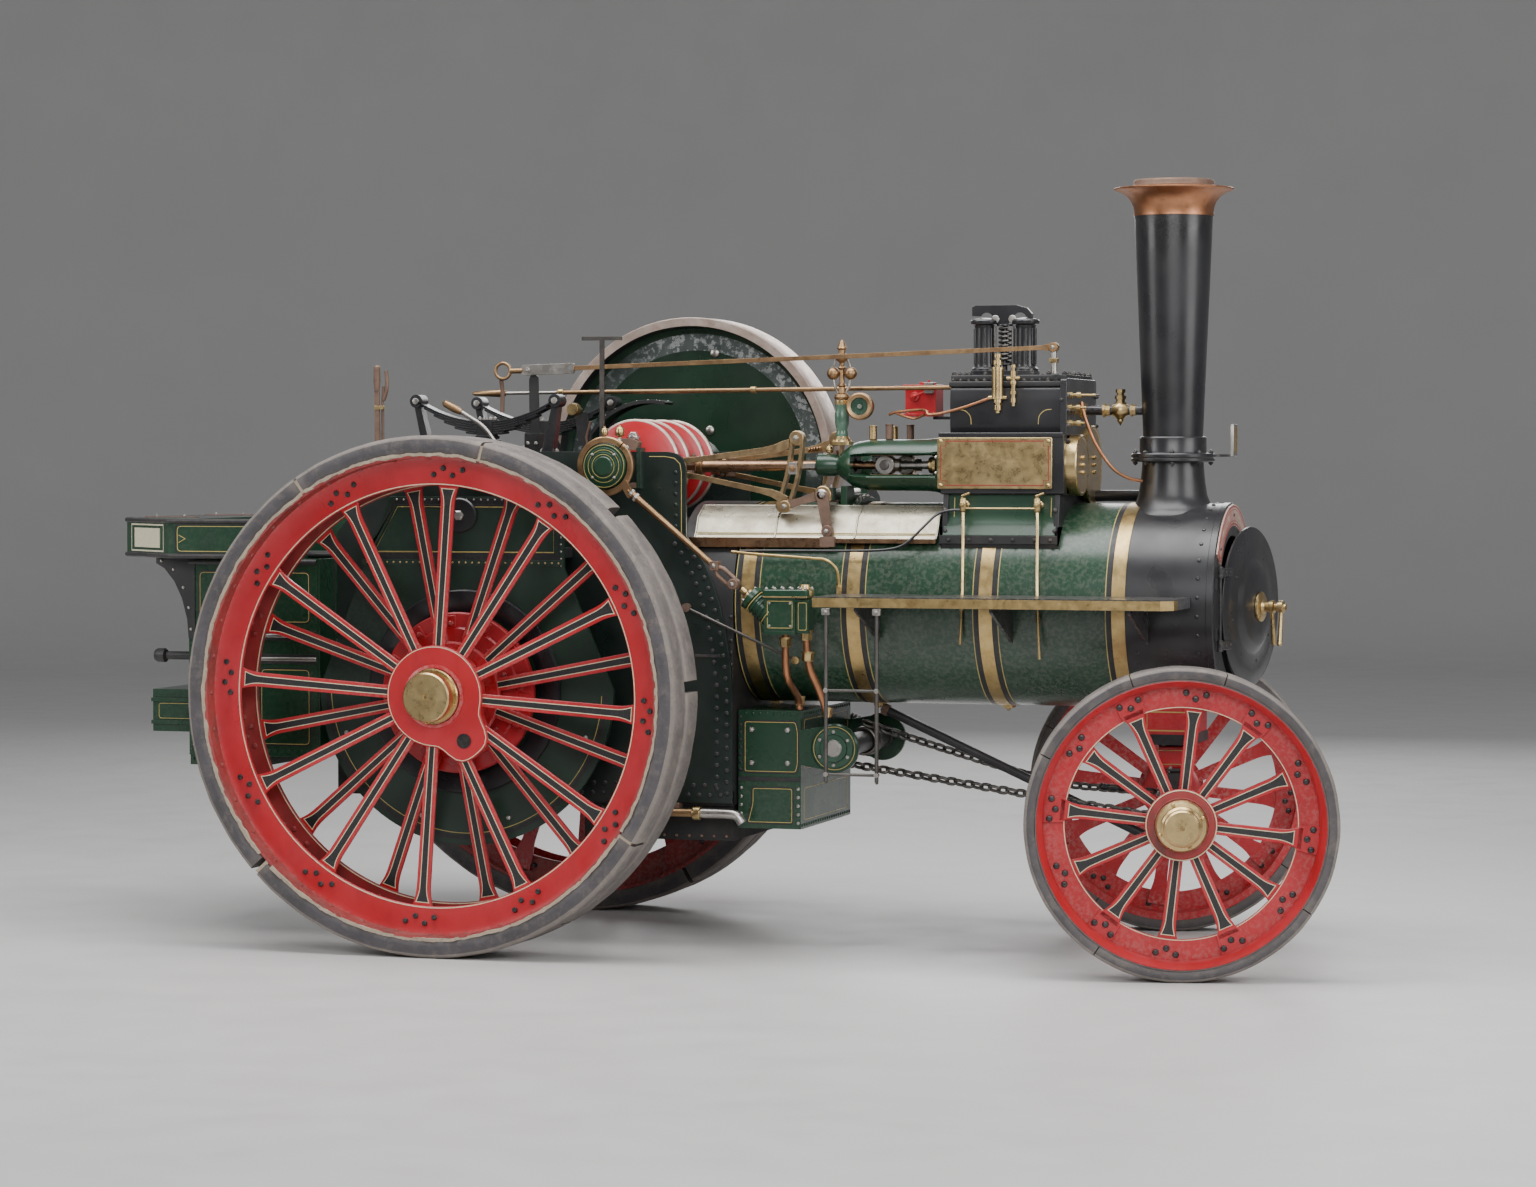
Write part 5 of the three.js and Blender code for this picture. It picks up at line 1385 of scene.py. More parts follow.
def trunk_guide(side, sign):
    """One cast guide: a neck with its gland, a flared trunk with a window each side, and end flanges."""
    kit = Kit()
    y = sign * GUIDE_Y
    z = CYLINDER_Z
    neck = [(0.030, 1.372), (0.040, 1.372), (0.046, 1.378), (0.046, 1.450), (0.042, 1.456), (0.042, 1.466),
            (0.050, 1.472), (0.064, 1.492), (0.084, 1.520), (0.088, 1.532), (0.030, 1.532)]
    kit.lathe(neck, GREEN, (0, y, z), "x", 40)
    for start in (28, 208):
        wall = [(0.068, 1.522), (0.086, 1.522), (0.096, 1.550), (0.102, 1.590), (0.105, 1.640),
                (0.106, 1.840),
                (0.110, 1.880), (0.118, 1.905), (0.118, 1.928), (0.084, 1.928), (0.084, 1.600),
                (0.076, 1.550)]
        kit.lathe(wall, GREEN, (0, y, z), "x", 24, start=start, sweep=124)
    kit.lathe([(0.052, 1.904), (0.118, 1.904), (0.118, 1.928), (0.052, 1.928)], GREEN, (0, y, z), "x", 56)
    for i in range(10):
        a = math.radians(18 + 36 * i)
        kit.bolt((1.904, y + 0.103 * math.cos(a), z + 0.103 * math.sin(a)), (-1, 0, 0), 0.009, STEEL)
    for up in (1, -1):
        edge = [(1.600, y, z + up * 0.050), (1.895, y, z + up * 0.050)]
        kit.tube([(x, y + sign * 0.090, zz) for x, _, zz in edge], 0.006, GREEN, flat=0.8)
    piece(f"trunk_guide_{side}", "chassis", kit, bevel=0.0015)


def crosshead(side, sign):
    """Crosshead block, slide shoes, piston rod, gland and the oil cups of one side."""
    kit = Kit()
    y = sign * GUIDE_Y
    z = CYLINDER_Z
    kit.stack((1.664, y - 0.030, z), (0, 1, 0), [(0.038, 0.0), (0.041, 0.004), (0.041, 0.056),
                                                 (0.038, 0.060), (0, 0.060)],
              STEEL, sides=40)
    for out in (-1, 1):
        kit.stack((1.664, y + out * 0.030, z), (0, out, 0),
                  [(0.020, -0.002), (0.020, 0.010), (0.012, 0.012), (0, 0.012)],
                  OILY_STEEL, sides=28)
    for up in (1, -1):
        kit.box(1.606, 1.722, y - 0.040, y + 0.040, z + up * 0.058 - 0.020, z + up * 0.058 + 0.020, BRONZE)
    kit.lathe([(0, 1.398), (0.017, 1.398), (0.017, 1.628), (0, 1.628)], ROD_BROWN, (0, y, z), "x", 32)
    kit.lathe([(0, 1.700), (0.026, 1.700), (0.026, 1.724), (0.0165, 1.728), (0.0165, 1.878), (0, 1.878)],
              STEEL,
              (0, y, z), "x", 32)
    gland = [(0, 1.846), (0.030, 1.846), (0.034, 1.852), (0.034, 1.864), (0.050, 1.868), (0.050, 1.880),
             (0.040, 1.884),
             (0.040, 1.926), (0, 1.926)]
    kit.lathe(gland, BRASS, (0, y, z), "x", 36)
    for out in (-1, 1):
        kit.bolt((1.868, y + out * 0.0, z + out * 0.042), (-1, 0, 0), 0.009, STEEL)
    for x, tall in ((1.607, 0.068), (1.676, 0.074)):
        kit.stack((x, y, z + 0.094), (0, 0, 1), [(0.012, -0.012), (0.012, 0.010), (0.0155, 0.012),
                                                 (0.0155, tall - 0.006),
                                                 (0.017, tall - 0.004), (0.017, tall), (0, tall)],
                  BRASS if x < 1.65 else BROWN_IRON, 20)
    oil_cup(kit, (1.420, y, z + 0.040), 0.8)
    kit.stack((1.447, y, z + 0.041), (0, 0, 1), [(0.014, -0.003), (0.014, 0.014), (0.010, 0.020),
                                                 (0, 0.020)], BROWN_IRON, 6)
    piece(f"crosshead_{side}", "chassis", kit, bevel=0.0015)


def motion_bracket():
    """The cast stay across the boiler that carries both guides."""
    kit = Kit()
    saddle = []
    for i in range(21):
        y = -0.200 + 0.530 * i / 20
        saddle.append((y, BOILER_Z + math.sqrt(max((BOILER_R + 0.003) ** 2 - y * y, 0.0))))
    top = [(0.330, 1.790), (0.300, 1.850), (0.235, 1.880), (0.225, 1.895), (0.110, 1.895), (0.100, 1.860),
           (-0.080, 1.860), (-0.100, 1.895), (-0.200, 1.895), (-0.210, 1.790)]
    kit.prism(saddle + top, 1.480, 1.506, GREEN, plane="yz")
    foot = [(y, z + 0.001) for y, z in saddle] + [(y, z + 0.019) for y, z in reversed(saddle)]
    kit.prism(foot, 1.446, 1.545, GREEN, plane="yz")
    for x in (1.462, 1.528):
        for i in range(1, 20, 2):
            y, z = saddle[i]
            kit.bolt((x, y, z + 0.018), (0, y, z - BOILER_Z), 0.010, STEEL)
    piece("motion_bracket", "chassis", kit, ("motion_frame",), bevel=0.0015)


# ---- valve gear -------------------------------------------------------------------------------
def pin_boss(kit, x, z, y0, y1, radius, finish, pin=None):
    kit.lathe([(0, y0), (radius * 0.9, y0), (radius, y0 + 0.003), (radius, y1 - 0.003), (radius * 0.9, y1),
               (0, y1)],
              finish, (x, 0, z), "y", 28)
    out = -1 if y0 + y1 < 0 else 1
    face = y0 if out < 0 else y1
    kit.bolt((x, face, z), (0, out, 0), pin or radius * 0.42, STEEL)


def curved_link(kit, y, out):
    """The slotted link that the two eccentric rods move: a leaning frame with round ends."""
    top, low = Vector((1.322, 2.084)), Vector((1.264, 1.822))
    line = (top - low).normalized()
    across = Vector((line.y, -line.x))
    bow = 0.012

    def rail(offset, reach):
        count = 14
        path = []
        for i in range(count + 1):
            t = i / count
            aside = offset + bow * (1 - (2 * t - 1) ** 2)
            path.append(low.lerp(top, t) + line * (t * 2 - 1) * reach + across * aside)
        return path

    for side in (-1, 1):
        outer, inner = rail(side * 0.029, 0.0), rail(side * 0.016, 0.0)
        kit.prism([tuple(q) for q in outer] + [tuple(q) for q in reversed(inner)], y - 0.019, y + 0.019,
                  LINK_BRONZE)
    for spot, lift in ((top, 0.006), (low, -0.006)):
        kit.stack((spot.x, y + 0.021, spot.y + lift), (0, -1, 0),
                  [(0.028, 0.0), (0.031, 0.003), (0.031, 0.039), (0.028, 0.042),
                                                                   (0, 0.042)], LINK_BRONZE, 32)
        kit.bolt((spot.x, y + out * 0.021, spot.y + lift), (0, out, 0), 0.012, STEEL)
    kit.box(1.290, 1.326, y - 0.024, y + 0.024, 1.942, 1.992, STEEL)
    kit.bolt((1.308, y + out * 0.024, 1.967), (0, out, 0), 0.014, BRONZE)


def valve_side(side, sign):
    """Two eccentric rods, the link, its lifting arm and the valve rod of one side."""
    kit = Kit()
    y = sign * 0.292
    upper = [(0.806, 1.993, 0.017), (0.835, 1.996, 0.013), (0.90, 2.004, 0.011), (1.18, 2.040, 0.012),
             (1.225, 2.047, 0.016),
             (1.262, 2.056, 0.022), (1.290, 2.068, 0.018)]
    lower = [(0.806, 1.945, 0.018), (0.835, 1.940, 0.013), (0.90, 1.931, 0.011), (1.17, 1.876, 0.012),
             (1.215, 1.866, 0.016),
             (1.250, 1.850, 0.020), (1.284, 1.830, 0.022)]
    bar_shape(upper, 0.010, kit, LINK_BRONZE, y + sign * 0.012)
    bar_shape(lower, 0.010, kit, LINK_BRONZE, y + sign * 0.012)
    for x, z in ((0.812, 1.993), (0.812, 1.944)):
        pin_boss(kit, x, z, y - 0.026, y + 0.026, 0.019, BRONZE, 0.008)
        kit.box(0.835, 0.872, y - 0.020, y + 0.020, z - 0.014, z + 0.014, BROWN_IRON)
    curved_link(kit, y, sign)
    out = sign * 0.320
    arm = [(1.272, 1.812, 0.018), (1.34, 1.832, 0.015), (1.40, 1.850, 0.018), (1.446, 1.862, 0.024)]
    bar_shape(arm, 0.009, kit, BROWN_IRON, out)
    for x, z, r in ((1.278, 1.812, 0.024), (1.440, 1.860, 0.036)):
        pin_boss(kit, x, z, out - 0.014, out + 0.014, r, LINK_BRONZE)
    bar_shape([(1.334, ROD_Z, 0.010), (1.388, 1.978, 0.010)], 0.012, kit, STEEL, sign * 0.262)
    for k in range(5):
        spot = 1.20 + 0.012 * k
        kit.lathe([(0, spot), (0.010, spot), (0.010, spot + 0.006), (0, spot + 0.006)], BRONZE,
                  (0, y - 0.012, 2.043 + 0.0016 * k), "x", 16)
    replaced = ("valve_gear",) if sign < 0 else ()
    piece(f"valve_motion_{side}", "chassis", kit, replaced, bevel=0.0012)


def weigh_shaft():
    """The cross shaft that lifts both links, with the arm down to the reversing rod."""
    kit = Kit()
    kit.lathe([(0, -0.345), (0.018, -0.345), (0.024, -0.339), (0.024, 0.339), (0.018, 0.345), (0, 0.345)],
              STEEL,
              (1.437, 0, 1.859), "y", 28)
    outline = rounded([(1.412, 1.872), (1.446, 1.700), (1.482, 1.700), (1.466, 1.872)], 0.018, 5)
    kit.prism(outline, -0.345, -0.331, BROWN_IRON)
    pin_boss(kit, 1.464, 1.712, -0.356, -0.326, 0.024, BROWN_IRON)
    for y in (-0.24, 0.24):
        kit.box(1.412, 1.464, y - 0.022, y + 0.022, 1.834, 1.888, GREEN_DARK)
        kit.bolt((1.425, y, 1.888), (0, 0, 1), 0.008, STEEL)
        kit.bolt((1.451, y, 1.888), (0, 0, 1), 0.008, STEEL)
    piece("weigh_shaft", "chassis", kit, bevel=0.0012)


def governor():
    """Two-ball governor: brass base, speckled green pillar, pulley, arms and balls."""
    kit = Kit()
    x, y = 1.474, -0.165
    base = rounded(rectangle(x - 0.036, x + 0.042, y - 0.039, y + 0.039), 0.012, 4)
    kit.prism(base, 2.062, 2.076, BRASS, plane="xy")
    for dx in (-0.026, 0.032):
        for dy in (-0.029, 0.029):
            kit.bolt((x + dx, y + dy, 2.076), (0, 0, 1), 0.006, BRASS)
    column = [(0, 2.074), (0.036, 2.074), (0.034, 2.088), (0.027, 2.098), (0.022, 2.125), (0.029, 2.150),
              (0.030, 2.190),
              (0.026, 2.212), (0.030, 2.228), (0.030, 2.246), (0, 2.246)]
    coats = [BRASS, BRASS, BRASS] + [MARBLED] * 5 + [BRASS] * 2 + [BRASS]
    kit.lathe(column, coats[:len(column) - 1], (x, y, 0), "z", 32)
    head = [(0, 2.246), (0.028, 2.248), (0.033, 2.258), (0.028, 2.270), (0.014, 2.276), (0.012, 2.30),
            (0.020, 2.306),
            (0.011, 2.314), (0.010, 2.37), (0.018, 2.378), (0.010, 2.388), (0.010, 2.40), (0.026, 2.412),
            (0.030, 2.424),
            (0.024, 2.432), (0.014, 2.438), (0.014, 2.452), (0.022, 2.458), (0.016, 2.470), (0.012, 2.480),
            (0.006, 2.492),
            (0, 2.494)]
    kit.lathe(head, BRONZE, (x, y, 0), "z", 28)
    for way in (-1, 1):
        kit.tube([(x + way * 0.010, y, 2.436), (x + way * 0.030, y, 2.400), (x + way * 0.037, y, 2.375)],
                 0.005, STEEL)
        kit.tube([(x + way * 0.012, y, 2.266), (x + way * 0.032, y, 2.305), (x + way * 0.037, y, 2.338)],
                 0.005, STEEL)
        ball = arc(0, 0, 0.0265, -90, 90, 14)
        kit.lathe([(max(a, 0.0), b) for a, b in ball], BRONZE, (x + way * 0.037, y, 2.356), "z", 28)
    kit.lathe([(0.036, -0.046), (0.050, -0.050), (0.056, -0.046), (0.053, -0.030), (0.056, -0.014),
               (0.050, -0.010),
               (0.036, -0.014)], [BRONZE] * 6 + [GREEN_WORN], (x + 0.086, y, 2.220), "y", 44)
    kit.lathe([(0, -0.034), (0.012, -0.038), (0.016, -0.032), (0.038, -0.032), (0.038, -0.024),
               (0, -0.024)], GREEN_WORN,
              (x + 0.086, y, 2.220), "y", 36)
    kit.tube([(x + 0.086, y - 0.040, 2.220), (x + 0.086, y + 0.018, 2.220)], 0.009, STEEL)
    kit.prism(rounded([(x + 0.010, 2.180), (x + 0.094, 2.204), (x + 0.098, 2.238), (x + 0.010, 2.236)],
                      0.012, 3),
              y - 0.008, y + 0.010, MARBLED)
    piece("governor_stand", "chassis", kit, ("governor",), bevel=0.0008)


def splash_tray():
    """The thin sheet trough under the motion on the near side, bare and stained, with a bar below."""
    kit = Kit()
    section = [(-0.352, 1.682), (-0.330, 1.703), (-0.300, 1.764), (-0.215, 1.813), (-0.206, 1.807),
               (-0.292, 1.757),
               (-0.320, 1.698), (-0.344, 1.678)]
    kit.prism(section, 0.897, 1.923, TIN, plane="yz")
    kit.tube([(0.897, -0.210, 1.812), (1.923, -0.210, 1.812)], 0.0045, TIN)
    for x in (0.897, 1.24, 1.58, 1.923):
        rib = [(x, across - 0.001, up + 0.001) for across, up in section[:4]]
        kit.tube(rib, 0.004, TIN, sides=8)
    kit.strip([(0.905, -0.333, 1.7035), (1.915, -0.333, 1.7035)], (0, -0.75, 0.66), 0.004, YELLOW_LINE)
    kit.strip([(0.905, -0.3385, 1.697), (1.915, -0.3385, 1.697)], (0, -0.75, 0.66), 0.003, YELLOW_LINE)
    kit.prism(rounded(rectangle(0.702, 1.480, 1.645, 1.685), 0.008, 3), -0.371, -0.351, ROD_BROWN)
    kit.prism(rounded(rectangle(1.500, 1.923, 1.664, 1.682), 0.006, 3), -0.364, -0.351, ROD_BROWN)
    kit.box(1.440, 1.502, -0.374, -0.350, 1.648, 1.690, BROWN_IRON)
    piece("splash_trough", "chassis", kit, ("splash_tray",), bevel=0.0006)


# ---- rods on top --------------------------------------------------------------------------------
def regulator():
    """The driver's regulator: ring handle, forked joint, flat rod and the link at the valve chest."""
    kit = Kit()
    y, z = -0.240, 2.373
    loop = [(0.017 + a, y, z + b) for a, b in arc(0, 0, 0.033, 0, 345, 30)]
    kit.tube(loop, 0.0072, BRONZE, sides=12, closed=True)
    kit.tube([(0.050, y, z), (0.112, y, z + 0.001)], 0.011, BRONZE, sides=14)
    slot_outer = rounded([(0.105, z - 0.020), (0.335, z - 0.012), (0.335, z + 0.032), (0.105, z + 0.024)],
                         0.010, 4)
    for side in (-0.010, 0.006):
        kit.prism(slot_outer, y + side, y + side + 0.004, STEEL)
    pin_boss(kit, 0.130, z + 0.002, y - 0.014, y + 0.014, 0.012, STEEL, 0.006)
    flat = [(0.325, z + 0.010, 0.010), (0.36, z + 0.011, 0.009), (2.33, 2.452, 0.009),
            (2.350, 2.453, 0.013),
            (2.395, 2.454, 0.013)]
    bar_shape(flat, 0.005, kit, BRONZE, y)
    pin_boss(kit, 2.381, 2.454, y - 0.020, y + 0.020, 0.020, BRONZE)
    kit.tube([(2.381, y, 2.438), (2.381, y, 2.400), (2.383, y, 2.348)], 0.012, STEEL, sides=16)
    kit.box(2.366, 2.398, y - 0.018, y + 0.018, 2.392, 2.410, BRASS)
    kit.tube([(0.005, y + 0.012, 2.336), (0.008, y + 0.020, 2.28), (0.006, y + 0.020, 2.20)], 0.009,
             BROWN_IRON)
    kit.prism(rounded([(0.132, 2.100), (0.176, 2.100), (0.170, 2.352), (0.142, 2.362), (0.130, 2.340)],
                      0.010, 3),
              y + 0.008, y + 0.018, SATIN_BLACK)
    kit.box(0.120, 0.190, y - 0.020, y + 0.040, 2.036, 2.110, SATIN_BLACK)
    for x in (0.136, 0.172):
        kit.bolt((x, y - 0.020, 2.070), (0, -1, 0), 0.009, STEEL)
    piece("regulator_linkage", "chassis", kit, ("regulator_rod",), bevel=0.001)


def drain_rod():
    """The long rod with a tapered wooden-brown grip at the driver's end."""
    kit = Kit()
    y = -0.060
    grip = [(-0.190, 0.003), (-0.180, 0.009), (-0.12, 0.013), (-0.055, 0.017), (-0.040, 0.012),
            (-0.036, 0.006)]
    kit.tube([(x, y, 2.282 + 0.0075 * (x + 0.19)) for x, _ in grip], [r for _, r in grip], BRONZE, sides=20)
    kit.tube([(-0.045, y, 2.283), (0.20, y, 2.285)], 0.007, STEEL, sides=14)
    kit.tube([(0.19, y, 2.285), (1.90, y, 2.298), (1.943, y, 2.298)], 0.0095, BRONZE, sides=14)
    for x in (0.20, 1.05, 1.91):
        kit.lathe([(0, x), (0.015, x), (0.015, x + 0.022), (0, x + 0.022)], BRASS,
                  (0, y, 2.284 + 0.0075 * x), "x", 20)
    piece("drain_cock_rod", "chassis", kit, ("control_rod",), bevel=0.0008)
    lever = Kit()
    lever.tube(smooth_path([(0.066, -0.430, 2.060), (0.010, -0.440, 2.135), (-0.065, -0.446, 2.185),
                            (-0.095, -0.447, 2.203)]), 0.009, STEEL, sides=12)
    lever.tube([(-0.088, -0.447, 2.199), (-0.118, -0.448, 2.214), (-0.160, -0.449, 2.236),
                (-0.170, -0.449, 2.241)],
               [0.012, 0.017, 0.015, 0.006], BRONZE, sides=16)
    pin_boss(lever, 0.070, 2.052, -0.450, -0.412, 0.024, BROWN_IRON)
    piece("friction_lever", "chassis", lever, bevel=0.0008)


# ---- pump drive ---------------------------------------------------------------------------------
def pump_drive():
    """The eccentric strap in two bolted halves and the rod down to the feed pump."""
    kit = Kit()
    centre = (CRANK_X, 0, CRANK_Z)
    for start in (52, 232):
        kit.lathe([(0.096, -0.621), (0.116, -0.621), (0.121, -0.617), (0.121, -0.603), (0.116, -0.599),
                   (0.096, -0.599)],
                  BRONZE, centre, "y", 30, start=start - 1, sweep=178)
    for a in (50, 230):
        way = Vector((math.cos(math.radians(a)), 0, math.sin(math.radians(a))))
        along = Vector((-way.z, 0, way.x))
        for out in (-1, 1):
            spot = Vector(centre) + way * 0.124 + along * out * 0.012 + Vector((0, -0.610, 0))
            kit.stack(spot - way * 0.014, along * out, [(0.014, -0.010), (0.014, 0.006), (0, 0.006)],
                      BRONZE, 12)
            kit.bolt(spot - way * 0.006 + along * out * 0.006, along * out, 0.009, STEEL)
    oil_cup(kit, (CRANK_X - 0.004, -0.610, CRANK_Z + 0.116), 0.8)
    lug = [(0.672, 1.896), (0.694, 1.925), (0.728, 1.862), (0.704, 1.842)]
    kit.prism(rounded(lug, 0.010, 3), -0.624, -0.596, BRONZE)
    path = [(0.700, -0.609, 1.878), (0.760, -0.602, 1.826), (1.00, -0.572, 1.618), (1.060, -0.566, 1.566)]
    kit.tube(path, [0.017, 0.014, 0.012, 0.013], BRONZE, sides=16)
    for t in (0.04, 0.09):
        spot = Vector(path[0]).lerp(Vector(path[-1]), t)
        kit.stack(spot, Vector(path[-1]) - Vector(path[0]), [(0.021, -0.006), (0.021, 0.006), (0, 0.006)],
                  STEEL, 6)
    way = Vector((0.70, 0.06, -0.62)).normalized()
    side = Vector((way.z, 0, -way.x)).normalized()
    for out in (-1, 1):
        fork = [Vector((1.056, -0.566, 1.570)) + side * out * 0.004,
                Vector((1.078, -0.564, 1.549)) + side * out * 0.019,
                Vector((1.140, -0.556, 1.494)) + side * out * 0.019]
        kit.tube(fork, 0.010, BROWN_IRON, sides=12, flat=0.8)
    kit.box(1.040, 1.074, -0.588, -0.546, 1.556, 1.592, BROWN_IRON)
    kit.bolt((1.057, -0.588, 1.574), (0, -1, 0), 0.010, STEEL)
    pin_boss(kit, 1.134, 1.500, -0.584, -0.530, 0.022, BROWN_IRON)
    piece("pump_drive_rod", "chassis", kit, ("pump_rod",), bevel=0.001)


def shaft_bearing(side, sign):
    """The crankshaft bearing in its horn: bronze halves, iron keep, oil cup and two studs."""
    kit = Kit()
    y0, y1 = sorted((sign * 0.405, sign * 0.462))
    for start in (2, 182):
        kit.lathe([(0.042, y0 - 0.004), (0.066, y0 - 0.004), (0.066, y1 + 0.004), (0.042, y1 + 0.004)],
                  BRONZE,
                  (CRANK_X, 0, CRANK_Z), "y", 22, start=start, sweep=176)
    keep = rounded([(0.522, 2.040), (0.684, 2.040), (0.692, 2.076), (0.660, 2.090), (0.546, 2.090),
                    (0.514, 2.076)],
                   0.008, 3)
    kit.prism(keep, y0 + 0.003, y1 - 0.003, BROWN_IRON)
    for x in (0.532, 0.674):
        kit.bolt((x, (y0 + y1) / 2, 2.086), (0, 0, 1), 0.013, STEEL)
    oil_cup(kit, (0.603, (y0 + y1) / 2, 2.086), 1.05)
    for x in (0.512, 0.694):
        kit.box(x - 0.010, x + 0.010, y0, y1, 1.885, 2.052, GREEN_DARK)
    kit.box(0.522, 0.684, y0 + 0.004, y1 - 0.004, 1.886, 1.908, BROWN_IRON)
    piece(f"shaft_bearing_{side}", "chassis", kit, bevel=0.0012)


FLY_DISC = paint("flywheel green", (0.005, 0.022, 0.011), (0.010, 0.036, 0.019), (0.004, 0.007, 0.006),
                 (0.05, 0.06, 0.05), (0.20, 0.38), 0.4, 0.74)
FLY_RING = paint("scratched flywheel ring", (0.020, 0.036, 0.030), (0.10, 0.12, 0.115),
                 (0.012, 0.016, 0.014),
                 (0.42, 0.44, 0.44), (0.20, 0.40), 0.35, 0.52)
ROD_BROWN = metal("oily brown rod", (0.36, 0.22, 0.13), (0.20, 0.115, 0.070), (0.07, 0.04, 0.028),
                  (0.22, 0.4))
LINK_BRONZE = metal("pale bronze link", (0.46, 0.33, 0.18), (0.33, 0.22, 0.12), (0.11, 0.07, 0.04),
                    (0.28, 0.48))
MARBLED = paint("mottled green enamel", (0.010, 0.060, 0.030), (0.22, 0.34, 0.26), (0.010, 0.016, 0.012),
                (0.40, 0.44, 0.40), (0.16, 0.3), 0.3, 0.60)
RUBBED_SHEET = paint("rubbed sheet", (0.014, 0.055, 0.032), (0.30, 0.33, 0.31), (0.010, 0.016, 0.012),
                     (0.46, 0.46, 0.44), (0.24, 0.45), 0.3, 0.5)

crankshaft()
flywheel()
gear_cover()
motion_bracket()
weigh_shaft()
governor()
splash_tray()
regulator()
drain_rod()
pump_drive()
for one_side, way_out in SIDES:
    connecting_rod(one_side, way_out)
    trunk_guide(one_side, way_out)
    crosshead(one_side, way_out)
    valve_side(one_side, way_out)
    shaft_bearing(one_side, way_out)
# ---- firebox, side plates and springs -----------------------------------------------------------
HORN_Y = 0.430
HORN_FACE = 0.444
REAR_CENTRE_Z = 1.050


def lining(kit, outline, depth, way, plane="xz", gap=0.0, wide=0.0028):
    """A double painted line round a panel: black with yellow on its inner side."""
    shape = inset(outline, gap) if gap else outline
    kit.frame_line(shape, depth, way, wide * 2.4, BLACK_LINE, plane, 0.0006)
    kit.frame_line(inset(shape, wide * 1.9), depth, way, wide, YELLOW_LINE, plane, 0.0009)


def along(path, gap):
    """Spots at even gaps along a path."""
    spots, spare = [Vector(path[0])], 0.0
    for a, b in zip(path, path[1:]):
        a, b = Vector(a), Vector(b)
        length = (b - a).length
        at = gap - spare
        while at <= length:
            spots.append(a.lerp(b, at / length))
            at += gap
        spare = length - (at - gap)
    return spots


def firebox():
    kit = Kit()
    top = [(0.418 * math.cos(a), BOILER_Z + 0.418 * math.sin(a)) for a in
           [math.radians(-2 + 184 * i / 48) for i in range(49)]]
    section = [(0.418, 0.590), *top, (-0.418, 0.590)]
    kit.prism(section, 0.836, 1.085, SATIN_BLACK, plane="yz")
    kit.prism([(0.416, 0.590), (0.416, 1.755), (-0.416, 1.755), (-0.416, 0.590)], 0.383, 0.836, SATIN_BLACK,
              plane="yz")
    kit.box(0.434, 1.076, -0.396, 0.396, 0.442, 0.586, SOOT_AND_HOLE_SHADE)
    for side in (-1, 1):
        kit.box(0.383, 1.085, *sorted((side * 0.400, side * 0.422)), 0.588, 0.648, SATIN_BLACK)
        kit.rivets((0.41, side * 0.422, 0.618), (1.065, side * 0.422, 0.618), 15, (0, side, 0), 0.010,
                   SATIN_BLACK)
        kit.rivets((0.46, side * 0.396, 0.566), (1.05, side * 0.396, 0.566), 12, (0, side, 0), 0.008,
                   BROWN_IRON)
        kit.rivets((0.46, side * 0.396, 0.460), (1.05, side * 0.396, 0.460), 12, (0, side, 0), 0.007,
                   BROWN_IRON)
    kit.prism(rounded(rectangle(-0.16, 0.16, 1.20, 1.46), 0.10, 6), 0.376, 0.384, BROWN_IRON, plane="yz")
    kit.stack((0.377, 0.12, 1.33), (-1, 0, 0), [(0.016, 0), (0.016, 0.012), (0, 0.016)], STEEL, 16)
    kit.tube([(0.374, -0.13, 1.25), (0.374, -0.13, 1.41)], 0.010, BROWN_IRON)
    kit.rivets((1.078, -0.419, 0.68), (1.078, -0.419, 1.36), 15, (0, -1, 0), 0.009, SATIN_BLACK)
    piece("firebox_shell", "chassis", kit, ("firebox",), bevel=0.002)


def front_edge():
    """The curved front edge of a side plate, from its foot to the shoulder."""
    curve = []
    for i in range(15):
        t = i / 14
        x = (1 - t) ** 2 * 1.088 + 2 * t * (1 - t) * 1.060 + t * t * 0.892
        z = (1 - t) ** 2 * 1.080 + 2 * t * (1 - t) * 1.500 + t * t * 1.690
        curve.append((x, z))
    return curve


def shoulder():
    curve = []
    for i in range(9):
        t = i / 8
        curve.append(((1 - t) ** 2 * 0.892 + 2 * t * (1 - t) * 0.892 + t * t * 0.800,
                      (1 - t) ** 2 * 1.955 + 2 * t * (1 - t) * 2.035 + t * t * 2.035))
    return curve


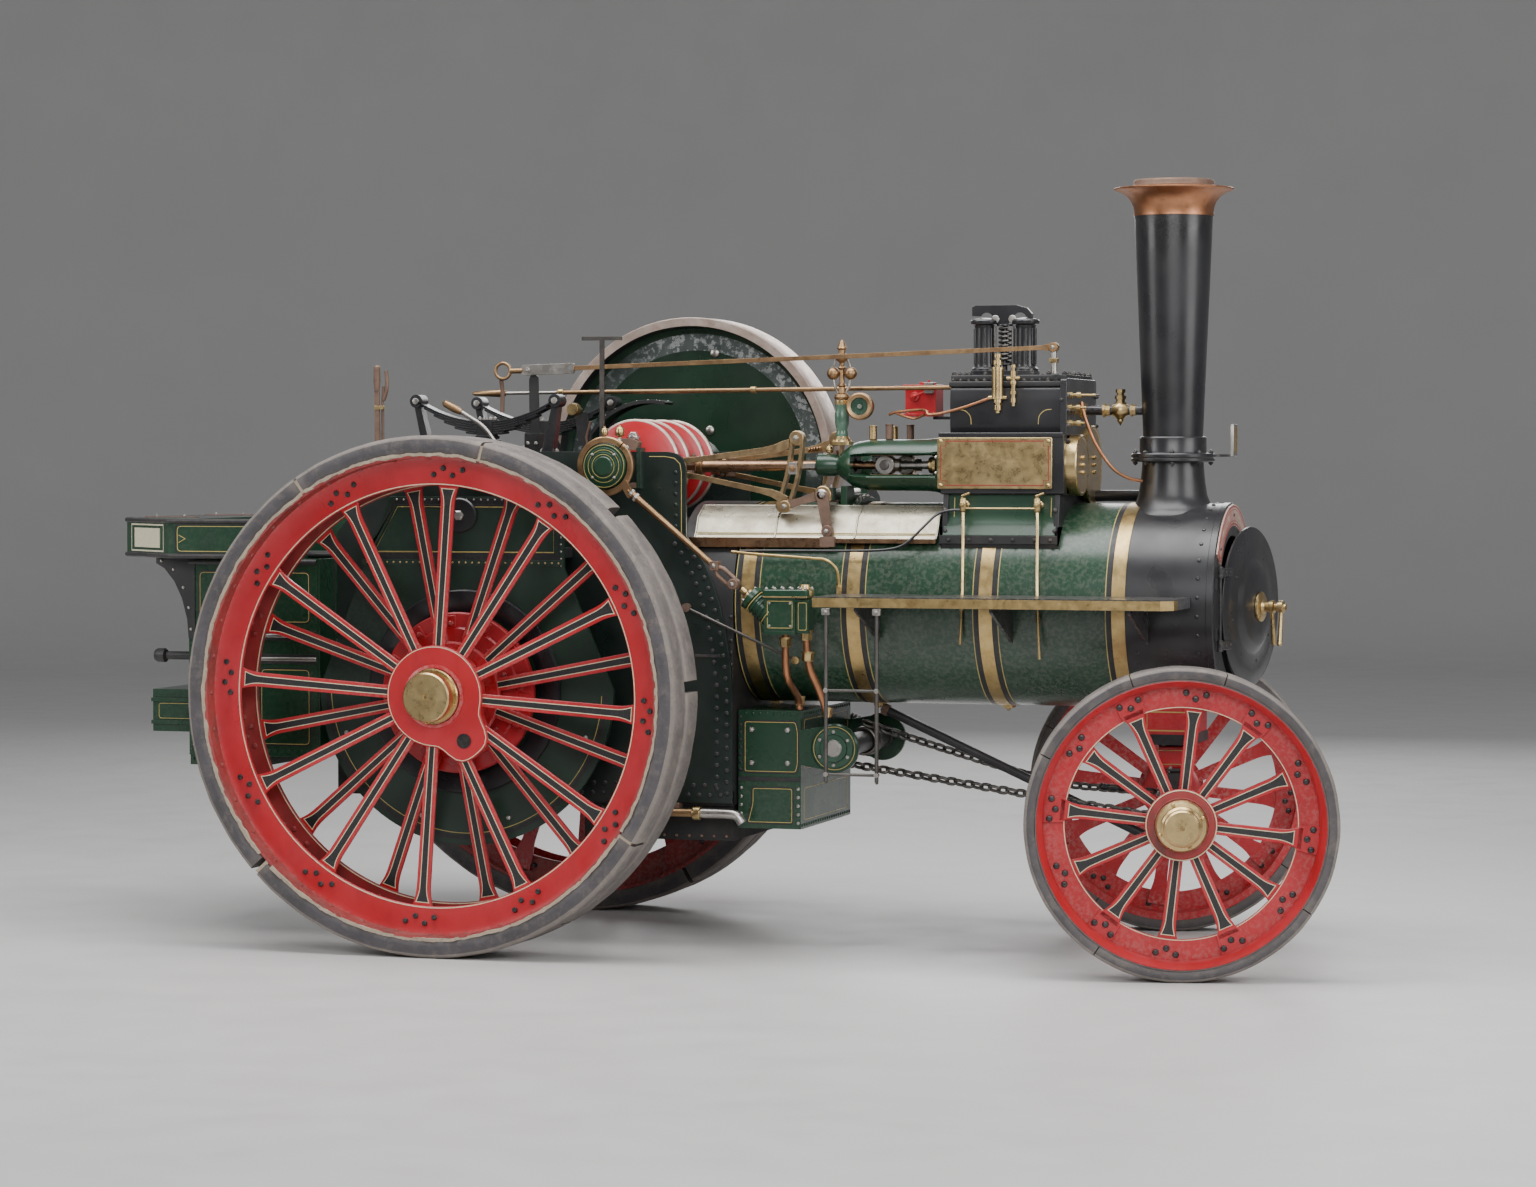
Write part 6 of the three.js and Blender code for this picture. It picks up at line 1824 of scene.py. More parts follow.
def hornplate(side, sign):
    """One side plate, with its riveted edge and lining; foot_pipe() draws the sight glass pipe at its foot.
    """
    kit = Kit()
    y0, y1 = sign * HORN_Y, sign * HORN_FACE
    gap = 0.042
    bottom = [(-0.650, 0.600), (1.088, 0.600), (1.088, 1.080), *front_edge()[1:], *shoulder(),
              (CRANK_X + gap, 2.035), (CRANK_X + gap, CRANK_Z)]
    notch = arc(CRANK_X, CRANK_Z, gap, 0, -180, 12)
    rest = [(CRANK_X - gap, 2.035), (-0.360, 2.035), (-0.650, 1.700)]
    kit.prism(bottom[:-1] + notch + rest, y0, y1, HORN_PAINT)
    way = (0, sign, 0)
    front_row = along([(1.066, y1, 0.64), (1.066, y1, 1.08)] + [(x - 0.024, y1, z - 0.004) for x,
                                                                z in front_edge()[1:]], 0.047)
    for spot in front_row:
        kit.rivet(spot, way, 0.0105, SATIN_BLACK)
    second = along([(1.024, y1, 0.66), (1.024, y1, 1.08)] + [(x - 0.066, y1, z - 0.010) for x,
                                                             z in front_edge()[1:]], 0.047)
    for spot in second:
        kit.rivet(spot, way, 0.0105, SATIN_BLACK)
    kit.rivets((0.30, y1, 0.632), (1.04, y1, 0.632), 17, way, 0.010, SATIN_BLACK)
    kit.rivets((0.30, y1, 0.672), (1.02, y1, 0.672), 16, way, 0.010, SATIN_BLACK)
    kit.rivets((0.848, y1, 1.73), (0.848, y1, 1.95), 6, way, 0.009, HORN_PAINT)
    edge_line = [(0.872, 1.700), (0.872, 1.950), (0.866, 1.985), (0.842, 2.008), (0.800, 2.015),
                 (CRANK_X + 0.13, 2.015)]
    kit.strip([(x, y1, z) for x, z in edge_line], way, 0.0032, YELLOW_LINE)
    kit.box(0.700, 1.040, *sorted((y1, y1 + sign * 0.004)), 1.196, 1.208, SATIN_BLACK)
    if sign < 0:
        kit.box(0.518, 0.536, -0.444, -0.430, 2.030, 2.494, OILY_STEEL)
        kit.box(0.441, 0.613, -0.445, -0.429, 2.492, 2.508, OILY_STEEL)
        kit.box(0.500, 0.560, -0.456, -0.430, 1.985, 2.040, SATIN_BLACK)
    piece(f"side_plate_{side}", "chassis", kit, (f"hornplate_{side}",), bevel=0.0015)


def foot_pipe():
    """The blow-down pipe along the foot of the firebox, with its brass collar and grey glass elbow."""
    kit = Kit()
    y, z = -0.470, 0.560
    kit.tube([(0.62, y, z), (0.93, y, z)], 0.017, BRONZE, sides=18)
    kit.lathe([(0, 0.93), (0.026, 0.93), (0.028, 0.936), (0.028, 0.962), (0.022, 0.966), (0, 0.966)], BRASS,
              (0, y, z),
              "x", 28)
    kit.tube(smooth_path([(0.960, y, z), (1.06, y, z), (1.115, y, z - 0.006), (1.140, y, z - 0.036)]),
             0.020,
             STEEL, sides=20)
    kit.lathe([(0, -0.004), (0.034, -0.004), (0.034, 0.012), (0, 0.012)], BRASS, (0.70, y, z), "x", 24)
    for x in (0.66, 0.86):
        kit.box(x - 0.010, x + 0.010, -0.470, -0.420, 0.578, 0.598, BROWN_IRON)
    piece("blow_down_pipe", "chassis", kit, bevel=0.0008)


def rear_spring(side, sign):
    """A leaf spring on the shelf at the top of the side plates, on its two legs."""
    kit = Kit()
    y0, y1 = sign * 0.350 - 0.036, sign * 0.350 + 0.036
    middle_y = sign * 0.350
    lift = -0.076

    def curve(x, drop):
        return 2.258 + lift * 1.28 * (1 - ((x + 0.010) / 0.318) ** 2) - drop

    reach = (0.306, 0.272, 0.228, 0.182, 0.134, 0.084)
    for k, half in enumerate(reach):
        xs = [-0.010 - half + 2 * half * i / 16 for i in range(17)]
        upper = [(x, curve(x, k * 0.0096)) for x in xs]
        lower = [(x, curve(x, k * 0.0096 + 0.0082)) for x in reversed(xs)]
        kit.prism(upper + lower, y0, y1, BLACK)
    for x in (-0.316, 0.300):
        z = 2.246
        kit.lathe([(0.012, y0), (0.028, y0), (0.028, y1), (0.012, y1)], BLACK, (x, 0, z), "y", 28)
        kit.stack((x, min(y0, y1), z), (0, -1, 0), [(0.0135, -0.070), (0.0135, 0.008), (0, 0.010)], STEEL,
                  18)
        kit.stack((x, max(y0, y1), z), (0, 1, 0), [(0.0135, -0.070), (0.0135, 0.008), (0, 0.010)], STEEL,
                  18)
    low = curve(-0.010, 0.058)
    kit.box(-0.048, 0.028, y0 - 0.006, y1 + 0.006, low - 0.016, low, BLACK)
    kit.box(-0.042, 0.022, y0 - 0.005, y1 + 0.005, low, curve(-0.010, 0) + 0.008, BLACK)
    for x in (-0.034, 0.014):
        for y in (y0 + 0.010, y1 - 0.010):
            kit.bolt((x, y, curve(-0.010, 0) + 0.008), (0, 0, 1), 0.009, STEEL)
    kit.prism([(-0.058, low - 0.016), (0.038, low - 0.016), (0.060, 2.036), (-0.080, 2.036)],
              middle_y - 0.028,
              middle_y + 0.028, BLACK)
    kit.prism([(-0.330, 2.236), (-0.302, 2.236), (-0.252, 2.034), (-0.288, 2.034)], y0 + 0.010, y1 - 0.010,
              BLACK)
    kit.prism([(0.286, 2.236), (0.314, 2.236), (0.288, 2.034), (0.238, 2.034)], y0 + 0.010, y1 - 0.010,
              BLACK)
    shelf = sorted((sign * 0.4297, sign * 0.310))
    kit.box(-0.340, 0.330, *shelf, 2.010, 2.035, BLACK)
    for x in (-0.300, -0.240, 0.232, 0.296):
        kit.bolt((x, middle_y, 2.035), (0, 0, 1), 0.010, STEEL)
    piece(f"leaf_spring_{side}", "chassis", kit, (f"rear_spring_{side}",), bevel=0.0012)


def gear_guard():
    """The big near-side cover of the final gears, between the wheel and the side plate."""
    kit = Kit()
    round_part = arc(0, 1.062, 0.645, 180, 360, 56)
    outline = round_part + [(0.430, 1.560), (0.430, 1.850), (-0.330, 1.850)]
    ring_in = arc(0, 1.050, 0.155, 360, 180, 28)
    kit.prism(outline[:len(round_part)] + [(0.156, 1.062)] + [(a, b) for a,
                                                              b in ring_in[1:-1]] + [(-0.156, 1.062)],
              -0.616, -0.638, GREEN_DARK)
    ring_up = arc(0, 1.050, 0.155, 180, 0, 28)
    kit.prism([(-0.645, 1.061), (-0.156, 1.061), *ring_up[1:-1], (0.156, 1.061), (0.645, 1.061),
               (0.430, 1.560),
               (0.430, 1.850), (-0.330, 1.850)], -0.616, -0.638, GREEN_DARK)
    way = (0, -1, 0)
    kit.box(-0.455, 0.430, -0.6405, -0.638, 1.568, 1.592, GREEN_DARK)
    kit.rivets((-0.43, -0.6405, 1.580), (0.41, -0.6405, 1.580), 30, way, 0.0045, BRASS)
    border = [(-0.310, 1.832), (0.412, 1.832), (0.412, 1.600), (-0.440, 1.600)]
    lining(kit, border, -0.638, way, gap=0.018, wide=0.003)
    kit.frame_line(border, -0.638, way, 0.020, BLACK_LINE, "xz", 0.0005)
    kit.rivets((-0.30, -0.638, 1.838), (0.41, -0.638, 1.838), 24, way, 0.0045, STEEL)
    kit.rivets((0.420, -0.638, 1.57), (0.420, -0.638, 1.83), 10, way, 0.0045, STEEL)
    low = arc(0, 1.062, 0.612, 182, 358, 56)
    kit.strip([(x, -0.638, z) for x, z in low], way, 0.018, BLACK_LINE, 0.0005)
    kit.strip([(x, -0.638, z) for x, z in arc(0, 1.062, 0.595, 182, 358, 56)], way, 0.003, YELLOW_LINE)
    kit.lathe([(0.330, -0.638), (0.420, -0.638), (0.420, -0.650), (0.414, -0.655), (0.342, -0.655),
               (0.330, -0.648)],
              BLACK, (0, 0, REAR_CENTRE_Z), "y", 88)
    kit.lathe([(0, -0.444), (0.050, -0.444), (0.050, -0.636), (0.070, -0.640), (0.072, -0.650),
               (0.066, -0.656),
               (0.030, -0.657), (0, -0.657)], BLACK, (-0.017, 0, 1.774), "y", 40)
    kit.stack((-0.017, -0.657, 1.774), way, [(0.022, -0.002), (0.022, 0.010), (0.016, 0.014), (0, 0.014)],
              STEEL, 6)
    kit.box(-0.34, -0.29, -0.616, -0.446, 1.70, 1.74, SATIN_BLACK)
    kit.box(0.36, 0.40, -0.616, -0.446, 1.60, 1.64, SATIN_BLACK)
    for a in (200, 250, 290, 340):
        x, z = 0.56 * math.cos(math.radians(a)), 1.062 + 0.56 * math.sin(math.radians(a))
        kit.tube([(x, -0.446, z), (x, -0.618, z)], 0.012, SATIN_BLACK)
        kit.bolt((x, -0.638, z), way, 0.010, STEEL)
    piece("gear_cover_plate", "chassis", kit, ("gear_guard",), bevel=0.0012)


def rear_axle():
    kit = Kit()
    low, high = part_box("rear_axle")
    r = 0.0745
    kit.lathe([(0, low.y), (r - 0.006, low.y), (r, low.y + 0.006), (r, -0.46), (r + 0.0, 0.46),
               (r, high.y - 0.006),
               (r - 0.006, high.y), (0, high.y)], OILY_STEEL, (0, 0, REAR_CENTRE_Z), "y", 48)
    piece("rear_axle_shaft", "chassis", kit, ("rear_axle",), bevel=0.001)


# ---- tender -------------------------------------------------------------------------------------
def footplate():
    kit = Kit()
    kit.box(-0.899, 0.379, -0.429, 0.429, 0.800, 0.812, SATIN_BLACK)
    for i in range(26):
        x = -0.88 + 0.049 * i
        for k in range(9):
            y = -0.40 + 0.1 * k + (0.05 if i % 2 else 0)
            if y < 0.42:
                kit.tube([(x, y - 0.012, 0.8125), (x + 0.018, y + 0.012, 0.8125)], [0.004, 0.004],
                         SATIN_BLACK, sides=6)
    kit.box(-0.899, -0.880, -0.429, 0.429, 0.812, 0.820, BROWN_IRON)
    piece("footplate_deck", "chassis", kit, ("footplate",), bevel=0.0008)


def arrow_panel(kit, x0, x1, z0, z1, y, sign):
    """A lined panel with small pointed ornaments in the middle of its ends."""
    way = (0, sign, 0)
    kit.prism(rectangle(x0 - 0.006, x1 + 0.006, z0 - 0.006, z1 + 0.006), y, y + sign * 0.0008, GREEN)
    kit.frame_line(rounded(rectangle(x0, x1, z0, z1), 0.018, 4), y + sign * 0.0008, way, 0.006, BLACK_LINE)
    inner = rounded(rectangle(x0 + 0.008, x1 - 0.008, z0 + 0.008, z1 - 0.008), 0.018, 4)
    kit.frame_line(inner, y + sign * 0.0008, way, 0.003, YELLOW_LINE)
    middle_z = (z0 + z1) / 2
    for x, out in ((x0 + 0.014, 1), (x1 - 0.014, -1)):
        tip = [(x, y + sign * 0.0008, middle_z + 0.016), (x + out * 0.030, y + sign * 0.0008, middle_z),
               (x, y + sign * 0.0008, middle_z - 0.016)]
        kit.strip(tip, way, 0.0028, YELLOW_LINE)


def tender_tank():
    """The water tank under the footplate: near panels with lining, beams, riveted edge, drawbar box."""
    kit = Kit()
    for sign in (-1, 1):
        kit.box(-1.252, -0.900, *sorted((sign * 0.598, sign * 0.606)), 0.720, 1.198, GREEN)
        kit.rivets((-1.238, sign * 0.606, 0.742), (-0.918, sign * 0.606, 0.742), 12, (0, sign, 0), 0.006,
                   GREEN)
        kit.rivets((-1.238, sign * 0.606, 0.745), (-1.238, sign * 0.606, 1.17), 14, (0, sign, 0), 0.006,
                   GREEN)
        panel = rounded(rectangle(-1.215, -0.925, 0.775, 1.135), 0.03, 4)
        lining(kit, panel, sign * 0.606, (0, sign, 0))
        kit.tube([(-1.250, sign * 0.603, 1.184), (-0.904, sign * 0.603, 1.184)], 0.012, SATIN_BLACK)
    kit.box(-1.252, -0.900, -0.600, 0.600, 0.722, 1.199, GREEN)
    back_panel = rounded(rectangle(-0.54, 0.54, 1.05, 1.16), 0.02, 4)
    kit.frame_line(back_panel, -1.252, (-1, 0, 0), 0.003, YELLOW_LINE, "yz")
    kit.rivets((-1.252, -0.58, 0.745), (-1.252, 0.58, 0.745), 30, (-1, 0, 0), 0.006, GREEN)
    kit.rivets((-1.252, -0.58, 1.180), (-1.252, 0.58, 1.180), 30, (-1, 0, 0), 0.006, GREEN)
    piece("tender_water_tank", "chassis", kit, ("tender_tank",), bevel=0.002)
    draw = Kit()
    outline = [(-1.549, 0.838), (-1.250, 0.838), (-1.250, 1.019), (-1.549, 1.019)]
    draw.prism(outline, -0.349, 0.349, GREEN)
    for z in (0.878, 0.974):
        draw.box(-1.553, -1.254, -0.359, 0.359, z - 0.008, z + 0.008, GREEN)
    for sign in (-1, 1):
        inner = rounded(rectangle(-1.52, -1.31, 0.894, 0.958), 0.012, 3)
        draw.frame_line(inner, sign * 0.349, (0, sign, 0), 0.003, YELLOW_LINE)
    draw.frame_line(rounded(rectangle(-0.31, 0.31, 0.894, 0.958), 0.012, 3), -1.549, (-1, 0, 0), 0.003,
                    YELLOW_LINE, "yz")
    draw.lathe([(0.018, 1.019), (0.044, 1.019), (0.044, 1.026), (0.018, 1.026)], BROWN_IRON, (-1.50, 0, 0),
               "z", 32)
    draw.lathe([(0, 1.020), (0.017, 1.020), (0.017, 1.090), (0.030, 1.092), (0.030, 1.104), (0, 1.106)],
               STEEL,
               (-1.50, 0, 0), "z", 28)
    for y in (-0.30, -0.16, 0.16, 0.30):
        draw.bolt((-1.550, y, 0.856), (-1, 0, 0), 0.011, STEEL)
        draw.bolt((-1.550, y, 1.000), (-1, 0, 0), 0.011, STEEL)
    piece("drawbar_box", "chassis", draw, bevel=0.002)
    hose = Kit()
    hose.tube([(-1.248, -0.450, 1.170), (-1.435, -0.450, 1.170)], 0.0175, SATIN_BLACK, sides=18)
    hose.stack((-1.432, -0.450, 1.170), (-1, 0, 0), [(0.022, 0), (0.030, 0.006), (0.030, 0.040),
                                                     (0.024, 0.052),
                                                     (0.010, 0.058), (0, 0.058)], SATIN_BLACK, 26)
    hose.stack((-1.253, -0.450, 1.170), (-1, 0, 0), [(0.030, 0), (0.030, 0.010), (0, 0.010)], BRASS, 24)
    piece("water_lifter_hose", "chassis", hose, bevel=0.0006)


def tender_sides():
    kit = Kit()
    for sign in (-1, 1):
        y0, y1 = sorted((sign * 0.6055, sign * 0.616))
        face = sign * 0.616
        way = (0, sign, 0)
        kit.box(-1.252, -0.666, y0, y1, 0.762, 1.589, GREEN)
        kit.tube([(-1.25, sign * 0.610, 1.574), (-0.67, sign * 0.610, 1.574)], 0.014, SATIN_BLACK, sides=14)
        for z in (1.268, 1.170):
            kit.tube([(-1.195, sign * 0.612, z), (-0.672, sign * 0.612, z)], 0.010, STEEL, sides=12)
            kit.box(-1.195, -0.672, *sorted((face - sign * 0.002, face + sign * 0.002)), z - 0.020,
                    z + 0.020, SATIN_BLACK)
        for z0, z1 in ((1.320, 1.535), (0.810, 1.130)):
            lining(kit, rounded(rectangle(-1.205, -0.955, z0, z1), 0.024, 4), face, way)
            lining(kit, rounded(rectangle(-0.925, -0.700, z0, z1), 0.024, 4), face, way)
        kit.rivets((-1.240, face, 0.785), (-0.680, face, 0.785), 20, way, 0.006, GREEN)
        kit.rivets((-1.236, face, 0.80), (-1.236, face, 1.56), 24, way, 0.006, SATIN_BLACK)
        bracket = [(-1.400, 1.588), (-1.222, 1.588), (-1.222, 1.250), (-1.252, 1.250), (-1.258, 1.330),
                   (-1.282, 1.420),
                   (-1.316, 1.490), (-1.362, 1.545), (-1.400, 1.566)]
        kit.prism(bracket, face - sign * 0.006, face + sign * 0.004, SATIN_BLACK)
        for x, z in ((-1.375, 1.576), (-1.320, 1.540), (-1.275, 1.465), (-1.250, 1.380), (-1.240, 1.290)):
            kit.rivet((x, face + sign * 0.004, z), way, 0.007, STEEL)
        edge = sorted((sign * 0.445, sign * 0.616))
        kit.box(-0.6645, -0.655, *edge, 0.801, 1.589, GREEN)
        kit.rivets((-0.6645, sign * 0.600, 0.84), (-0.6645, sign * 0.600, 1.56), 20, (-1, 0, 0), 0.005,
                   GREEN)
        kit.tube([(-0.660, sign * 0.452, 0.81), (-0.660, sign * 0.452, 1.58)], 0.008, SATIN_BLACK)
    kit.box(-1.252, -1.242, -0.607, 0.607, 1.2015, 1.589, GREEN)
    way = (-1, 0, 0)
    lining(kit, rounded(rectangle(-0.55, 0.55, 1.25, 1.54), 0.03, 4), -1.252, way, "yz")
    kit.rivets((-1.252, -0.58, 1.222), (-1.252, 0.58, 1.222), 28, way, 0.006, GREEN)
    for sign in (-1, 1):
        kit.rivets((-1.252, sign * 0.595, 1.24), (-1.252, sign * 0.595, 1.55), 10, way, 0.006, SATIN_BLACK)
    piece("tender_side_sheets", "chassis", kit, ("tender_sides",), bevel=0.0015)


def tender_locker():
    """The locker that overhangs the tender, with lined panels, beads and a blank cream plate."""
    kit = Kit()
    z0, z1 = 1.592, 1.754
    near = [(-1.618, -0.448), (-1.295, -0.719), (-0.862, -0.719), (-0.862, -0.602), (-1.250, -0.602),
            (-1.250, 0.602),
            (-0.862, 0.602), (-0.862, 0.719), (-1.295, 0.719), (-1.618, 0.448)]
    kit.prism(near, z0, z1, GREEN, plane="xy")
    bead = [(-0.864, -0.718), (-1.295, -0.718), (-1.617, -0.448), (-1.617, 0.448), (-1.295, 0.718),
            (-0.864, 0.718)]
    for z in (z0 + 0.008, z1 - 0.008):
        path = [(x, y, z) for x, y in bead]
        kit.tube(path, 0.0105, SATIN_BLACK, sides=14)
    for sign in (-1, 1):
        arrow_panel(kit, -1.262, -0.892, 1.612, 1.732, sign * 0.719, sign)
        a, b = Vector((-1.618, sign * 0.448, 0)), Vector((-1.295, sign * 0.719, 0))
        flow = (b - a).normalized()
        way = Vector((-flow.y, flow.x, 0)) * (1 if sign < 0 else -1)
        way = way if way.x < 0 else -way
        low, high = a + flow * 0.05 + way * 0.001, b - flow * 0.05 + way * 0.001
        frame_path = [(low.x, low.y, 1.618), (high.x, high.y, 1.618), (high.x, high.y, 1.728),
                      (low.x, low.y, 1.728)]
        kit.strip(frame_path, way, 0.005, NOTICE if sign < 0 else YELLOW_LINE, closed=True)
        if sign < 0:
            c, d = a + flow * 0.085 + way * 0.001, b - flow * 0.085 + way * 0.001
            middle_z = 1.673
            kit.strip([(c.x, c.y, middle_z), (d.x, d.y, middle_z)], way, 0.082, NOTICE, 0.0022)
            for end in (c, d):
                step = flow * (0.008 if end is c else -0.008)
                for z in (middle_z - 0.032, middle_z + 0.032):
                    kit.rivet((end.x + step.x, end.y + step.y, z), way, 0.0035, BRASS)
    kit.frame_line(rounded(rectangle(-0.40, 0.40, 1.616, 1.730), 0.02, 4), -1.618, (-1, 0, 0), 0.004,
                   YELLOW_LINE, "yz")
    piece("tender_locker_shell", "chassis", kit, ("tender_locker",), bevel=0.002)
    rail = Kit()
    rail.prism([(-1.60, 1.754), (-1.27, 1.754), (-1.27, 1.7553), (-1.60, 1.7553)], -0.41, 0.41, SATIN_BLACK)
    for y in (-0.30, 0.30):
        rail.box(-1.60, -1.36, y - 0.018, y + 0.018, 1.7553, 1.7590, BROWN_IRON)
        rail.bolt((-1.55, y, 1.7590), (0, 0, 1), 0.006, STEEL)
        rail.bolt((-1.42, y, 1.7590), (0, 0, 1), 0.006, STEEL)
    piece("locker_lid", "chassis", rail, bevel=0.0008)


def reversing_lever():
    kit = Kit()
    kit.prism([(-0.509, 1.300), (-0.471, 1.300), (-0.485, 2.300), (-0.505, 2.300)], -0.383, -0.371,
              BROWN_IRON)
    kit.tube([(-0.495, -0.377, 2.290), (-0.495, -0.377, 2.330), (-0.495, -0.377, 2.390),
              (-0.495, -0.377, 2.399)],
             [0.011, 0.015, 0.014, 0.006], BROWN_IRON, sides=20)
    kit.tube([(-0.478, -0.372, 1.62), (-0.474, -0.366, 1.95), (-0.474, -0.366, 2.25),
              (-0.470, -0.366, 2.31)], 0.006, BROWN_IRON)
    kit.tube(smooth_path([(-0.470, -0.366, 2.25), (-0.455, -0.366, 2.30), (-0.458, -0.366, 2.375)]), 0.008,
             BROWN_IRON)
    for z in (1.64, 1.96, 2.22):
        kit.box(-0.506, -0.466, -0.386, -0.362, z - 0.008, z + 0.008, BRASS)
    kit.prism(rounded([(-0.558, 1.242), (-0.422, 1.242), (-0.422, 1.286), (-0.450, 1.301), (-0.530, 1.301),
                       (-0.558, 1.286)],
                      0.008, 3), -0.399, -0.346, BROWN_IRON)
    pin_boss(kit, -0.490, 1.316, -0.396, -0.360, 0.022, STEEL)
    quadrant = arc(-0.49, 1.30, 0.330, 62, 118, 20) + arc(-0.49, 1.30, 0.305, 118, 62, 20)
    kit.prism(quadrant, -0.396, -0.386, BROWN_IRON)
    for a in range(66, 116, 6):
        c, s = math.cos(math.radians(a)), math.sin(math.radians(a))
        kit.box(-0.49 + 0.334 * c - 0.004, -0.49 + 0.334 * c + 0.004, -0.395, -0.387, 1.30 + 0.322 * s,
                1.30 + 0.336 * s,
                BROWN_IRON)
    piece("reversing_hand_lever", "chassis", kit, ("reversing_lever",), bevel=0.001)


HORN_PAINT = paint("dark side plate paint", (0.006, 0.014, 0.010), (0.016, 0.026, 0.022),
                   (0.010, 0.009, 0.009),
                   (0.05, 0.045, 0.04), (0.26, 0.48), 0.5, 0.68)

firebox()
foot_pipe()
gear_guard()
rear_axle()
footplate()
tender_tank()
tender_sides()
tender_locker()
reversing_lever()
for one_side, way_out in SIDES:
    hornplate(one_side, way_out)
    rear_spring(one_side, way_out)
# ---- feed pump ----------------------------------------------------------------------------------
PUMP_Y = -0.540


def feed_pump():
    """The boiler feed pump: square body and valve box, barrel with its gland, lining and studs."""
    kit = Kit()
    kit.box(1.268, 1.400, -0.588, -0.488, 1.302, 1.450, GREEN)
    kit.box(1.400, 1.453, -0.576, -0.498, 1.304, 1.440, GREEN)
    kit.box(1.267, 1.453, -0.599, -0.481, 1.448, 1.454, BRASS)
    kit.prism(rounded(rectangle(1.266, 1.454, -0.599, -0.481), 0.012, 4), 1.454, 1.480, GREEN, plane="xy",
              bevel=0.003)
    kit.prism(rounded(rectangle(1.268, 1.402, -0.597, -0.483), 0.010, 4), 1.300, 1.314, GREEN, plane="xy")
    for x in (1.280, 1.316, 1.352, 1.388, 1.424, 1.444):
        kit.bolt((x, -0.588, 1.480), (0, 0, 1), 0.008, STEEL)
        kit.bolt((x, -0.494, 1.480), (0, 0, 1), 0.008, STEEL)
    panel = rectangle(1.284, 1.388, 1.326, 1.434)
    kit.frame_line(rounded(panel, 0.006, 3), -0.588, (0, -1, 0), 0.003, YELLOW_LINE)
    kit.frame_line(rounded(rectangle(1.410, 1.444, 1.318, 1.428), 0.006, 3), -0.576, (0, -1, 0), 0.003,
                   YELLOW_LINE)
    for x in (1.292, 1.380):
        for z in (1.334, 1.426):
            kit.bolt((x, -0.588, z), (0, -1, 0), 0.006, STEEL)
    kit.lathe([(0, 1.450), (0.030, 1.450), (0.036, 1.458), (0.036, 1.478), (0.024, 1.484), (0.020, 1.500),
               (0, 1.502)],
              BRASS, (1.427, PUMP_Y, 0), "z", 28)
    kit.box(1.302, 1.398, -0.492, -0.417, 1.352, 1.448, GREEN)
    kit.prism(rounded(rectangle(1.290, 1.410, 1.336, 1.464), 0.016, 4), -0.417, -0.430, GREEN)
    for x in (1.304, 1.396):
        for z in (1.350, 1.450):
            kit.bolt((x, -0.430, z), (0, -1, 0), 0.008, STEEL)
    foot = Vector((1.300, PUMP_Y, 1.360))
    mouth = Vector((1.195, PUMP_Y, 1.450))
    way = (mouth - foot).normalized()
    length = (mouth - foot).length
    barrel = [(0.046, -0.030)]
    for k in range(5):
        start = 0.006 + k * 0.019
        barrel += [(0.042, start), (0.042, start + 0.009), (0.050, start + 0.011), (0.050, start + 0.017)]
    barrel += [(0.042, length - 0.034), (0.042, length - 0.026), (0.052, length - 0.022), (0.052, length),
               (0, length)]
    kit.stack(foot, way, barrel, GREEN, 32)
    kit.stack(mouth, way, [(0.030, -0.004), (0.030, 0.012), (0.022, 0.020), (0.014, 0.022), (0.014, 0.046),
                           (0, 0.046)], BRASS, 28)
    for k in range(6):
        a = math.radians(60 * k)
        side = Vector((way.z, 0, -way.x))
        spot = mouth + side * 0.041 * math.cos(a) + Vector((0, 0.041 * math.sin(a), 0))
        kit.bolt(spot, way, 0.007, STEEL)
    for t in (0.028, length - 0.030):
        ring_spot = foot + way * t
        kit.stack(ring_spot, way, [(0.0512, -0.0015), (0.0512, 0.0015), (0, 0.0015)], YELLOW_LINE, 32)
    piece("feed_pump_body", "chassis", kit, ("feed_pump",), bevel=0.0012)


def union(kit, spot, way, radius=0.024):
    """A brass pipe union: collar and hexagon nut."""
    kit.stack(spot, way, [(radius, -0.018), (radius, 0.010), (radius * 0.84, 0.014), (0, 0.014)], BRASS, 6)
    kit.stack(spot, way, [(radius * 1.12, -0.026), (radius * 1.12, -0.018), (0, -0.018)], BRASS, 24)


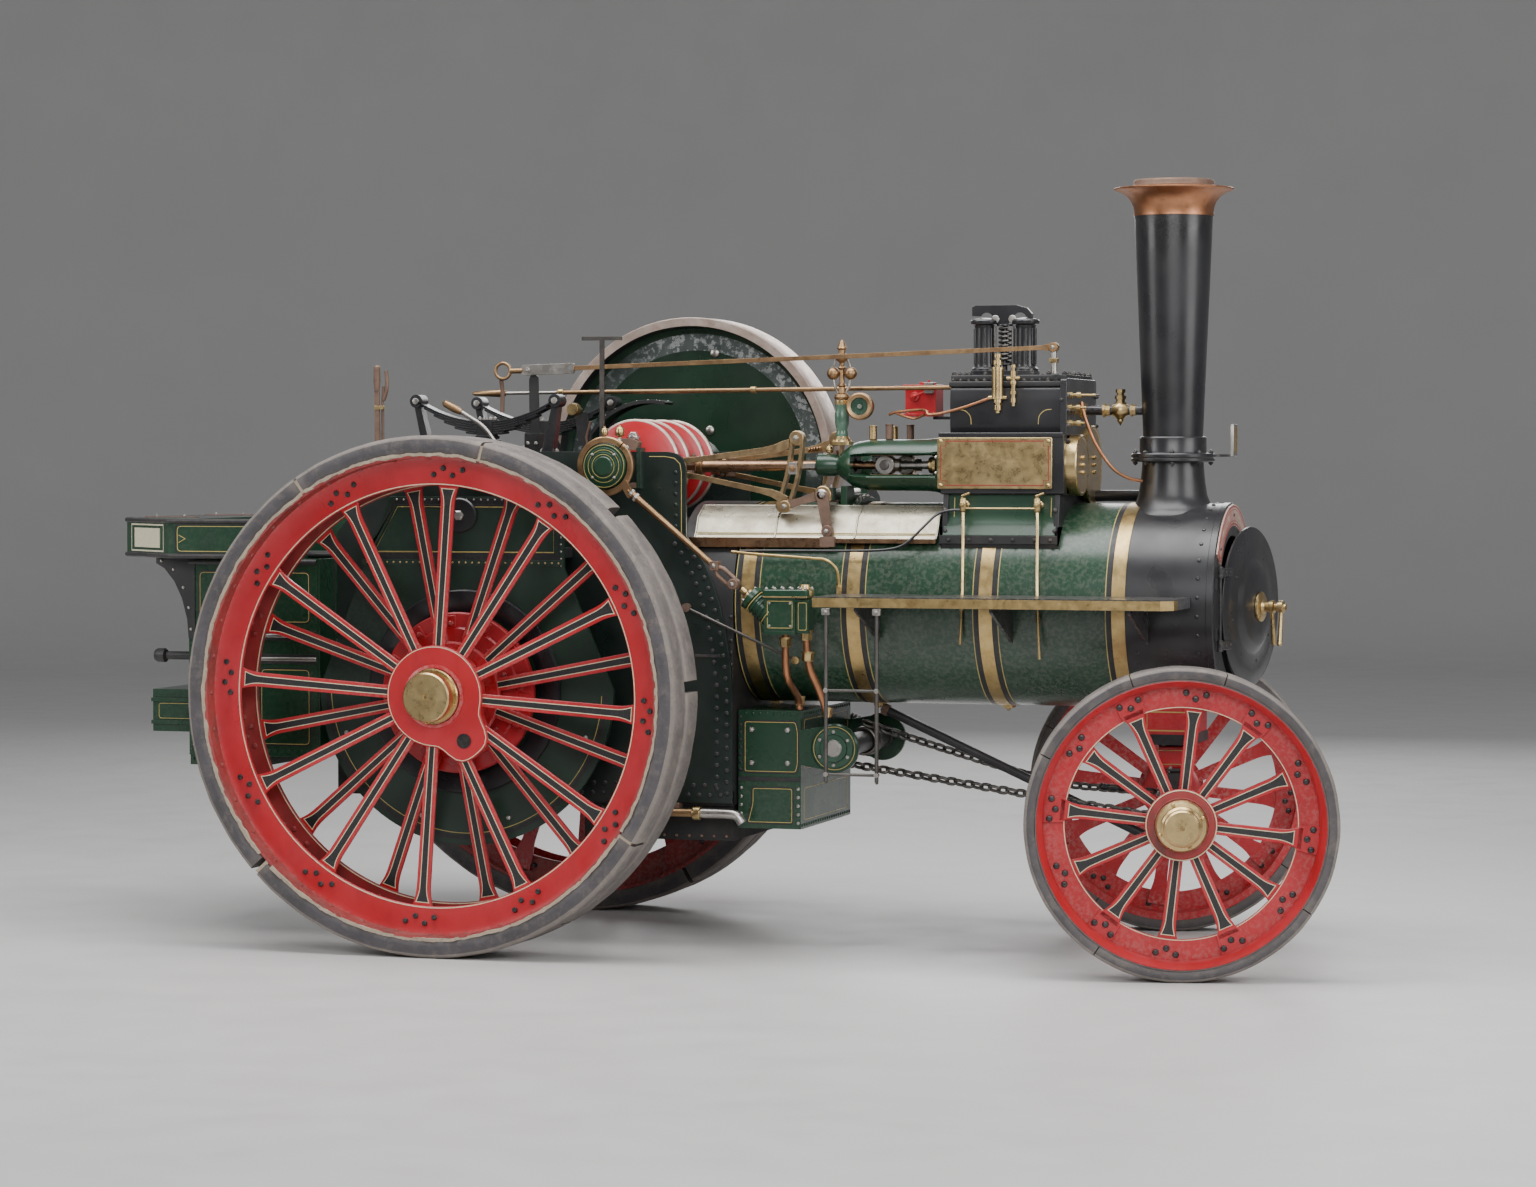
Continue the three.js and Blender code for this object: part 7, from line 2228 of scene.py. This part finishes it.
def pump_pipes():
    kit = Kit()
    suction = smooth_path([(1.346, PUMP_Y, 1.300), (1.346, PUMP_Y, 1.190), (1.349, -0.520, 1.120),
                           (1.352, -0.460, 1.080),
                           (1.349, -0.380, 1.040), (1.346, -0.348, 1.010), (1.346, -0.340, 0.985)], 8)
    kit.tube(suction, 0.0145, COPPER, sides=18)
    union(kit, (1.346, PUMP_Y, 1.262), (0, 0, -1))
    union(kit, (1.346, -0.341, 1.012), (0, 0, -1), 0.021)
    delivery = smooth_path([(1.434, PUMP_Y, 1.306), (1.436, PUMP_Y, 1.240), (1.446, -0.530, 1.160),
                            (1.470, -0.500, 1.085),
                            (1.490, -0.472, 1.010), (1.500, -0.460, 0.962)], 8)
    kit.tube(delivery, 0.0145, COPPER, sides=18)
    union(kit, (1.434, PUMP_Y, 1.290), (0, 0, -1))
    union(kit, (1.439, -0.538, 1.205), (-0.05, -0.05, -1))
    union(kit, (1.498, -0.462, 0.976), (-0.1, -0.1, -1), 0.020)
    thin = smooth_path([(1.090, -0.452, 1.628), (1.200, -0.452, 1.618), (1.420, -0.452, 1.604),
                        (1.492, -0.452, 1.596),
                        (1.530, -0.440, 1.560), (1.536, -0.426, 1.500), (1.538, -0.420, 1.440)], 8)
    kit.tube(thin, 0.0065, BRASS_BAND, sides=12)
    union(kit, (1.536, -0.424, 1.470), (0, 0, -1), 0.013)
    kit.tube([(0.900, -0.470, 1.400), (1.370, -0.470, 1.190)], 0.006, OILY_STEEL, sides=10)
    kit.stack((0.902, -0.470, 1.399), (0, -1, 0), [(0.018, -0.012), (0.018, 0.010), (0, 0.012)], BROWN_IRON,
              20)
    kit.stack((1.368, -0.470, 1.191), (0, -1, 0), [(0.016, -0.012), (0.016, 0.010), (0, 0.012)], BRASS, 20)
    kit.tube([(0.902, -0.458, 1.399), (0.902, -0.440, 1.399)], 0.010, BROWN_IRON)
    piece("pump_pipes", "chassis", kit, bevel=0.0)


# ---- belly tank and steering barrel -------------------------------------------------------------
def belly_tank():
    """The tank slung under the boiler, with the bearings of the steering barrel on its sides."""
    kit = Kit()
    kit.box(1.092, 1.359, -0.368, 0.368, 0.700, 0.979, GREEN)
    kit.box(1.092, 1.359, -0.340, 0.340, 0.494, 0.702, GREEN)
    for sign in (-1, 1):
        face = sign * 0.369
        way = (0, sign, 0)
        kit.box(1.092, 1.359, *sorted((sign * 0.338, face)), 0.495, 0.701, GREEN)
        outline = [(1.350, 0.760), *[(1.503 + 0.101 * math.cos(a), 0.830 + 0.101 * math.sin(a)) for a in
                                     [math.radians(-120 + 8 * i) for i in range(31)]], (1.350, 0.900)]
        kit.prism(outline, sign * 0.353, sign * 0.369, GREEN)
        panel = [(1.116, 0.724), (1.340, 0.724), (1.352, 0.760), (1.366, 0.800), (1.368, 0.850),
                 (1.358, 0.892),
                 (1.340, 0.936), (1.116, 0.936)]
        clipped = [(min(x, 1.350), z) for x, z in panel]
        lining(kit, rounded(clipped, 0.014, 4), face, way)
        lower = [(1.128, 0.516), (1.326, 0.516), (1.326, 0.664), (1.150, 0.664), (1.150, 0.600),
                 (1.140, 0.560)]
        lining(kit, rounded(lower, 0.014, 4), face, way)
        for x, z in ((1.150, 0.900), (1.304, 0.900), (1.150, 0.764), (1.304, 0.764)):
            kit.bolt((x, face, z), way, 0.012, STEEL)
        for x in (1.104, 1.348):
            kit.rivets((x, face, 0.520), (x, face, 0.660), 5, way, 0.008, STEEL)
        kit.rivets((1.102, face, 0.735), (1.102, face, 0.950), 8, way, 0.008, SATIN_BLACK)
        kit.rivets((1.125, face, 0.966), (1.340, face, 0.966), 8, way, 0.007, GREEN)
        kit.box(1.092, 1.359, *sorted((face, sign * 0.373)), 0.690, 0.706, SATIN_BLACK)
    way = (1, 0, 0)
    kit.frame_line(rounded(rectangle(-0.32, 0.32, 0.74, 0.94), 0.02, 4), 1.359, way, 0.003, YELLOW_LINE,
                   "yz")
    kit.frame_line(rounded(rectangle(-0.32, 0.32, 0.53, 0.66), 0.02, 4), 1.359, way, 0.003, YELLOW_LINE,
                   "yz")
    kit.rivets((1.359, -0.35, 0.510), (1.359, 0.35, 0.510), 22, way, 0.007, GREEN)
    kit.rivets((1.359, -0.35, 0.964), (1.359, 0.35, 0.964), 22, way, 0.007, GREEN)
    kit.rivets((1.092, -0.35, 0.510), (1.092, 0.35, 0.510), 22, (-1, 0, 0), 0.007, GREEN)
    piece("belly_water_tank", "chassis", kit, ("belly_tank",), bevel=0.0015)


def steering_barrel():
    """The barrel that the steering chains wind on, with its worm wheel and its two bearings."""
    kit = Kit()
    centre = (1.503, 0, 0.830)
    for sign in (-1, 1):
        steps = [(0.0, 0.352), (0.100, 0.352), (0.100, 0.372), (0.094, 0.377), (0.080, 0.377),
                 (0.078, 0.384), (0.058, 0.384),
                 (0.055, 0.392), (0.036, 0.392), (0.032, 0.398), (0, 0.398)]
        coats = [GREEN] * 4 + [GREEN_WORN] * 2 + [GREEN, GREEN_WORN, STEEL, STEEL]
        kit.lathe([(r, sign * a) for r, a in steps], coats, centre, "y", 48)
        ring_path = [(centre[0] + a, sign * 0.377, centre[2] + b) for a, b in arc(0, 0, 0.087, 0, 350, 44)]
        kit.strip(ring_path, (0, sign, 0), 0.003, YELLOW_LINE, closed=True)
        for i in range(6):
            a = math.radians(30 + 60 * i)
            kit.bolt((centre[0] + 0.068 * math.cos(a), sign * 0.384, centre[2] + 0.068 * math.sin(a)),
                     (0, sign, 0),
                     0.008, STEEL)
    kit.lathe([(0, -0.350), (0.050, -0.350), (0.052, -0.340), (0.044, -0.330), (0.044, 0.330),
               (0.052, 0.340),
               (0.050, 0.350), (0, 0.350)], SATIN_BLACK, centre, "y", 40)
    for start, end in ((-0.285, -0.195), (0.055, 0.145)):
        turns = 5
        coil = []
        for i in range(turns * 20 + 1):
            a = 2 * math.pi * i / 20
            coil.append((centre[0] + 0.053 * math.cos(a), start + (end - start) * i / (turns * 20),
                         centre[2] + 0.053 * math.sin(a)))
        kit.tube(coil, 0.009, OILY_STEEL, sides=8)
    piece("steering_barrel", "chassis", kit, bevel=0.001)


def perch_stay():
    kit = Kit()
    a, b = Vector((1.600, 0, 0.975)), Vector((2.790, 0, 0.440))
    kit.tube([a, a.lerp(b, 0.02), a.lerp(b, 0.98), b], [0.014, 0.0185, 0.0185, 0.014], SATIN_BLACK,
             sides=24)
    kit.stack(a.lerp(b, 0.012), b - a, [(0.026, -0.010), (0.026, 0.016), (0, 0.016)], BROWN_IRON, 6)
    kit.stack(a.lerp(b, 0.972), b - a, [(0.026, -0.010), (0.026, 0.016), (0, 0.016)], BROWN_IRON, 6)
    piece("perch_stay_rod", "chassis", kit, ("perch_stay",), bevel=0.0008)


def ladder():
    """Two hooked rails hung from the edge of the running board, with two thin rungs."""
    kit = Kit()
    y = -0.812
    for x in (1.595, 1.803):
        kit.tube([(x, y, 1.404), (x, y, 0.780), (x, y, 0.735), (x, y + 0.006, 0.727)],
                 [0.0080, 0.0080, 0.0080, 0.0060],
                 OILY_STEEL, sides=14)
        kit.prism(rounded(rectangle(x - 0.0165, x + 0.0165, 1.390, 1.416), 0.004, 3), y - 0.009, y + 0.009,
                  STEEL)
        kit.bolt((x, y - 0.009, 1.403), (0, -1, 0), 0.007, STEEL)
        for z in (1.092, 0.760):
            kit.lathe([(0, y - 0.0105), (0.0095, y - 0.0105), (0.0095, y + 0.0105), (0, y + 0.0105)], STEEL,
                      (x, 0, z),
                      "y", 18)
    for z in (1.092, 0.760):
        kit.tube([(1.595, y, z), (1.803, y, z)], 0.0062, OILY_STEEL, sides=12)
    piece("ladder_rails", "chassis", kit, ("ladder",), bevel=0.0008)


# ---- steering column ----------------------------------------------------------------------------
COLUMN_TOP, COLUMN_FOOT = Vector((-0.740, 0.457, 1.840)), Vector((1.440, 0.457, 0.850))


def steering_column():
    kit = Kit()
    way = (COLUMN_TOP - COLUMN_FOOT).normalized()
    kit.tube([COLUMN_FOOT, COLUMN_FOOT.lerp(COLUMN_TOP, 0.5), COLUMN_TOP], 0.0098, STEEL, sides=18)
    worm_foot = COLUMN_FOOT + way * 0.005
    worm = [(0.012, 0.0)]
    for k in range(7):
        worm += [(0.016, 0.008 + k * 0.016), (0.028, 0.012 + k * 0.016), (0.028, 0.017 + k * 0.016),
                 (0.016, 0.021 + k * 0.016)]
    worm += [(0.012, 0.130), (0, 0.130)]
    kit.stack(worm_foot, way, worm, OILY_STEEL, 24)
    for t in (0.075, 0.56, 0.93):
        kit.stack(COLUMN_FOOT.lerp(COLUMN_TOP, t), way, [(0.020, -0.018), (0.020, 0.018), (0, 0.018)],
                  SATIN_BLACK, 24)
    for t, inner in ((0.30, 0.446), (0.56, 0.446), (0.80, 0.446)):
        spot = COLUMN_FOOT.lerp(COLUMN_TOP, t)
        kit.tube([spot, (spot.x, inner - 0.004, spot.z)], 0.012, SATIN_BLACK, sides=12)
        kit.stack(spot, way, [(0.0185, -0.014), (0.0185, 0.014), (0, 0.014)], BROWN_IRON, 22)
    piece("steering_shaft", "chassis", kit, ("steering_column",), bevel=0.0006)
    wheel = Kit()
    wheel.turn = Matrix.Translation(COLUMN_TOP + way * 0.0094) @ way.to_track_quat("Z",
                                                                                   "Y").to_matrix().to_4x4()
    rim = [(0.170 * math.cos(2 * math.pi * i / 64), 0.170 * math.sin(2 * math.pi * i / 64),
            0) for i in range(64)]
    wheel.tube(rim, 0.0092, STEEL, sides=16, closed=True)
    for i in range(4):
        a = math.radians(45 + 90 * i)
        inner = Vector((0.020 * math.cos(a), 0.020 * math.sin(a), -0.004))
        outer = Vector((0.164 * math.cos(a), 0.164 * math.sin(a), 0))
        wheel.tube([inner, inner.lerp(outer, 0.5), outer], [0.0085, 0.0065, 0.0075], SATIN_BLACK, sides=12,
                   flat=0.7)
    wheel.lathe([(0, -0.008), (0.024, -0.008), (0.027, -0.002), (0.024, 0.014), (0.014, 0.017), (0, 0.018)],
                BRASS, (0, 0, 0),
                "z", 28)
    knob = Vector((0.170, 0, 0.008))
    wheel.stack(knob, (0, 0, 1), [(0.006, -0.004), (0.006, 0.012), (0.013, 0.022), (0.014, 0.048),
                                  (0.008, 0.058), (0, 0.059)],
                BROWN_IRON, 20)
    piece("steering_hand_wheel_ring", "chassis", wheel, ("steering_hand_wheel",), bevel=0.0)


# ---- steering chains ----------------------------------------------------------------------------
def chain_link(kit, centre, way, across, pitch, wire, finish):
    """One oval link. Across is the direction in which the oval is wide."""
    half, wide = pitch / 2 + wire * 0.35, pitch * 0.36
    path = []
    for i in range(16):
        a = 2 * math.pi * i / 16
        c, s = math.cos(a), math.sin(a)
        length = math.copysign(abs(c) ** 0.75, c) * half
        width = math.copysign(abs(s) ** 0.75, s) * wide
        path.append(centre + way * length + across * width)
    kit.tube(path, wire, finish, sides=7, closed=True)


def chain(path):
    """Links along a path, each turned a quarter against the next."""
    kit = Kit()
    pitch = 0.0400
    spots = along(path, pitch)
    total = len(spots)
    for k in range(1, total):
        a, b = spots[k - 1], spots[k]
        way = (b - a).normalized()
        flat = way.cross(Vector((0, 0, 1))).normalized()
        turned = way.cross(flat).normalized()
        across = (flat + turned).normalized() if k % 2 else (flat - turned).normalized()
        chain_link(kit, (a + b) / 2, way, across, pitch, 0.0068, OILY_STEEL)
    return kit


def chain_object(name, kit, node):
    bm = kit.mesh
    bm.transform(Matrix.Translation((AXLE_X, 0, 0)))
    bmesh.ops.recalc_face_normals(bm, faces=bm.faces)
    mesh = bpy.data.meshes.new(name)
    bm.to_mesh(mesh)
    bm.free()
    for finish in kit.finishes:
        mesh.materials.append(finish)
    mesh.polygons.foreach_set("use_smooth", [True] * len(mesh.polygons))
    obj = bpy.data.objects.new(name, mesh)
    bpy.context.scene.collection.objects.link(obj)
    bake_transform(obj)
    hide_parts(node)


def lug_spot(sign):
    spot = Matrix.Rotation(STEER, 4, "Z") @ Vector((0, sign * 0.595, 0.604))
    return spot + Vector((FRONT_X - 0.070, 0, 0))


def steering_chains():
    near_start, near_end = Vector((1.503, -0.200, 0.757)), lug_spot(-1)
    kit = chain([near_start, near_end])
    chain_object("steering_chain_near", kit, "steering_chain_right")
    far_start, far_middle, far_end = Vector((1.503, 0.060, 0.909)), Vector((2.240, 0.380,
                                                                            0.655)), lug_spot(1)
    path = smooth_path([far_start, far_start.lerp(far_middle, 0.5) + Vector((0, 0, -0.006)), far_middle,
                        far_middle.lerp(far_end, 0.5) + Vector((0, 0, -0.006)), far_end], 8)
    kit = chain(path)
    a, b = far_middle.lerp(far_end, 0.45), far_middle.lerp(far_end, 0.80)
    way = (b - a).normalized()
    spring = [(0.008, 0.0)]
    length = (b - a).length
    coils = 11
    for k in range(coils):
        s = length * k / coils
        spring += [(0.012, s), (0.0138, s + 0.004), (0.0138, s + length / coils - 0.004)]
    spring += [(0.008, length), (0, length)]
    kit.stack(a, way, spring, SATIN_BLACK, 18)
    chain_object("steering_chain_far", kit, "steering_chain_left")


# ---- front axle ---------------------------------------------------------------------------------
def front_axle():
    """The axle bar with its chain lugs and king pin; it all turns with the steering."""
    turn = Matrix.Translation((FRONT_X, 0, 0)) @ Matrix.Rotation(STEER, 4, "Z")
    z = 0.604
    kit = Kit()
    square = rounded(rectangle(-0.0375, 0.0375, z - 0.0375, z + 0.0375), 0.008, 3)
    kit.prism(square, -0.744, 0.744, SATIN_BLACK)
    for sign in (-1, 1):
        kit.prism(rounded(rectangle(-0.058, 0.058, z - 0.053, z + 0.048), 0.012, 4),
                  *sorted((sign * 0.562, sign * 0.628)), RED_DIRTY)
        kit.lathe([(0, sign * 0.740), (0.0345, sign * 0.740), (0.0345, sign * 0.920), (0.030, sign * 0.925),
                   (0, sign * 0.925)], OILY_STEEL, (0, 0, z), "y", 32)
        kit.stack((-0.058, sign * 0.595, z), (-1, 0, 0),
                  [(0.018, -0.006), (0.018, 0.008), (0.010, 0.012), (0, 0.012)],
                  STEEL, 22)
        kit.box(-0.046, 0.046, *sorted((sign * 0.395, sign * 0.450)), z - 0.046, z + 0.0385, SATIN_BLACK)
        for x in (-0.052, 0.052):
            kit.tube([(x, sign * 0.4225, z - 0.052), (x, sign * 0.4225, z + 0.050)], 0.008, STEEL, sides=12)
    kit.lathe([(0, 0.492), (0.020, 0.492), (0.023, 0.498), (0.023, 0.566), (0, 0.566)], STEEL, (0, 0, 0),
              "z", 32)
    kit.lathe([(0, 0.503), (0.034, 0.503), (0.034, 0.522), (0, 0.522)], BROWN_IRON, (0, 0, 0), "z", 6)
    piece("front_axle_bar", "front_axle", kit, ("front_axle_beam",), bevel=0.0015, turn=turn)


def front_spring():
    """The leaf spring across the front axle: long leaves on top, resting on blocks, with a red clamp."""
    turn = Matrix.Translation((FRONT_X, 0, 0)) @ Matrix.Rotation(STEER, 4, "Z")
    kit = Kit()
    reach = (0.430, 0.385, 0.335, 0.280, 0.225, 0.165, 0.105)

    def height(y, step):
        return 0.776 - 0.022 * (1 - (y / 0.43) ** 2) - step

    for k, half in enumerate(reach):
        ys = [-half + 2 * half * i / 20 for i in range(21)]
        upper = [(y, height(y, k * 0.0105)) for y in ys]
        under = [(y, height(y, k * 0.0105 + 0.0090)) for y in reversed(ys)]
        kit.prism(upper + under, -0.034, 0.034, BLACK, plane="yz")
    for sign in (-1, 1):
        kit.box(-0.043, 0.043, *sorted((sign * 0.402, sign * 0.443)), 0.6425, 0.766, SATIN_BLACK)
        kit.box(-0.045, 0.045, *sorted((sign * 0.398, sign * 0.447)), 0.774, 0.782, SATIN_BLACK)
        for x in (-0.040, 0.040):
            kit.bolt((x * 0.8, sign * 0.4225, 0.782), (0, 0, 1), 0.008, STEEL)
    kit.prism(rounded(rectangle(-0.108, 0.108, 0.757, 0.849), 0.010, 3), -0.073, 0.073, RED, plane="yz")
    kit.box(-0.050, 0.050, -0.060, 0.060, 0.672, 0.760, RED)
    for z in (0.776, 0.832):
        path = [(-0.0735, -0.109, z), (0.0735, -0.109, z), (0.0735, 0.109, z), (-0.0735, 0.109, z)]
        kit.tube(path, 0.0022, YELLOW_LINE, sides=6, closed=True)
    for x in (-0.052, 0.052):
        for y in (-0.082, 0.082):
            kit.bolt((x, y, 0.849), (0, 0, 1), 0.010, STEEL)
    piece("front_leaf_spring", "front_axle", kit, ("front_axle_spring",), bevel=0.001, turn=turn)


feed_pump()
pump_pipes()
belly_tank()
steering_barrel()
perch_stay()
ladder()
steering_column()
steering_chains()
front_axle()
front_spring()


# ---- camera, floor and light ----------------------------------------------------------------
CAMERA_PLACE = Vector((6.035 + AXLE_X, -15.991, 2.017))
CAMERA_TURN = math.radians(18.59)      # how far it looks round from straight across the engine
CAMERA_ASIDE, CAMERA_DOWN = 0.02544, 0.03429
CAMERA_LENS = 93.97


def make_camera():
    camera = bpy.data.objects.new("camera", bpy.data.cameras.new("camera"))
    bpy.context.scene.collection.objects.link(camera)
    camera.data.sensor_width = 36
    camera.data.lens = CAMERA_LENS
    camera.data.clip_end = 200
    across = Vector((math.cos(CAMERA_TURN), math.sin(CAMERA_TURN), 0))
    ahead = Vector((-math.sin(CAMERA_TURN), math.cos(CAMERA_TURN), 0))
    look = ahead + CAMERA_ASIDE * across - Vector((0, 0, CAMERA_DOWN))
    camera.location = CAMERA_PLACE
    camera.rotation_mode = "QUATERNION"
    camera.rotation_quaternion = look.to_track_quat("-Z", "Y")
    bpy.context.scene.camera = camera


def make_floor():
    """A wide round pale floor that curves up into a wall, well beyond every camera."""
    surface = Finish("studio floor")
    shade = surface.blend(surface.span(surface.noise(0.6, 6, 0.6), 0.35, 0.7), (0.60, 0.59, 0.58),
                          (0.575, 0.565, 0.555))
    surface.bumps(surface.noise(25, 4), 0.03)
    surface.done(shade, surface.span(surface.noise(3, 5), 0.3, 0.7, 0.42, 0.62))
    flat, curve, wall_top, sides, steps, drop = 22.0, 6.0, 15.0, 96, 10, 0.0005
    profile = [(8.0, 0.0), (flat, 0.0)]
    for i in range(1, steps + 1):
        angle = math.radians(90 / steps * i)
        profile.append((flat + curve * math.sin(angle), curve - curve * math.cos(angle)))
    profile.append((flat + curve, wall_top))
    bm = bmesh.new()
    rings = [[bm.verts.new((r * math.cos(2 * math.pi * k / sides), r * math.sin(2 * math.pi * k / sides),
                            z - drop))
              for k in range(sides)] for r, z in profile]
    bm.faces.new(rings[0])
    for inner, outer in zip(rings, rings[1:]):
        for k in range(sides):
            j = (k + 1) % sides
            bm.faces.new((inner[k], outer[k], outer[j], inner[j]))
    mesh = bpy.data.meshes.new("floor")
    bm.to_mesh(mesh)
    bm.free()
    mesh.polygons.foreach_set("use_smooth", [True] * len(mesh.polygons))
    mesh.materials.append(surface.material)
    floor = bpy.data.objects.new("floor", mesh)
    bpy.context.scene.collection.objects.link(floor)


def area_light(name, place, target, width, depth, power, colour=(1, 1, 1)):
    light = bpy.data.lights.new(name, "AREA")
    light.shape = "RECTANGLE"
    light.size, light.size_y = width, depth
    light.energy = power
    light.color = colour
    lamp = bpy.data.objects.new(name, light)
    lamp.location = place
    lamp.visible_camera = False
    way = Vector(target) - Vector(place)
    lamp.rotation_mode = "QUATERNION"
    lamp.rotation_quaternion = way.to_track_quat("-Z", "Y")
    bpy.context.scene.collection.objects.link(lamp)


def make_light():
    world = bpy.data.worlds.new("studio")
    world.use_nodes = True
    background = world.node_tree.nodes["Background"]
    background.inputs["Color"].default_value = (0.80, 0.82, 0.85, 1)
    background.inputs["Strength"].default_value = 0.34
    bpy.context.scene.world = world
    area_light("overhead", (0, -1.5, 7.5), (0, 0, 1), 9, 4, 760)
    area_light("front", (3.5, -9.5, 5.0), (0, 0, 1.3), 6, 4, 470)
    area_light("rear side", (-7.5, -5.5, 4.5), (-0.5, 0, 1.2), 4, 4, 260)
    area_light("smokebox side", (8.5, -2.5, 4.0), (1.5, 0, 1.5), 4, 4, 260)
    area_light("far side", (-1.0, 10.5, 5.5), (0, 0, 1.2), 7, 4, 380)


make_camera()
make_floor()
make_light()
